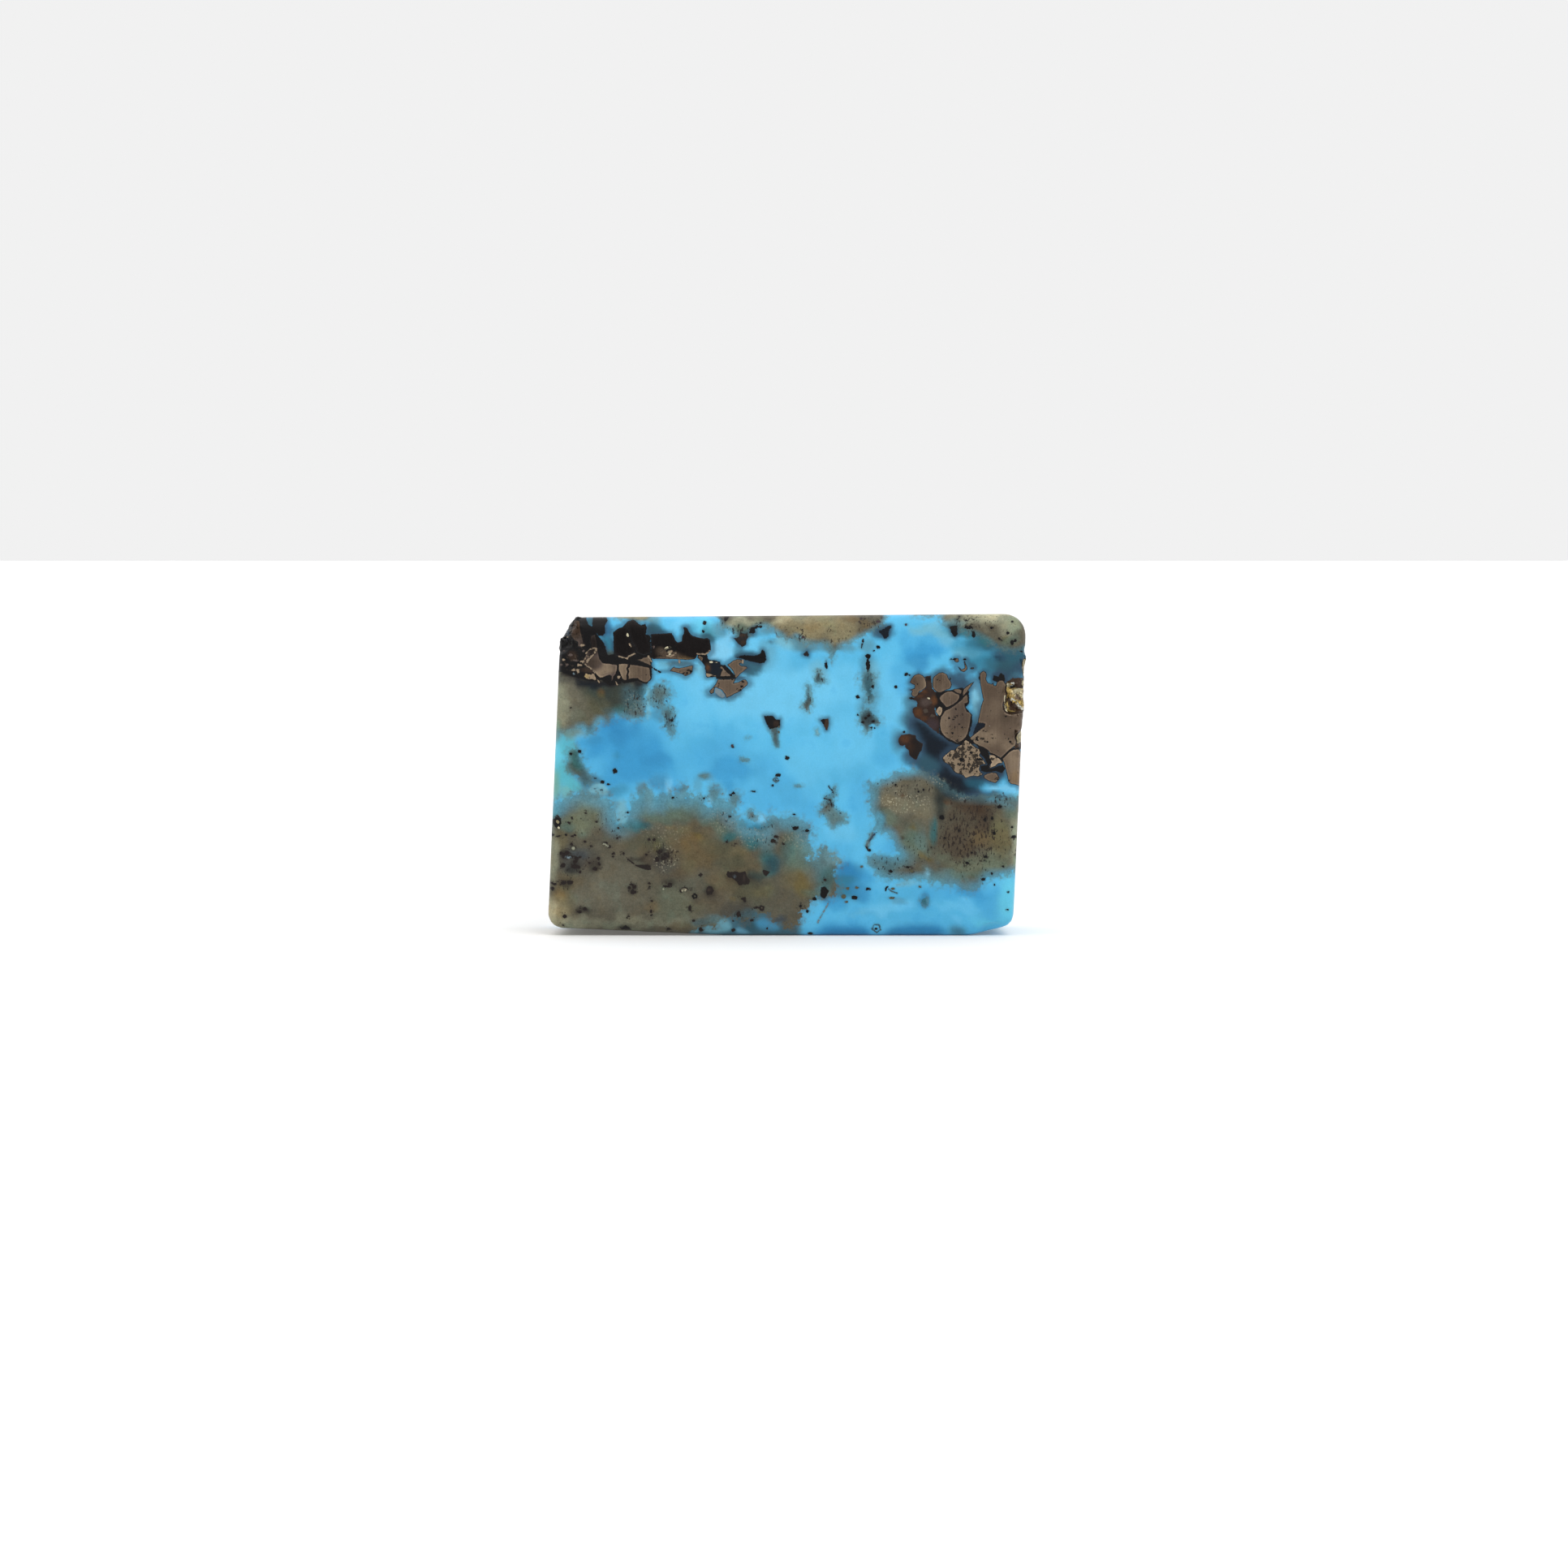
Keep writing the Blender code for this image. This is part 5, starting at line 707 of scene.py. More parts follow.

# strokes on the pyrite; the soot stroke is a painted dark reflection, and the cream strokes are painted
# glints
pyriteDabs = [
    ("pale", -11.3, 16.35, 1.1, 0.4, 0.85), ("dim", -11.85, 18.1, 0.4, 0.6, 0.9),
    ("bronze", -11.7, 17, 0.3, 0.3, 0.6), ("pale", -10, 16.3, 0.4, 0.6, 0.7),
    ("pale", -9.5, 16.3, 0.3, 0.4, 0.4), ("umber", -13, 19, 0.35, 0.5, 0.7),
    ("mauve", -12.8, 18.1, 0.35, 0.4, 0.8), ("gold", -12.3, 16.05, 0.2, 0.15, 0.5),
    ("bronze", -6.6, 17.2, 1.3, 0.3, 0.85), ("honey", -6.1, 17.2, 0.5, 0.15, 0.25),
    ("bronze", -7.7, 17.12, 0.6, 0.1, 0.6), ("pale", -6.2, 17.1, 0.9, 0.07, 0.8),
    ("umber", 7.7, 15.7, 0.25, 0.5, 0.4), ("pale", 8.45, 15.6, 0.15, 0.4, 0.4),
    ("umber", 9.45, 15.9, 0.35, 0.4, 0.3), ("mauve", 10.2, 13.6, 0.9, 0.9, 0.4),
    ("pale", 9.7, 13.1, 0.4, 1, 0.4), ("dim", 10.9, 13.6, 0.4, 0.7, 0.25),
    ("umber", 12.3, 15.5, 0.6, 0.7, 0.2), ("pale", 12.3, 12.3, 1.1, 0.6, 0.55),
    ("dim", 13.9, 13.3, 0.8, 0.5, 0.25), ("pale", 12.8, 14, 0.4, 0.7, 0.2),
    ("pale", 14, 10.6, 0.5, 0.9, 0.5), ("honey", 14.1, 9.9, 0.4, 0.4, 0.3),
    ("creamHighlight", 14.3, 15.1, 0.45, 0.3, 0.75), ("dim", -12.2, 16.9, 0.7, 0.5, 0.8),
    ("pale", 13.8, 11.8, 0.6, 0.4, 0.5), ("creamHighlight", 13.6, 15.5, 0.15, 0.15, 0.6),
    ("umber", -5.3, 17.15, 0.08, 0.1, 0.5), ("honey", 13.7, 15, 0.3, 0.12, 0.3),
    ("creamHighlight", 14.45, 12.3, 0.15, 0.3, 0.5), ("dim", -4.6, 15.1, 0.2, 0.15, 0.3),
    ("soot", -12.05, 18.2, 0.55, 0.75, 0.85),
]

# places with strong grinding lines, with pores, with dark pepper, and with pale crystal specks and painted
# glints:
# x, z, half width, half height, strength
hatchPlaces = [
    (8.15, 15.6, 0.7, 0.8, 0.8), (9.5, 15.6, 0.7, 0.8, 1), (10, 14.6, 0.8, 0.6, 1),
    (10.4, 13.2, 1, 1.2, 0.4), (-6.6, 17.3, 2.2, 0.35, 1), (-9.2, 16.2, 1.2, 0.7, 0.7),
    (-11.3, 16.4, 1, 0.5, 0.6), (-3.3, 16.4, 0.9, 0.9, 0.6), (-3.5, 15.3, 0.9, 0.6, 0.6),
    (12.6, 14.6, 1, 1.4, 0.25), (-6.5, 16.4, 0.8, 0.4, 0.5),
]
porePlaces = [
    (11, 10.9, 1.5, 1.3, 1), (12.2, 12.1, 1, 0.6, 0.55), (10.5, 12.8, 0.9, 0.9, 0.35),
    (12.8, 10.8, 0.5, 0.4, 0.6), (12.6, 9.8, 0.5, 0.4, 0.4), (-12.2, 16, 0.4, 0.3, 0.3),
    (13.9, 10.4, 0.6, 1, 0.15), (13.8, 12.1, 0.4, 0.3, 0.4),
]
pepperPlaces = [
    (11.3, 6.2, 2.1, 2.4, 1), (13.6, 5.8, 0.9, 1.8, 0.4), (7.4, 9.2, 1.9, 0.7, 0.6),
    (6.3, 4.3, 1.4, 0.7, 0.5), (8.2, 5.2, 1.3, 1.1, 0.45), (-12.9, 4.6, 1.1, 0.9, 0.6),
    (-8.2, 5.6, 0.9, 0.7, 0.5), (-11.5, 7, 2, 0.9, 0.35), (-7.6, 5, 0.8, 0.8, 1),
    (-1.5, 6.2, 1.5, 1.2, 0.35), (13.2, 8.4, 0.9, 0.5, 0.9), (-3.9, 7.2, 0.9, 0.6, 0.4),
    (-3.97, 19.2, 0.3, 0.9, 0.9), (11.5, 19.4, 1.6, 0.5, 0.5), (8.7, 12.2, 0.9, 1, 0.5),
    (-8.8, 9.1, 0.6, 0.5, 0.5), (-2.1, 7.5, 0.4, 0.4, 0.6), (-13.7, 3.5, 0.7, 0.5, 0.6),
    (-7, 3.4, 0.7, 0.4, 0.5), (2.8, 8, 0.8, 1.3, 0.5), (5.1, 14.6, 0.6, 1.8, 0.5), (1.5, 15, 0.5, 1.3, 0.5),
    (1.5, 18.6, 3, 0.7, 0.3), (-7.85, 14.8, 0.7, 0.8, 1), (-7.2, 13.3, 0.5, 0.9, 1),
    (-9.3, 14.4, 0.9, 0.9, 0.8), (0.9, 18.6, 0.4, 0.6, 0.9), (5, 19.3, 0.8, 0.5, 0.9),
    (-2.9, 18.9, 1.2, 0.5, 0.7), (1.9, 16, 0.5, 0.5, 0.7),
]
glintAndCrystalPlaces = [
    (7.3, 8.3, 1.8, 0.9, 0.9), (-7.6, 4.8, 0.9, 1, 0.7), (-7.5, 6.3, 2, 0.9, 0.5), (-4, 7.1, 1.3, 0.8, 0.5),
    (-2.2, 6, 1.2, 0.8, 0.6), (9.5, 9.6, 1, 0.6, 0.6), (0.6, 5.9, 1.2, 0.9, 0.5),
    (-9.4, 14.4, 0.8, 0.8, 0.5), (-13.6, 18.8, 0.25, 0.9, 0.9), (-13.1, 16.9, 0.9, 0.6, 0.35),
    (14.65, 10.5, 0.35, 1.7, 1), (14.7, 16.4, 0.4, 0.9, 1), (14.2, 14.7, 0.8, 1, 1),
    (14.5, 12.3, 0.5, 0.5, 0.8), (-12.9, 18.2, 0.5, 0.6, 0.3), (10.8, 8.5, 0.8, 0.4, 0.5),
]

# small flush marks: colour, then x, z, half width, half height of each. The pale, cream, chalk and rim marks
# are painted glints, and the umber marks are painted shade in the hole of the broken pit
ovalMarks = {
    "jet": [
        (-1.85, 19.07, 0.09, 0.09), (-1.63, 19.07, 0.09, 0.09), (-1.6, 19.3, 0.06, 0.06),
        (-4, 19.55, 0.06, 0.06), (-4.15, 19.75, 0.1, 0.07), (-5.05, 19.32, 0.11, 0.11),
        (-5.13, 18.79, 0.08, 0.08), (-5.75, 19.7, 0.06, 0.06), (7.35, 16.15, 0.11, 0.1),
        (7.55, 16.1, 0.06, 0.05), (6.7, 15.37, 0.08, 0.07), (2.42, 16.68, 0.08, 0.2), (5, 17.27, 0.14, 0.13),
        (5, 16.75, 0.12, 0.34), (5.6, 17.82, 0.1, 0.09), (5.35, 17.6, 0.05, 0.05), (4.35, 14.75, 0.11, 0.1),
        (5.3, 15.4, 0.07, 0.09), (5.05, 13.6, 0.08, 0.06), (4.85, 13.45, 0.07, 0.07),
        (5.3, 13.25, 0.09, 0.06), (4.65, 13.2, 0.06, 0.06), (5.2, 12.9, 0.07, 0.05),
        (5.4, 12.85, 0.05, 0.05), (4.35, 13.65, 0.06, 0.05), (0.02, 11.02, 0.13, 0.11),
        (-10.6, 10.2, 0.14, 0.15), (-0.55, 9.95, 0.12, 0.1), (-0.9, 9.3, 0.06, 0.06),
        (0.45, 7.52, 0.08, 0.06), (0.53, 6.68, 0.16, 0.11), (1.25, 6.52, 0.1, 0.08),
        (-3.48, 8.7, 0.07, 0.05), (-3.3, 8.83, 0.08, 0.06), (-11.35, 9.52, 0.12, 0.08),
        (-10.98, 9.38, 0.08, 0.05), (-11.8, 9.75, 0.07, 0.05), (-12.77, 11.4, 0.1, 0.09),
        (-13.3, 11.25, 0.08, 0.08), (-5.1, 8.52, 0.06, 0.05), (-7.02, 8.56, 0.06, 0.05),
        (-2.05, 8.93, 0.1, 0.04), (-3.5, 7.4, 0.06, 0.05), (-9.8, 7.65, 0.06, 0.06),
        (11.05, 19.48, 0.07, 0.06), (11.4, 19.7, 0.06, 0.05), (11.2, 19.03, 0.2, 0.07),
        (11.5, 18.58, 0.1, 0.2), (12.6, 19, 0.08, 0.07), (13.6, 18.7, 0.09, 0.07),
        (13.07, 18.35, 0.06, 0.06), (13.23, 18.25, 0.06, 0.05), (13.85, 18.1, 0.09, 0.14),
        (14.05, 18.22, 0.07, 0.07), (14.43, 17.55, 0.08, 0.07), (13.9, 19.38, 0.07, 0.06),
        (1.7, 2.3, 0.1, 0.09), (0.85, 1.85, 0.08, 0.07), (1.25, 1.55, 0.12, 0.08), (5, 2.91, 0.12, 0.07),
        (6.4, 4.02, 0.1, 0.08), (5.1, 5.3, 0.11, 0.07), (1.45, 0.12, 0.13, 0.09), (13.66, 2.73, 0.06, 0.06),
        (13.6, 1.63, 0.07, 0.05), (12.8, 3.19, 0.05, 0.05), (12.15, 3.5, 0.1, 0.09),
        (9.54, 7.34, 0.15, 0.14), (14.02, 6.12, 0.13, 0.08), (13.9, 6.74, 0.06, 0.05),
        (13.1, 7.98, 0.16, 0.08), (12.65, 7.28, 0.08, 0.1), (12.2, 7.2, 0.07, 0.12),
        (12.78, 6.38, 0.06, 0.09), (12.22, 4.89, 0.1, 0.08), (12.2, 4.68, 0.05, 0.05),
        (11.12, 4.53, 0.09, 0.07), (11.4, 5.15, 0.06, 0.06), (14.18, 5.27, 0.06, 0.05),
        (14.18, 4.87, 0.06, 0.05), (13.36, 4.3, 0.05, 0.05), (9.75, 6.06, 0.06, 0.06),
        (8.9, 5.48, 0.05, 0.05), (7.44, 4.27, 0.08, 0.06), (12.64, 3.88, 0.06, 0.05),
        (10.1, 7.2, 0.05, 0.05), (11.4, 5.8, 0.05, 0.08), (10.6, 6.5, 0.06, 0.07), (8.1, 8.93, 0.06, 0.05),
        (8.43, 9.03, 0.05, 0.07), (6.7, 9.35, 0.05, 0.05), (14.3, 5.53, 0.05, 0.06),
        (-14.48, 6.23, 0.11, 0.09), (-13.61, 6.26, 0.07, 0.06), (13.85, 15.38, 0.15, 0.11),
        (13.68, 14.58, 0.08, 0.1), (14.25, 14.2, 0.12, 0.05), (-3.38, 15.86, 0.05, 0.04),
        (-2.71, 15.69, 0.08, 0.05), (-2.79, 15.4, 0.08, 0.05), (-2.9, 15.18, 0.07, 0.05),
        (10.3, 17.09, 0.07, 0.05), (10.95, 17.07, 0.07, 0.05), (10.1, 17.1, 0.06, 0.05),
        (-7.15, 17.62, 0.3, 0.14), (-7, 17.72, 0.2, 0.16), (-3.35, 11.7, 0.09, 0.05),
        (-0.68, 9.62, 0.05, 0.05), (5.5, 0.45, 0.07, 0.06), (10.05, 15.9, 0.05, 0.06),
        (7.2, 12.62, 0.07, 0.06), (7.65, 14.68, 0.1, 0.06), (12.95, 15.85, 0.1, 0.07),
        (-7.08, 13.3, 0.07, 0.06), (9.98, 13.45, 0.05, 0.05), (10.2, 12.55, 0.06, 0.06),
        (10.4, 14.02, 0.06, 0.06), (12.35, 12, 0.08, 0.05), (11.7, 12.15, 0.05, 0.07),
        (13.75, 12, 0.06, 0.06), (10.7, 10.9, 0.14, 0.08), (11.85, 10.93, 0.13, 0.08),
        (11.35, 11.35, 0.07, 0.05), (-11, 16.02, 0.05, 0.03), (4.18, 2.38, 0.18, 0.12),
    ],
    "coffee": [
        (-14.1, 6.17, 0.1, 0.05), (-13.2, 6.18, 0.07, 0.05), (-13.07, 6.24, 0.05, 0.05),
        (-12.45, 5.84, 0.08, 0.06), (-12.06, 5.57, 0.08, 0.06), (-11.2, 5.77, 0.13, 0.07),
        (-10.97, 5.54, 0.1, 0.09), (-10.45, 6.04, 0.07, 0.06), (-10.38, 6.68, 0.09, 0.05),
        (-13.16, 5.45, 0.14, 0.12), (-13.28, 5.68, 0.07, 0.06), (-13.9, 5.1, 0.1, 0.1),
        (-13.75, 4.95, 0.13, 0.12), (-13.55, 5.15, 0.12, 0.12), (-13.27, 4.89, 0.1, 0.09),
        (-12.98, 4.8, 0.13, 0.11), (-12.76, 4.9, 0.07, 0.06), (-13.07, 4.6, 0.11, 0.08),
        (-13.8, 4.38, 0.13, 0.12), (-13.07, 4.31, 0.19, 0.14), (-12.85, 4.26, 0.12, 0.1),
        (-13.56, 4.07, 0.05, 0.05), (-12.76, 3.98, 0.09, 0.08), (-11.61, 4.8, 0.1, 0.09),
        (-12.15, 4.52, 0.07, 0.06), (-11.86, 4.17, 0.14, 0.1), (-11.57, 4.44, 0.07, 0.1),
        (-10.72, 5.09, 0.06, 0.05), (-10.72, 4.92, 0.06, 0.06), (-10.06, 5.12, 0.06, 0.05),
        (-8.67, 5.03, 0.09, 0.07), (-8.5, 5.96, 0.07, 0.06), (-8.18, 5.96, 0.1, 0.08),
        (-13.4, 3.32, 0.16, 0.13), (-13.8, 3.28, 0.18, 0.08), (-13.97, 3.18, 0.06, 0.05),
        (-14.32, 3.2, 0.11, 0.07), (-14.53, 3.28, 0.08, 0.05), (-14.48, 2.94, 0.11, 0.08),
        (-9.72, 3, 0.1, 0.1), (-9.4, 3.05, 0.12, 0.12), (-9.55, 3.18, 0.12, 0.06), (-9.52, 2.75, 0.12, 0.14),
        (-9.35, 2.72, 0.07, 0.07), (-8.5, 3.25, 0.08, 0.07), (-8.47, 3.06, 0.05, 0.04),
        (-8.32, 2.18, 0.07, 0.05), (-8.38, 1.53, 0.06, 0.1), (-8.34, 1.3, 0.06, 0.05),
        (-13.7, 1.21, 0.14, 0.11), (-13.81, 0.66, 0.08, 0.05), (-12.8, 1.5, 0.14, 0.08),
        (-12.45, 1.68, 0.16, 0.09), (-9.77, 1.22, 0.06, 0.05), (-9.86, 1.13, 0.05, 0.04),
        (-7.85, 5.2, 0.12, 0.12), (-7.62, 4.82, 0.13, 0.15), (-7.5, 5.05, 0.1, 0.08),
        (-7.35, 4.92, 0.1, 0.08), (-8, 4.75, 0.1, 0.14), (-3.69, 5.82, 0.06, 0.05),
        (-3.15, 5.71, 0.07, 0.05), (-7.4, 3.08, 0.2, 0.07), (-7.2, 3.2, 0.12, 0.08),
        (-6.52, 2.78, 0.08, 0.1), (-6.15, 2.9, 0.08, 0.08), (-6.33, 2.97, 0.12, 0.04),
        (-5.98, 1.73, 0.08, 0.13), (-5.76, 0.95, 0.08, 0.08), (-7.3, 0.44, 0.1, 0.06),
        (-5.33, 0.4, 0.1, 0.12), (-3.31, 0.38, 0.11, 0.1), (-3.3, 0.93, 0.05, 0.04), (-3, 1.37, 0.1, 0.16),
        (-2.15, 0.97, 0.13, 0.07), (-1.9, 1.77, 0.13, 0.07), (-1.23, 0.48, 0.05, 0.05),
        (-2.7, 2.3, 0.12, 0.07), (-2.6, 2.18, 0.09, 0.08), (-0.85, 5.88, 0.14, 0.11),
        (-0.7, 6.15, 0.1, 0.07), (-0.2, 5.7, 0.07, 0.05), (2.35, 3.48, 0.09, 0.06),
        (-13.41, 6.98, 0.06, 0.05), (-11.75, 7.08, 0.06, 0.05), (-13.25, 7.32, 0.05, 0.05),
        (-12.38, 7.6, 0.05, 0.05), (-13.3, 14.1, 0.05, 0.05),
    ],
    "dim": [
        (8.55, 13.92, 0.14, 0.12), (8.97, 13.62, 0.12, 0.07), (8.88, 14.42, 0.07, 0.03),
    ],
    "olive": [
        (3.5, 2.45, 0.14, 0.1), (3.65, 2.12, 0.08, 0.06), (3.75, 2.95, 0.08, 0.06), (4.3, 3, 0.1, 0.07),
        (6.55, 2.92, 0.1, 0.07), (6.45, 2.35, 0.14, 0.06), (8.2, 3.05, 0.08, 0.07), (4.6, 4.3, 0.07, 0.06),
        (-0.48, 12.9, 0.05, 0.07), (-0.5, 12.6, 0.05, 0.05), (14.1, 5, 0.08, 0.06), (7.7, 4.02, 0.08, 0.08),
    ],
    "umber": [
        (13.78, 14.42, 0.15, 0.2), (13.98, 14.15, 0.28, 0.24), (14.3, 13.97, 0.26, 0.14),
    ],
    "pale": [
        (-13.75, 17.05, 0.07, 0.06), (-12.8, 16.72, 0.13, 0.07), (-12.85, 16.35, 0.06, 0.11),
        (-13.12, 16.42, 0.09, 0.06), (-12.62, 16.95, 0.1, 0.05), (-13.38, 19.15, 0.04, 0.2),
        (-13.55, 18.45, 0.08, 0.06), (-13.66, 18.95, 0.04, 0.08), (-10.33, 15.98, 0.09, 0.08),
        (-12.6, 17.95, 0.1, 0.05), (-2.72, 16.95, 0.05, 0.08), (-6.62, 16.97, 0.03, 0.09),
        (-8.5, 17.25, 0.05, 0.04),
    ],
    "mauve": [
        (-13.32, 17.35, 0.12, 0.08), (-13.75, 17.6, 0.05, 0.05), (-13.9, 16.75, 0.06, 0.05),
        (-12.5, 17.6, 0.06, 0.04), (-8.2, 17.85, 0.06, 0.05), (-13.5, 16.75, 0.09, 0.05),
        (-13, 17, 0.1, 0.04),
    ],
    "steel": [
        (-13.48, 4.85, 0.1, 0.07), (-13.1, 16.2, 0.05, 0.04),
    ],
    "creamHighlight": [
        (-6.38, 2.82, 0.03, 0.025), (-6.27, 2.83, 0.03, 0.025), (8.72, 14.68, 0.07, 0.05),
        (-4.65, 16.9, 0.06, 0.03), (-4.37, 16.88, 0.05, 0.02), (-7.22, 17.4, 0.05, 0.08),
        (14.25, 15.15, 0.2, 0.11), (14.1, 14.97, 0.2, 0.06), (14.55, 14.75, 0.1, 0.14),
        (-14.05, 6.72, 0.06, 0.05), (-5.7, 2.48, 0.04, 0.03), (-1.57, 1.72, 0.04, 0.04),
        (13.6, 15.5, 0.07, 0.1),
    ],
    "rimLight": [
        (-13.16, 5.43, 0.04, 0.04), (-7.6, 2.9, 0.05, 0.045),
    ],
    "chalkGlint": [
        (-13.57, 18.75, 0.07, 0.07), (-13.42, 18.62, 0.05, 0.04), (-13.22, 19.3, 0.02, 0.16),
        (14.55, 9.45, 0.1, 0.12), (14.62, 11.75, 0.06, 0.08), (-11.75, 19.66, 0.07, 0.03),
        (-11.52, 19.68, 0.1, 0.04), (-11.33, 19.63, 0.05, 0.04), (13.9, 15.6, 0.09, 0.05),
        (12.45, 12.95, 0.03, 0.03),
    ],
    "plum": [
        (-3.35, 11.78, 0.07, 0.06), (5.6, 19.4, 0.12, 0.08), (5.2, 19.7, 0.08, 0.06),
        (4.6, 19.6, 0.08, 0.07), (1, 18.45, 0.08, 0.07), (5.85, 19.65, 0.1, 0.06), (7.35, 19.2, 0.08, 0.06),
    ],
}

# lines: colour, width, points. The pale, cream, chalk and rim lines are painted highlights along crystal
# edges and in the broken pit; the umber line and the thin jet line beside the chalk ones there are painted
# shade
lineMarks = [
    ("jet", 0.05, [(11.1, 12.1), (11.6, 11.85), (12.1, 11.6), (12.4, 11.3), (12.8, 11.2), (13.1, 10.98),
        (13.3, 10.75)]),
    ("jet", 0.04, [(11.2, 12.25), (11.5, 11.8)]),
    ("jet", 0.05, [(13.2, 10.95), (13.7, 11.42), (13.95, 11.58), (14.3, 11.6), (14.6, 11.8)]),
    ("jet", 0.05, [(9.6, 14), (10.3, 14.3), (10.75, 14.7), (11.2, 15.1)]),
    ("jet", 0.06, [(-8.4, 16.65), (-8.1, 16.45), (-7.8, 16.3)]),
    ("jet", 0.05, [(-8.43, 18.6), (-8.4, 17.9), (-8.37, 17.1)]),
    ("jet", 0.05, [(-6.42, 16.2), (-6.2, 16.3), (-6.05, 16.26), (-6.2, 16.14)]),
    ("jet", 0.05, [(-6.15, 16.38), (-6, 16.42), (-5.86, 16.36), (-5.95, 16.28)]),
    ("jet", 0.05, [(-11.72, 17.72), (-12, 17.45), (-12.2, 17.2)]),
    ("pale", 0.035, [(-12.35, 17.45), (-12.1, 17.7), (-11.75, 17.8), (-11.7, 17.62), (-12.05, 17.2),
        (-12.3, 16.88)]),
    ("pale", 0.035, [(-12.42, 17.1), (-12.3, 17.32), (-12.18, 17.15), (-12.3, 17)]),
    ("pale", 0.04, [(-12.55, 16.9), (-12.3, 16.68), (-12, 16.48), (-11.8, 16.25)]),
    ("pale", 0.035, [(-10.35, 17.27), (-10, 17.17), (-9.75, 17.08)]),
    ("pale", 0.035, [(-9.85, 17.13), (-9.65, 17.3), (-9.35, 17.42)]),
    ("pale", 0.05, [(-10.52, 15.7), (-10.42, 15.52)]),
    ("pale", 0.04, [(-4.72, 17.62), (-4.9, 17.45), (-5.05, 17.38), (-5.3, 17.42), (-5.5, 17.42)]),
    ("pale", 0.035, [(-7.4, 17.3), (-7.15, 17.27), (-6.95, 17.35), (-6.83, 17.47)]),
    ("pale", 0.03, [(-7.25, 17.47), (-7.1, 17.57)]),
    ("creamHighlight", 0.03, [(-7.57, 17.68), (-7.4, 17.81), (-7.22, 17.86)]),
    ("dim", 0.04, [(-7.9, 17.5), (-7.7, 17.58), (-7.57, 17.68)]),
    ("creamHighlight", 0.05, [(-9.84, 18.68), (-9.77, 18.46)]), ("pale", 0.03, [(-9.7, 18.05), (-9.6, 17.85)]),
    ("pale", 0.03, [(-8.33, 16.95), (-8.5, 17.2)]),
    ("chalkGlint", 0.13, [(13.9, 14.62), (14.15, 14.48), (14.42, 14.15), (14.66, 13.95)]),
    ("chalkGlint", 0.06, [(14.05, 14.67), (14.4, 14.53), (14.65, 14.35)]),
    ("jet", 0.04, [(14.2, 14.62), (14.5, 14.42), (14.68, 14.2)]),
    ("creamHighlight", 0.045, [(13.43, 14.85), (13.4, 14.5), (13.42, 14.15), (13.55, 13.88)]),
    ("umber", 0.04, [(13.5, 14.75), (13.48, 14.4), (13.52, 14.1)]),
    ("steel", 0.05, [(2.55, 2), (2.2, 1.4), (1.9, 0.85)]),
    ("jet", 0.07, [(6.1, 2.85), (6.1, 2.98), (6.22, 3.05)]),
    ("smoke", 0.06, [(6.3, 2.9), (6.5, 2.75), (6.8, 2.65)]),
    ("jet", 0.08, [(-5.82, 2.47), (-5.7, 2.6), (-5.55, 2.5), (-5.6, 2.36), (-5.75, 2.35), (-5.82, 2.47)]),
    ("coffee", 0.07, [(-1.68, 1.72), (-1.6, 1.87), (-1.45, 1.8), (-1.46, 1.68), (-1.58, 1.6),
        (-1.68, 1.72)]),
    ("coffee", 0.05, [(-9.8, 4.78), (-9.6, 4.6), (-9.38, 4.45)]),
    ("rimLight", 0.02, [(-11.36, 5.69), (-11.2, 5.66), (-11.05, 5.57)]),
    ("smoke", 0.05, [(5.25, 0.45), (5.4, 0.72), (5.7, 0.68), (5.78, 0.4), (5.55, 0.2), (5.25, 0.45)]),
    ("smoke", 0.04, [(-0.85, 9.65), (-0.68, 9.82), (-0.5, 9.65), (-0.65, 9.5), (-0.85, 9.65)]),
    ("soot", 0.05, [(2.6, 9.25), (2.85, 8.9), (2.6, 8.7)]),
    ("soot", 0.05, [(2.3, 8.5), (2.7, 8.4), (2.75, 8.1)]), ("soot", 0.06, [(4.85, 5.55), (5, 5.35)]),
    ("slate", 0.07, [(5.1, 5.9), (5.3, 6.2), (5.5, 6.4)]), ("smoke", 0.04, [(-11.85, 9.1), (-11.68, 9.17)]),
    ("smoke", 0.06, [(-11.45, 9.02), (-11.38, 9.06)]), ("soot", 0.06, [(4.6, 17.8), (4.7, 18.3)]),
    ("coffee", 0.05, [(-14.3, 7.35), (-14.15, 7.45), (-14, 7.25)]),
    ("smoke", 0.05, [(13, 8.6), (13.15, 8.7), (13.25, 8.6), (13.1, 8.52)]),
    ("smoke", 0.05, [(13.3, 8.85), (13.4, 8.65), (13.5, 8.6)]),
]

stoneSettings = {
    "voxel": 0.22,          # mm between the points of the mesh
    "smoothing": 2,         # rounds that take the steps out of the slanted faces
    "ground": -4.0,         # y of the ground face, mm
    "fineDepth": 1.6,       # mm behind the ground face that get a finer mesh
    "coarseBand": 0.24,     # mm beside a drawn edge with a mesh twice as fine
    "fineBand": 0.09,       # and four times as fine
    "facing": -0.3,         # y of the normal under which a face is one of the front
    "reach": 1.2,           # share of a broken place's size that gets the finer mesh
    "facet": 0.42,          # mm across a facet of the broken crystals
    "facetHeight": 0.15,    # mm that the facets step up and down
    "facetTilt": 0.55,
    "facetFrom": (0.04, 0.2),       # mm behind the ground face over which the facets begin
    "facetTo": (2.6, 1.8),          # and end
    "facetMoves": (-0.3, 0.14),     # mm that a point may sink or rise
}

# where crystals have broken out of the front rims: x, z, half width, half height
brokenPlaces = [
    (14.1, 14.6, 1.1, 1.25), (14.4, 12.4, 0.6, 0.7), (14.8, 16.9, 0.5, 0.9), (-13.8, 18.3, 0.6, 0.8),
    (-13.3, 19.3, 0.6, 0.7),
]


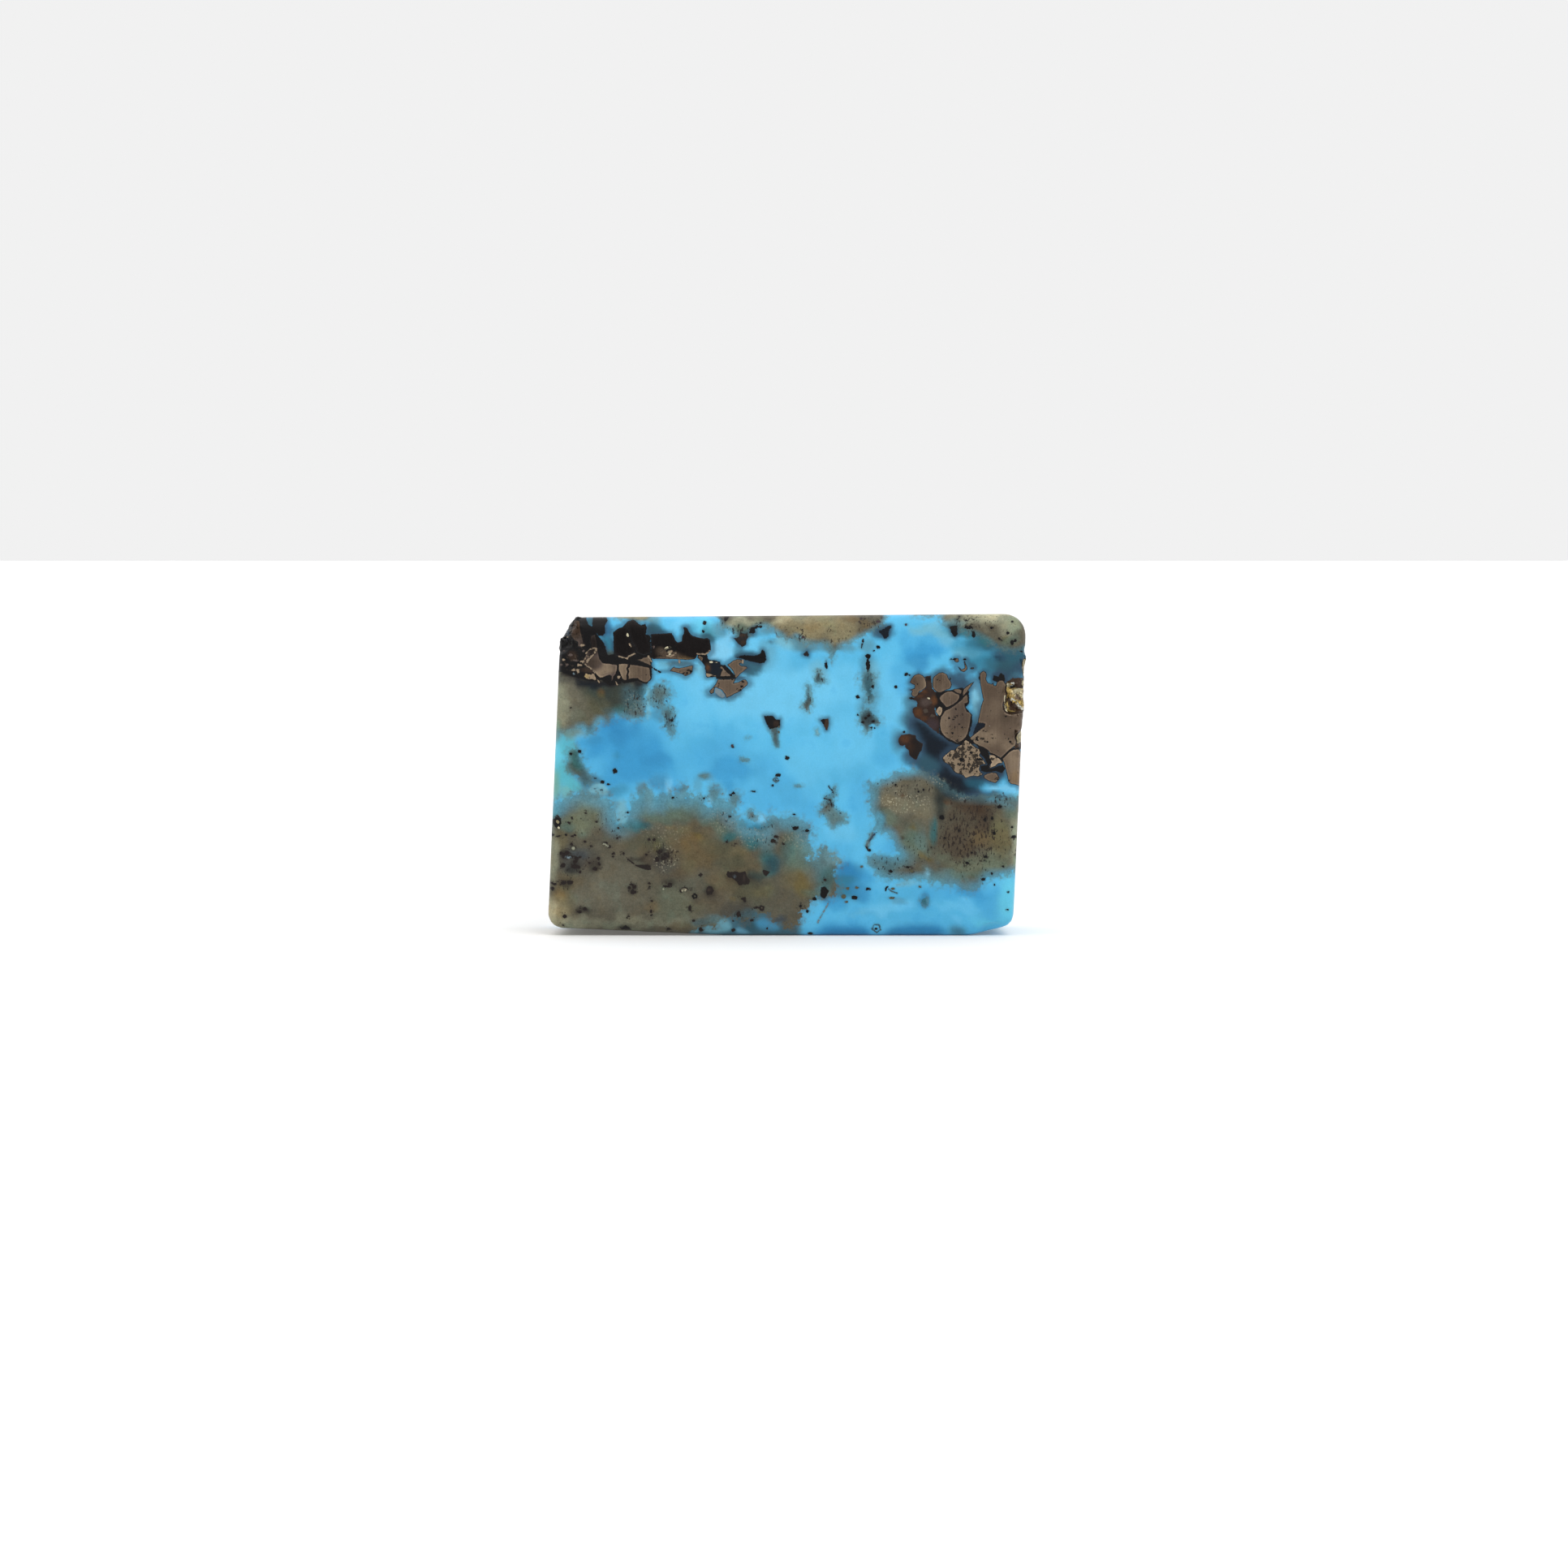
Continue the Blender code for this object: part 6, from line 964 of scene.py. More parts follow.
def edgeDistance(x, z):
    # mm to the nearest drawn edge of a grain, lump or mark, and to that of the matrix
    crisp = [insideDistance(x, z, outline) for _, _, outline in pyriteGrains]
    crisp += [insideDistance(x, z, worn(outline, wear)) for _, wear, outline in darkLumps]
    crisp += [ovalDistance(x, z, *oval) for ovals in ovalMarks.values() for oval in ovals]
    crisp += [lineDistance(x, z, line, width) for _, width, line in lineMarks]
    soft = [insideDistance(x, z, outline) for _, _, outline in matrixPatches]
    return np.abs(crisp).min(0), np.abs(soft).min(0)


def refine(stone, band, softBand):
    # halves the mesh of the ground face along the drawn edges
    middle, normal = readFaces(stone.data)
    front = middle[:, 1] < stoneSettings["ground"] + stoneSettings["fineDepth"]
    chosen = np.flatnonzero(front & (normal[:, 1] < stoneSettings["facing"]))
    x, z = middle[chosen][:, [0, 2]].T.astype(float)
    crisp, soft = edgeDistance(x, z)
    near = (crisp < band) | (soft < softBand)
    if softBand > 0:
        for cx, cz, rx, rz in brokenPlaces:
            near |= np.hypot((x - cx) / rx, (z - cz) / rz) < stoneSettings["reach"]
    faces = np.zeros(len(middle), bool)
    faces[chosen[near]] = True
    inEditMode(stone, faces, lambda: bpy.ops.mesh.subdivide(number_cuts=1))


def makeStone():
    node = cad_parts["turquoise_slab"]
    stone = bpy.data.objects.new("turquoise_stone", node.data.copy())
    bpy.context.scene.collection.objects.link(stone)
    inEditMode(stone, everyFace(stone), lambda: bpy.ops.mesh.remove_doubles(threshold=1e-6))
    voxel = stoneSettings["voxel"] * mm
    applyModifier(stone, "REMESH", {"mode": "VOXEL", "voxel_size": voxel, "use_smooth_shade": True})
    applyModifier(stone, "SMOOTH", {"factor": 0.5, "iterations": stoneSettings["smoothing"]})
    refine(stone, stoneSettings["coarseBand"], stoneSettings["coarseBand"] * 1.2)
    refine(stone, stoneSettings["fineBand"], 0)
    inEditMode(stone, everyFace(stone), lambda: bpy.ops.mesh.quads_convert_to_tris())
    breakCrystals(stone)
    return stone


def breakCrystals(stone):
    # inside the broken places each small cell stands as one tilted plane, as pyrite breaks
    use = stoneSettings
    points = readPoints(stone.data)
    normals = np.array([v.normal[:] for v in stone.data.vertices])
    depth = points[:, 1] - use["ground"]
    inDepth = ease(*use["facetFrom"], depth) * ease(*use["facetTo"], depth)
    dice = np.random.default_rng(11)
    for x, z, halfWidth, halfHeight in brokenPlaces:
        r = np.hypot((points[:, 0] - x) / halfWidth, (points[:, 2] - z) / halfHeight)
        mask = ease(1.15, 0.8, r) * inDepth
        chosen = np.flatnonzero(mask > 0.01)
        count = int(4 + 9 * halfWidth * halfHeight / use["facet"] ** 2)
        seeds = dice.uniform(-1, 1, (count, 3)) * (halfWidth, 1.0, halfHeight) + (x, -3.1, z)
        tilt = dice.uniform(-use["facetTilt"], use["facetTilt"], (count, 3))
        lift = dice.uniform(-1, 0.6, count) * use["facetHeight"]
        away = points[chosen, None] - seeds
        cell = (away ** 2).sum(2).argmin(1)
        step = lift[cell] + (away[np.arange(len(chosen)), cell] * tilt[cell]).sum(1) * 0.4
        points[chosen] += normals[chosen] * (np.clip(step, *use["facetMoves"]) * mask[chosen])[:, None]
    points = np.clip(points, np.array(cadBox[0]) / mm, np.array(cadBox[1]) / mm)
    writePoints(stone.data, points)


stone = makeStone()
print("stage 2: the stone has", len(stone.data.polygons), "faces")


# where a drawn point of the face lies in the stone
depthSettings = {
    "keep": 0.5,            # mm behind the ground face in which the pattern stays as drawn
    "back": 7.5,            # mm behind it where the pattern has wandered all the way
    "wander": 3.4,          # mm of that way
    "slow": 0.13,           # waves in a mm
    "quick": 0.42,
    "cloud": (0.55, 1.6),   # waves in a mm of the clouds that ruffle the strokes
    "seed": 1795474715,     # the noise would start from the clock without it, and differ in each run
}


def wavesAt(points, waves, shift=(0, 0, 0)):
    return np.array([noise.noise_vector(Vector(p) * waves + Vector(shift)) for p in points])


def followDepth(points):
    # the veins run on through the stone, and drift sideways as they go
    depth = points[:, 1] - stoneSettings["ground"]
    share = ease(depthSettings["keep"], depthSettings["back"], depth)
    slow = wavesAt(points, depthSettings["slow"])
    quick = wavesAt(points, depthSettings["quick"], (9, 4, 2))
    drift = (slow * depthSettings["wander"] + quick) * share[:, None]
    return points[:, 0] + drift[:, 0], points[:, 2] + drift[:, 2], depth


# pyrite cubes in the sides, the top and the back: middle in mm, edge length
buriedCubes = [
    (-12.6, -1.6, 19.2, 2.2), (-10.4, -0.4, 19.3, 1.7), (-8.1, -1.9, 19.5, 1.3), (-13.9, -0.2, 17.4, 2.4),
    (-13.6, 1.8, 18.9, 1.2), (-14.2, 2.4, 15.4, 0.9), (14.3, -1.4, 14.6, 2.6), (14.4, 0.6, 12.2, 2.2),
    (14.5, 1.9, 15.6, 1.4), (14.6, -0.9, 10.3, 1.3), (14.4, 3.4, 11.2, 1.1), (12.9, 3.9, 13.6, 2.4),
    (10.9, 3.8, 12.1, 2.9), (8.8, 4, 13.9, 1.6), (11.8, 4.1, 15.7, 1.4), (9.2, 3.9, 10.4, 1),
    (-11.9, 3.9, 16.8, 1.9), (-10.2, 3.8, 17.9, 1.3), (-12.8, 4, 14.9, 1.1), (-8.9, 4.1, 16.2, 0.8),
    (-3.6, 3.9, 4.2, 1.7), (-2.3, 4, 3.1, 1.1), (-5.1, 4.1, 3.6, 0.7), (2.2, 3.9, 15.6, 0.9),
    (3.1, 4, 14.6, 0.6), (-0.4, 4, 9.2, 0.5), (6.9, 4, 6.3, 0.7), (-14.4, 1.2, 6.8, 0.8),
    (-7.8, 0.9, 0.3, 0.9), (1.2, 0.6, 19.7, 0.7), (4.6, 1.9, 19.6, 0.9), (9.4, -0.8, 19.8, 0.7),
]


def crystalDistance(points, middle, edge, turn, stretch):
    # mm inside a cube with worn corners that has grown a little crooked
    bent = points + np.stack((cloudX, cloudZ, cloudX - cloudZ), 1) * (edge * 0.3)
    away = np.abs((bent - middle) @ np.array(Euler(turn).to_matrix())) / stretch
    return np.clip(np.minimum(edge / 2 - away.max(1), (edge * 1.02 - away.sum(1)) * 0.6), -farOff, farOff)


drawingSettings = {
    "cloudy": 0.55,         # share of a stroke's half width by which the clouds ruffle it
    "strokeEdge": (1.35, 0.45),     # share of its size over which a stroke fades in
    "placeEdge": (1.3, 0.5),
    "lumpEdge": (-0.06, 0.01),      # mm beside an outline over which its colour sets in
    "grainEdge": (-0.05, 0),
    "cubeEdge": (-0.06, 0),
    "ovalEdge": (-0.1, -0.02),
    "lineEdge": (-0.08, -0.02),
    "grainTint": (0.9, 1.12),       # brightness from grain to grain
    "cubeTint": (0.75, 1.2),
    "cubeDepth": 0.75,      # mm behind the ground face where the cubes begin
    "haloReach": 0.3,       # mm beside the pyrite in which the stone is dark
    "blueHalo": 0.7,
    "earthHalo": 0.6,
    "blueVeil": (0.88, 1, 1.03),    # what the sky light on the polish takes and gives
    "earthVeil": (0.9, 0.9, 0.85),
}


def brushOn(wash, mask, name):
    wash += (mixed(name) - wash) * mask[:, None]


def dab(wash, name, cx, cz, rx, rz, strength):
    # big strokes get cloudy edges
    loose = min(1.0, rx * drawingSettings["cloudy"])
    r = np.hypot((faceX + cloudX * loose - cx) / rx, (faceZ + cloudZ * loose - cz) / rz)
    brushOn(wash, strength * ease(*drawingSettings["strokeEdge"], r), name)


def spread(places, base=0.0):
    # a field that is strong in some soft places
    field = np.full(count, base)
    for cx, cz, rx, rz, strength in places:
        r = np.hypot((faceX + cloudX * 0.3 - cx) / rx, (faceZ + cloudZ * 0.3 - cz) / rz)
        field = np.maximum(field, strength * ease(*drawingSettings["placeEdge"], r))
    return field


def setField(mesh, name, values):
    field = mesh.attributes.new(name, "FLOAT", "POINT")
    field.data.foreach_set("value", values.astype(np.float32))


def setWash(mesh, name, colours):
    wash = mesh.attributes.new(name, "FLOAT_COLOR", "POINT")
    full = np.ones((len(colours), 4), np.float32)
    full[:, :3] = np.clip(colours, 0, 1)
    wash.data.foreach_set("color", full.ravel())


noise.seed_set(depthSettings["seed"])
points = readPoints(stone.data)
faceX, faceZ, faceDepth = followDepth(points)
count = len(points)
wide, narrow = depthSettings["cloud"]
clouds = wavesAt(points, wide) + wavesAt(points, narrow) * 0.5
cloudX, cloudZ = clouds[:, [0, 2]].T
inStone = ease(0.8, 4.0, faceDepth)     # 0 on the ground face, 1 from the middle of the stone on


def plain(name):
    return np.tile(mixed(name), (count, 1))


def farField():
    return np.full(count, -farOff)


use = drawingSettings

# turquoise
blueWash = plain("sky")
for name, x, z, rx, rz, strength in blueDabs:
    dab(blueWash, name, x, z, rx, rz, strength)
for name, soft, strength, outline in blueShapes:
    brushOn(blueWash, strength * ease(-soft, soft, insideDistance(faceX, faceZ, worn(outline))), name)

# matrix, with its colour running into the turquoise at its edge
matrixField = farField()
earthWash = plain("grey")
for name, x, z, rx, rz, strength in earthDabs:
    dab(earthWash, name, x, z, rx, rz, strength)
for soft, fray, outline in matrixPatches:
    inside = insideDistance(faceX, faceZ, worn(outline))
    near = ease(-0.4, 0.0, inside) * ease(soft, 0.0, inside)
    upper = ease(4.6, 7.2, faceZ) if soft > 1 else 1.0
    earthWash += (blueWash * 0.48 + mixed("fog") * 0.45 - earthWash) * (near * 0.85 * upper)[:, None]
    matrixField = np.maximum(matrixField, inside / (fray * 2))
earthWash *= use["earthVeil"]
blueWash *= use["blueVeil"]

# dark lumps
lumpField = farField()
lumpWash = plain("jet")
for name, wear, outline in darkLumps:
    inside = insideDistance(faceX, faceZ, worn(outline, wear))
    brushOn(lumpWash, ease(*use["lumpEdge"], inside), name)
    lumpField = np.maximum(lumpField, inside)
for name, x, z, rx, rz, strength in lumpDabs:
    dab(lumpWash, name, x, z, rx, rz, strength)

# pyrite
grainFields = [farField() for _ in range(3)]
grainWash = plain("bronze")
dice = np.random.default_rng(5)
for layer, name, outline in pyriteGrains:
    inside = insideDistance(faceX, faceZ, outline)
    tint = dice.uniform(*use["grainTint"])
    grainWash += (mixed(name) * tint - grainWash) * ease(*use["grainEdge"], inside)[:, None]
    grainFields[layer] = np.maximum(grainFields[layer], inside - 0.22 * faceDepth * inStone)
for name, x, z, rx, rz, strength in pyriteDabs:
    dab(grainWash, name, x, z, rx, rz, strength)
for number, (x, y, z, edge) in enumerate(buriedCubes):
    turn = dice.uniform(-0.9, 0.9, 3)
    stretch = dice.uniform(0.7, 1.25, 3)
    inside = crystalDistance(points, (x, y, z), edge, turn, stretch)
    inside = np.minimum(inside, (faceDepth - use["cubeDepth"]) * 0.8)
    tint = dice.uniform(*use["cubeTint"])
    grainWash += (mixed("bronze") * tint - grainWash) * ease(*use["cubeEdge"], inside)[:, None]
    grainFields[number % 3] = np.maximum(grainFields[number % 3], inside)
allGrains = np.max(grainFields, 0)
grainRims = np.minimum(allGrains + 0.04 + cloudX * 0.25, inStone - 0.05)
lumpField = np.maximum(lumpField - 0.3 * inStone, grainRims)

# marks
markField = farField()
markWash = plain("jet")
for name, ovals in ovalMarks.items():
    for oval in ovals:
        inside = ovalDistance(faceX, faceZ, *oval)
        brushOn(markWash, ease(*use["ovalEdge"], inside), name)
        markField = np.maximum(markField, inside)
for name, width, line in lineMarks:
    inside = lineDistance(faceX, faceZ, line, width)
    brushOn(markWash, ease(*use["lineEdge"], inside), name)
    markField = np.maximum(markField, inside)
markField -= 0.12 * ease(0.3, 1.5, faceDepth)

# the turquoise and the matrix go dark beside the pyrite
halo = ease(-use["haloReach"], 0.03, np.maximum(allGrains, lumpField))
brushOn(blueWash, halo * use["blueHalo"], "slate")
brushOn(earthWash, halo * ease(13, 15, faceZ) * use["earthHalo"], "soot")
brushOn(blueWash, ease(-0.12, 0.02, markField) * 0.35, "smoke")
brushOn(earthWash, ease(-0.14, 0.02, markField) * 0.3, "coffee")

fields = {
    "matrix": matrixField, "lump": lumpField, "grainA": grainFields[0], "grainB": grainFields[1],
    "grainC": grainFields[2], "mark": markField, "pore": spread(porePlaces), "pepper": spread(pepperPlaces),
    "glintAndCrystal": spread(glintAndCrystalPlaces), "hatch": spread(hatchPlaces, 0.3),
}
washes = {
    "blueWash": blueWash, "earthWash": earthWash, "lumpWash": lumpWash, "grainWash": grainWash,
    "markWash": markWash,
}
for name, values in fields.items():
    setField(stone.data, name, values)
for name, colours in washes.items():
    setWash(stone.data, name, colours)
print("stage 3: the pattern is drawn")


class Wire:
    # one value in a shader; sums written with it become Math nodes
    def __init__(self, bench, socket):
        self.bench = bench
        self.socket = socket

    def sum(self, operation, *values):
        return self.bench.node("ShaderNodeMath", {"operation": operation}, dict(enumerate(values)))

    def __add__(self, other):
        return self.sum("ADD", self, other)

    def __radd__(self, other):
        return self.sum("ADD", other, self)

    def __sub__(self, other):
        return self.sum("SUBTRACT", self, other)

    def __rsub__(self, other):
        return self.sum("SUBTRACT", other, self)

    def __mul__(self, other):
        return self.sum("MULTIPLY", self, other)

    def __rmul__(self, other):
        return self.sum("MULTIPLY", other, self)


class Bench:
    # a material or a sky being made up
    def __init__(self, owner):
        owner.use_nodes = True
        self.tree = owner.node_tree
        self.tree.nodes.clear()

    def node(self, kind, settings=None, values=None, output=0):
        made = self.tree.nodes.new(kind)
        for name, value in (settings or {}).items():
            setattr(made, name, value)
        for name, value in (values or {}).items():
            if isinstance(value, Wire):
                self.tree.links.new(value.socket, made.inputs[name])
            else:
                made.inputs[name].default_value = value
        return Wire(self, made.outputs[output]) if made.outputs else None

    def field(self, name):
        return self.node("ShaderNodeAttribute", {"attribute_name": name}, output="Fac")

    def wash(self, name):
        return self.node("ShaderNodeAttribute", {"attribute_name": name}, output="Color")

    def step(self, value, low, high):
        # 0 at low, 1 at high, and a soft step between
        values = {"Value": value, "From Min": low, "From Max": high}
        return self.node("ShaderNodeMapRange", {"interpolation_type": "SMOOTHSTEP"}, values, "Result")

    def mix(self, share, first, second, how="MIX"):
        settings = {"data_type": "RGBA", "blend_type": how}
        return self.node("ShaderNodeMix", settings, {0: share, 6: first, 7: second}, 2)

    def tint(self, share, first, name):
        return self.mix(share, first, (*mixed(name), 1))

    def cloud(self, place, scale, detail, roughness):
        values = {"Vector": place, "Scale": scale, "Detail": detail, "Roughness": roughness}
        return self.node("ShaderNodeTexNoise", {}, values, "Fac")

    def stretch(self, place, scale, turn=0.0):
        values = {"Vector": place, "Rotation": (0, turn, 0), "Scale": scale}
        return self.node("ShaderNodeMapping", {}, values)

    def shade(self, colour, tone):
        grey = self.node("ShaderNodeCombineColor", {}, {0: tone, 1: tone, 2: tone})
        return self.mix(1.0, colour, grey, "MULTIPLY")


def mottle(level, *parts):
    # the level, raised and lowered by that much of each noise
    for waves, amount in parts:
        level = level + (waves - 0.5) * amount
    return level


finishSettings = {
    # noises, from clouds of a few millimetres down to single grains: waves in a mm, detail, roughness
    "clouds": (
        (0.28, 3, 0.55), (0.8, 3, 0.55), (1.1, 4, 0.6), (2.6, 6, 0.62), (4.6, 3, 0.6), (9, 3, 0.6),
        (24, 2, 0.6),
    ),
    "sugar": 12,            # white crystals in a mm
    "blueDepth": (0.37, 0.6, 0.75, 1),      # tints that are multiplied in where a cloud is thick
    "paleBlue": (1.7, 0.95, 0.75, 1),
    "brownEarth": (1.2, 0.97, 0.7, 1),
    "greenEarth": (1, 1.65, 1.8, 1),
    "grainRag": 0.04,       # how ragged the edge of a pyrite grain is, mm
    "markRag": 0.16,        # the same for a mark
    "outline": 0.05,        # dark rim of a pyrite grain, mm
    "turquoiseGloss": 0.3,
    "matrixGloss": 0.42,
    "pyriteGloss": 0.36,
    # mm that the pyrite stands proud of the softer matrix, and that the rest lies low
    "pyriteRise": 0.03,
    "matrixDrop": 0.01,
    "rimDrop": 0.02,
    "markDrop": 0.025,
    "poreDrop": 0.03,
}


def finishStone():
    material = bpy.data.materials.new("turquoise_in_matrix")
    bench = Bench(material)
    node, step, mix, tint, shade = bench.node, bench.step, bench.mix, bench.tint, bench.shade
    use = finishSettings
    local = node("ShaderNodeTexCoord", output="Object")
    place = bench.stretch(local, (1 / mm, 1 / mm, 1 / mm))
    mark = bench.field("mark")
    glintAndCrystal = bench.field("glintAndCrystal")

    clouds = [bench.cloud(place, *cloud) for cloud in use["clouds"]]
    broad, hue, patchy, ragged, speckle, crumb, dust = clouds
    cell = node("ShaderNodeTexVoronoi", {}, {"Vector": place, "Scale": use["sugar"]}, "Color")
    sugar = node("ShaderNodeSeparateColor", {}, {0: cell}, 0)
    # the brightest cells: pale crystal specks in the matrix and painted glints on the lumps
    glintAndCrystalSpecks = step(sugar + dust * 0.5, 1.06, 1.2)

    # turquoise: soft clouds, a fine grain and a few pale crumbs
    thick = step(patchy + broad * 0.6, 0.86, 1.1) * 0.3
    blue = mix(thick, bench.wash("blueWash"), use["blueDepth"], "MULTIPLY")
    blue = shade(blue, mottle(1.0, (broad, 0.2), (patchy, 0.22), (crumb, 0.2), (dust, 0.14)))
    blue = mix(step(crumb + dust * 0.4, 0.82, 0.98) * 0.4, blue, use["paleBlue"], "MULTIPLY")

    # matrix: brown and green clouds, pale crystal specks that also serve as painted glints, dark specks
    earth = mix(step(hue, 0.52, 0.66) * 0.22, bench.wash("earthWash"), use["brownEarth"], "MULTIPLY")
    earth = mix(step(hue, 0.48, 0.36) * 0.14, earth, use["greenEarth"], "MULTIPLY")
    tone = mottle(1.0, (broad, 0.25), (patchy, 0.5), (ragged, 0.4), (speckle, 0.55))
    earth = shade(earth, mottle(tone, (crumb, 0.7), (dust, 0.5)))
    earth = tint(glintAndCrystalSpecks * step(glintAndCrystal, 0.1, 1.0) * 0.34, earth, "creamHighlight")
    pepper = bench.cloud(bench.stretch(place, (7, 7, 3.2), 0.12), 1.0, 3, 0.6)
    pepperField = bench.field("pepper")
    specks = step(pepper + pepperField * 0.11, 0.64, 0.685) * step(pepperField, 0.02, 0.3) * 0.85
    beside = step(speckle, 0.58, 0.64) * step(mark, -0.32, -0.06) * 0.75
    earth = tint(specks.sum("MAXIMUM", specks, beside), earth, "coffee")
    matrixEdge = mottle(bench.field("matrix"), (ragged, 1.25), (speckle, 0.5), (crumb, 0.25))
    matrixShare = step(matrixEdge, -0.46, 0.1) * 0.5 + step(matrixEdge, -0.11, 0.06) * 0.5
    colour = mix(matrixShare, blue, earth)

    # dark lumps, with painted glints on them
    lump = shade(bench.wash("lumpWash"), mottle(1.0, (crumb, 0.9), (patchy, 0.6)))
    lump = tint(glintAndCrystalSpecks * glintAndCrystal * 0.35, lump, "pale")
    lumpShare = step(mottle(bench.field("lump"), (crumb, 0.14), (speckle, 0.1)), -0.025, 0.025)
    colour = mix(lumpShare, colour, lump)

    # pyrite: polishing lines up and down, pores, painted glints from cell to cell, a dark rim, and a painted
    # highlight just inside it where the edge catches the light
    lines = bench.cloud(bench.stretch(place, (8.5, 8.5, 0.35), 0.06), 1.0, 3, 0.7)
    edge = bench.field("grainA")
    edge = edge.sum("MAXIMUM", edge, bench.field("grainB"))
    edge = mottle(edge.sum("MAXIMUM", edge, bench.field("grainC")), (crumb, use["grainRag"] * 2))
    share = step(edge, -0.02, 0.02)
    body = step(edge, use["outline"] * 0.3, use["outline"])
    tone = mottle(1.0 + (lines - 0.5) * bench.field("hatch") * 1.5, (crumb, 0.4), (patchy, 0.4))
    tone = (tone + (sugar - 0.5) * glintAndCrystal * 1.3) * (1.0 + step(edge, 0.15, 0.07) * 0.3)
    holes = step(speckle + bench.field("pore") * 0.17, 0.66, 0.71)
    body = body * (1.0 - holes * 0.9)
    grain = mix(body, (*mixed("jet"), 1), shade(bench.wash("grainWash"), tone))
    colour = mix(share, colour, grain)

    # crisp marks over all
    markShare = step(mottle(mark, (speckle, use["markRag"]), (crumb, use["markRag"])), -0.03, 0.0)
    ink = shade(bench.wash("markWash"), mottle(1.0, (dust, 0.6)))
    colour = mix(markShare, colour, ink)

    metal = share * body * (1.0 - markShare)
    shine = use["turquoiseGloss"] + matrixShare * (use["matrixGloss"] - use["turquoiseGloss"])
    shine = mottle(shine, (dust, 0.16))
    shine = shine + metal * (use["pyriteGloss"] - use["turquoiseGloss"]) + lumpShare * 0.06

    relief = metal * use["pyriteRise"] - matrixShare * (sugar * use["matrixDrop"] + use["matrixDrop"])
    relief = relief - (1.0 - body) * share * use["rimDrop"] - markShare * use["markDrop"]
    relief = mottle(relief + (lines - 0.5) * metal * 0.01, (dust, 0.006), (patchy, 0.02))
    relief = relief - holes * share * use["poreDrop"]
    bump = node("ShaderNodeBump", {}, {"Height": relief, "Strength": 0.8, "Distance": mm}, "Normal")

    values = {"Base Color": colour, "Metallic": metal * 0.85, "Roughness": shine, "Normal": bump}
    values.update({"IOR": 1.5, "Specular IOR Level": 0.15})
    surface = node("ShaderNodeBsdfPrincipled", {}, values, "BSDF")
    node("ShaderNodeOutputMaterial", {}, {"Surface": surface})
    return material


# the map that the stone's colour is laid out on: the ground face with the sides opened out round it,
# and the back beside it
mapSettings = {
    "open": (0.042, 0.0625),    # share by which the sides open outwards for each mm of depth
    "backFrom": 7.2,            # mm of depth from which a face is on the back
    "margin": 0.006,
    "least": 0.01,              # share of the middling area under which a face counts as turned over
    "rounds": 300,
}


def turned(place, corners):
    # twice the area of each laid-out face, less than 0 if it is turned over
    first, second, third = place[corners[:, 0]], place[corners[:, 1]], place[corners[:, 2]]
    across, up = second - first, third - first
    return across[:, 0] * up[:, 1] - across[:, 1] * up[:, 0]


def untangle(place, corners):
    # moves the points round a turned face to the middle of their neighbours
    least = np.median(turned(place, corners)) * mapSettings["least"]
    for _ in range(mapSettings["rounds"]):
        bad = turned(place, corners) < least
        if not bad.any():
            break
        loose = np.zeros(len(place), bool)
        loose[corners[bad]] = True
        loose[corners[loose[corners].any(1)]] = True
        near = corners[loose[corners].any(1)]
        total = np.zeros_like(place)
        share = np.zeros(len(place))
        for shift in (1, 2):
            other = np.roll(near, shift, 1)
            np.add.at(total, near.ravel(), place[other.ravel()])
            np.add.at(share, near.ravel(), 1)
        place[loose] = total[loose] / share[loose, None]
    return int(bad.sum())


def layOutMap(stone):
    mesh = stone.data
    points = readPoints(mesh)
    corners = np.zeros(len(mesh.loops), np.int32)
    mesh.loops.foreach_get("vertex_index", corners)
    corners = corners.reshape(-1, 3)
    depth = points[:, 1] - stoneSettings["ground"]
    flat = points[:, [0, 2]] - (points.max(0) + points.min(0))[[0, 2]] / 2
    onBack = depth[corners].mean(1) > mapSettings["backFrom"]
    front = flat * (1 + np.maximum(depth, 0)[:, None] * mapSettings["open"])
    back = flat * (-1, 1)
    left = untangle(front, corners[~onBack]) + untangle(back, corners[onBack])
    margin = mapSettings["margin"]
    used = np.unique(corners[~onBack])
    low, high = front[used].min(0), front[used].max(0)
    scale = (1 - 2 * margin) / (high - low)[0]
    front = (front - low) * scale + margin
    top = front[used].max(0)[1] + 2 * margin
    used = np.unique(corners[onBack])
    low, high = back[used].min(0), back[used].max(0)
    scale = (1 - margin - top) / (high - low)[1]
    back = (back - low) * scale + (margin, top)
    layer = mesh.uv_layers.new(name="OFBake")
    spots = np.where(np.repeat(onBack, 3)[:, None], back[corners.ravel()], front[corners.ravel()])
    layer.data.foreach_set("uv", spots.astype(np.float32).ravel())
    print("the map is laid out;", left, "faces are turned over in it")


stageSettings = {
    "floor": 40.0,           # m across
    "floorGlow": 0.12,       # light that the table gives back of itself, so that shadows stay soft
    "lens": 100,
    "sensor": 36,
    "distance": 0.2683,      # m from the camera to the ground face
    "rise": 3.0,             # degrees that the camera looks down
    "aim": (-0.175, -4.0, 9.4),
    "sky": 1.1,              # brightness behind the stone, in front of it and overhead
    "frontSky": 0.3,
    "topSky": 1.95,
    "key": 1.2,
}


def makeFloor():
    bpy.ops.mesh.primitive_plane_add(size=stageSettings["floor"], location=(0, 0, 0))
    floor = bpy.context.active_object
    floor.name = "table"
    material = bpy.data.materials.new("white_table")
    bench = Bench(material)
    values = {"Base Color": (0.8, 0.8, 0.8, 1), "Roughness": 0.75, "Specular IOR Level": 0.2}
    values.update({"Emission Color": (1, 0.97, 0.93, 1), "Emission Strength": stageSettings["floorGlow"]})
    surface = bench.node("ShaderNodeBsdfPrincipled", {}, values, "BSDF")
    bench.node("ShaderNodeOutputMaterial", {}, {"Surface": surface})
    floor.data.materials.append(material)


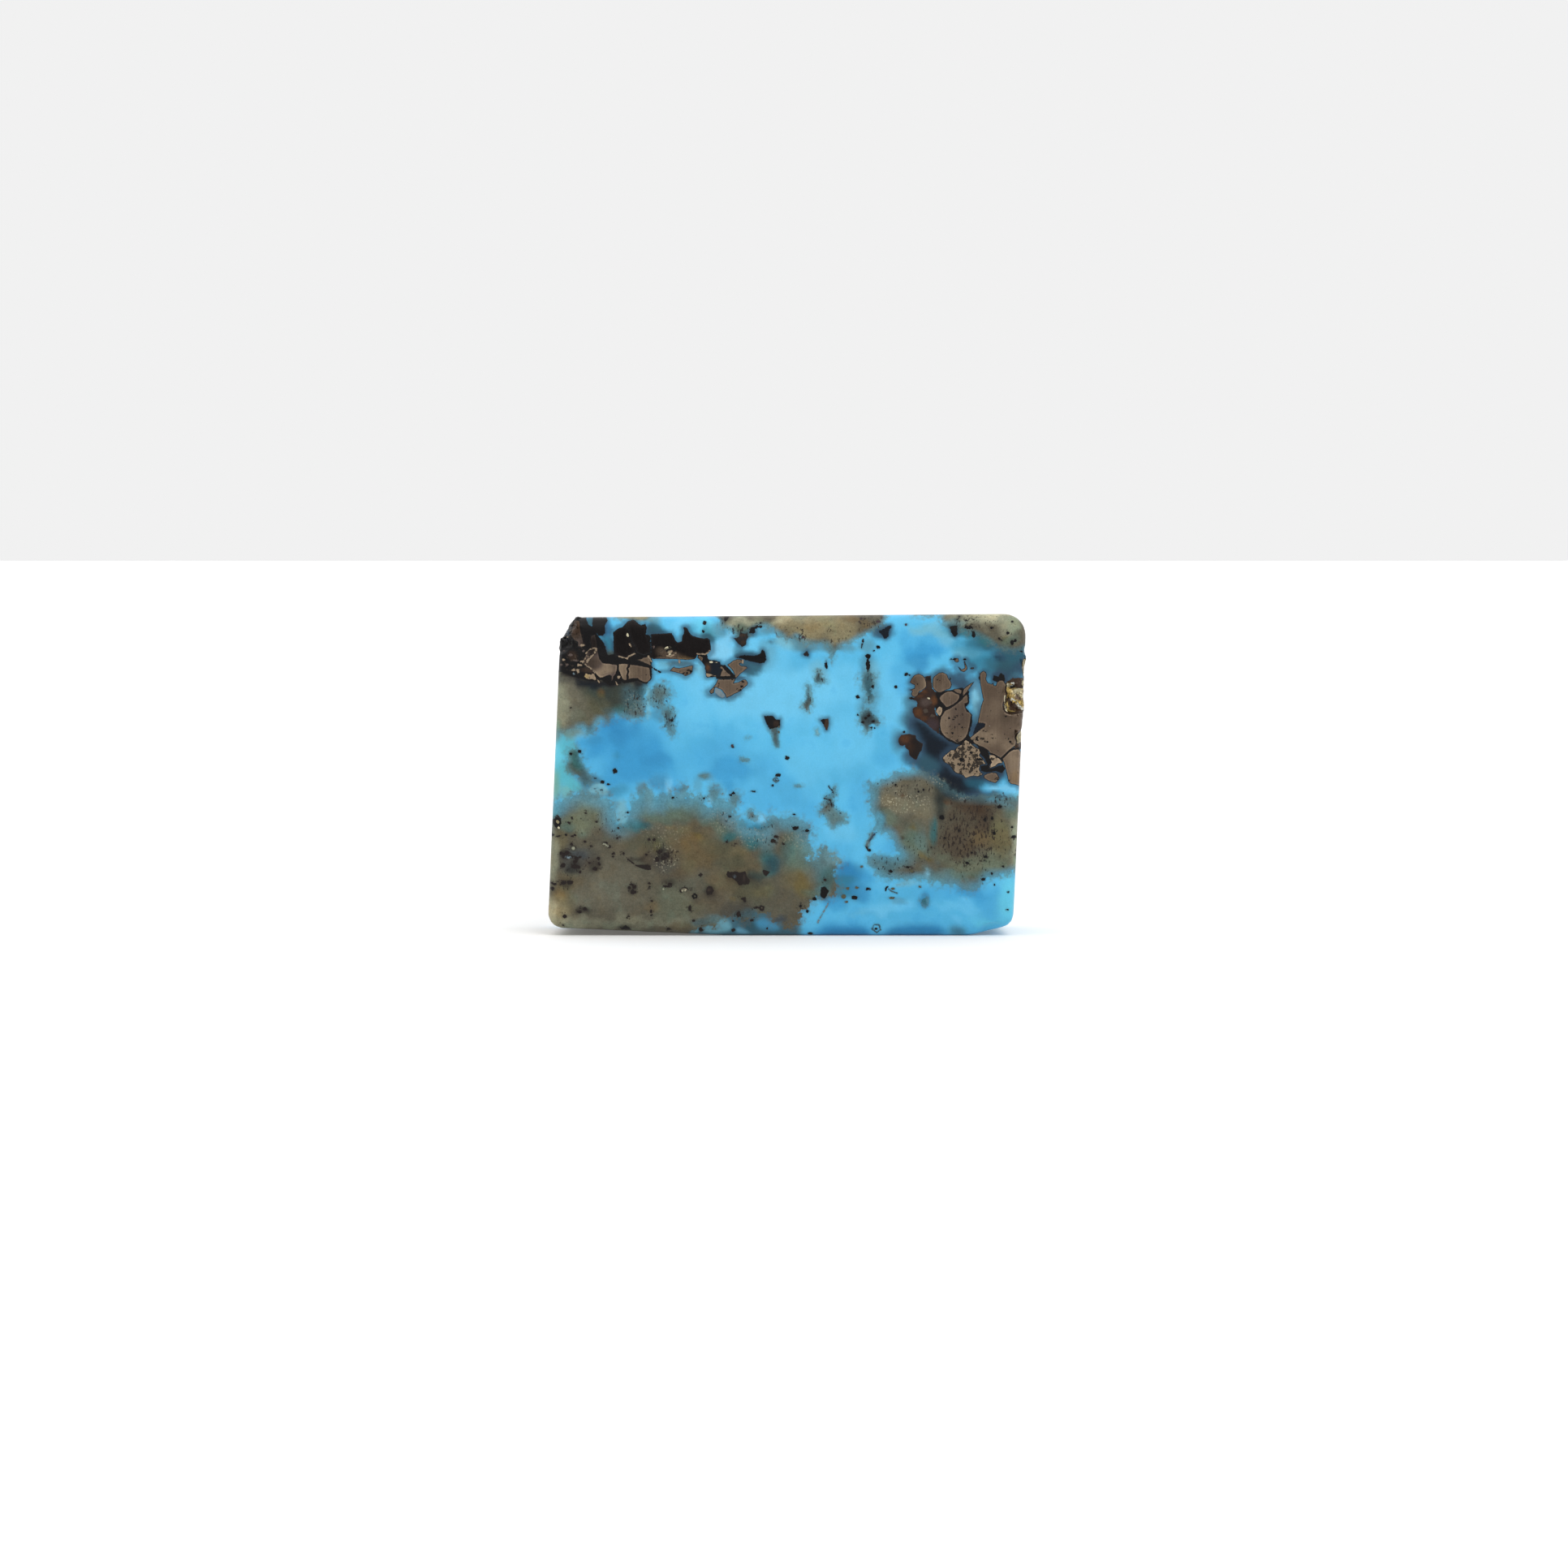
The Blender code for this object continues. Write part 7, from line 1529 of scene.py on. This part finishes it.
def makeLight(name, place, size, power, aim=(0, 0, 0.01)):
    lamp = bpy.data.lights.new(name, "AREA")
    lamp.shape = "RECTANGLE"
    lamp.size, lamp.size_y = size
    lamp.energy = power
    thing = bpy.data.objects.new(name, lamp)
    thing.location = place
    thing.rotation_euler = (Vector(aim) - Vector(place)).to_track_quat("-Z", "Y").to_euler()
    bpy.context.scene.collection.objects.link(thing)


def makeSky():
    world = bpy.data.worlds.new("studio")
    bench = Bench(world)
    where = bench.node("ShaderNodeTexCoord", output="Generated")
    height = bench.node("ShaderNodeSeparateXYZ", {}, {0: where}, 2)
    front = bench.step(bench.node("ShaderNodeSeparateXYZ", {}, {0: where}, 1), 0.25, -0.15)
    front = front * bench.step(height, 0.02, 0.035)
    top = bench.step(height, 0.35, 0.8)
    use = stageSettings
    level = use["sky"] + front * (use["frontSky"] - use["sky"])
    level = level + top * (use["topSky"] - level)
    surface = bench.node("ShaderNodeBackground", {}, {"Strength": level}, 0)
    bench.node("ShaderNodeOutputWorld", {}, {"Surface": surface})
    bpy.context.scene.world = world


def makeCamera():
    camera = bpy.data.objects.new("camera", bpy.data.cameras.new("camera"))
    camera.data.lens = stageSettings["lens"]
    camera.data.sensor_width = stageSettings["sensor"]
    camera.data.clip_start = 0.01
    camera.data.clip_end = 20
    rise = math.radians(stageSettings["rise"])
    aim = Vector(stageSettings["aim"]) * mm
    camera.location = aim + Vector((0, -math.cos(rise), math.sin(rise))) * stageSettings["distance"]
    camera.rotation_euler = (aim - camera.location).to_track_quat("-Z", "Y").to_euler()
    bpy.context.scene.collection.objects.link(camera)
    bpy.context.scene.camera = camera


layOutMap(stone)
stone.data.materials.clear()
stone.data.materials.append(finishStone())
selectOnly(stone)
bpy.ops.object.shade_smooth_by_angle(angle=math.radians(38))
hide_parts("turquoise_slab")
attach(stone, "root")
print("stage 4: the finish is on the stone")

makeFloor()
makeSky()
makeLight("key", (0.25, -0.45, 0.5), (0.35, 0.35), stageSettings["key"])
makeCamera()
bpy.context.scene.view_settings.view_transform = "Standard"
print("stage 5: floor, light and camera are set")
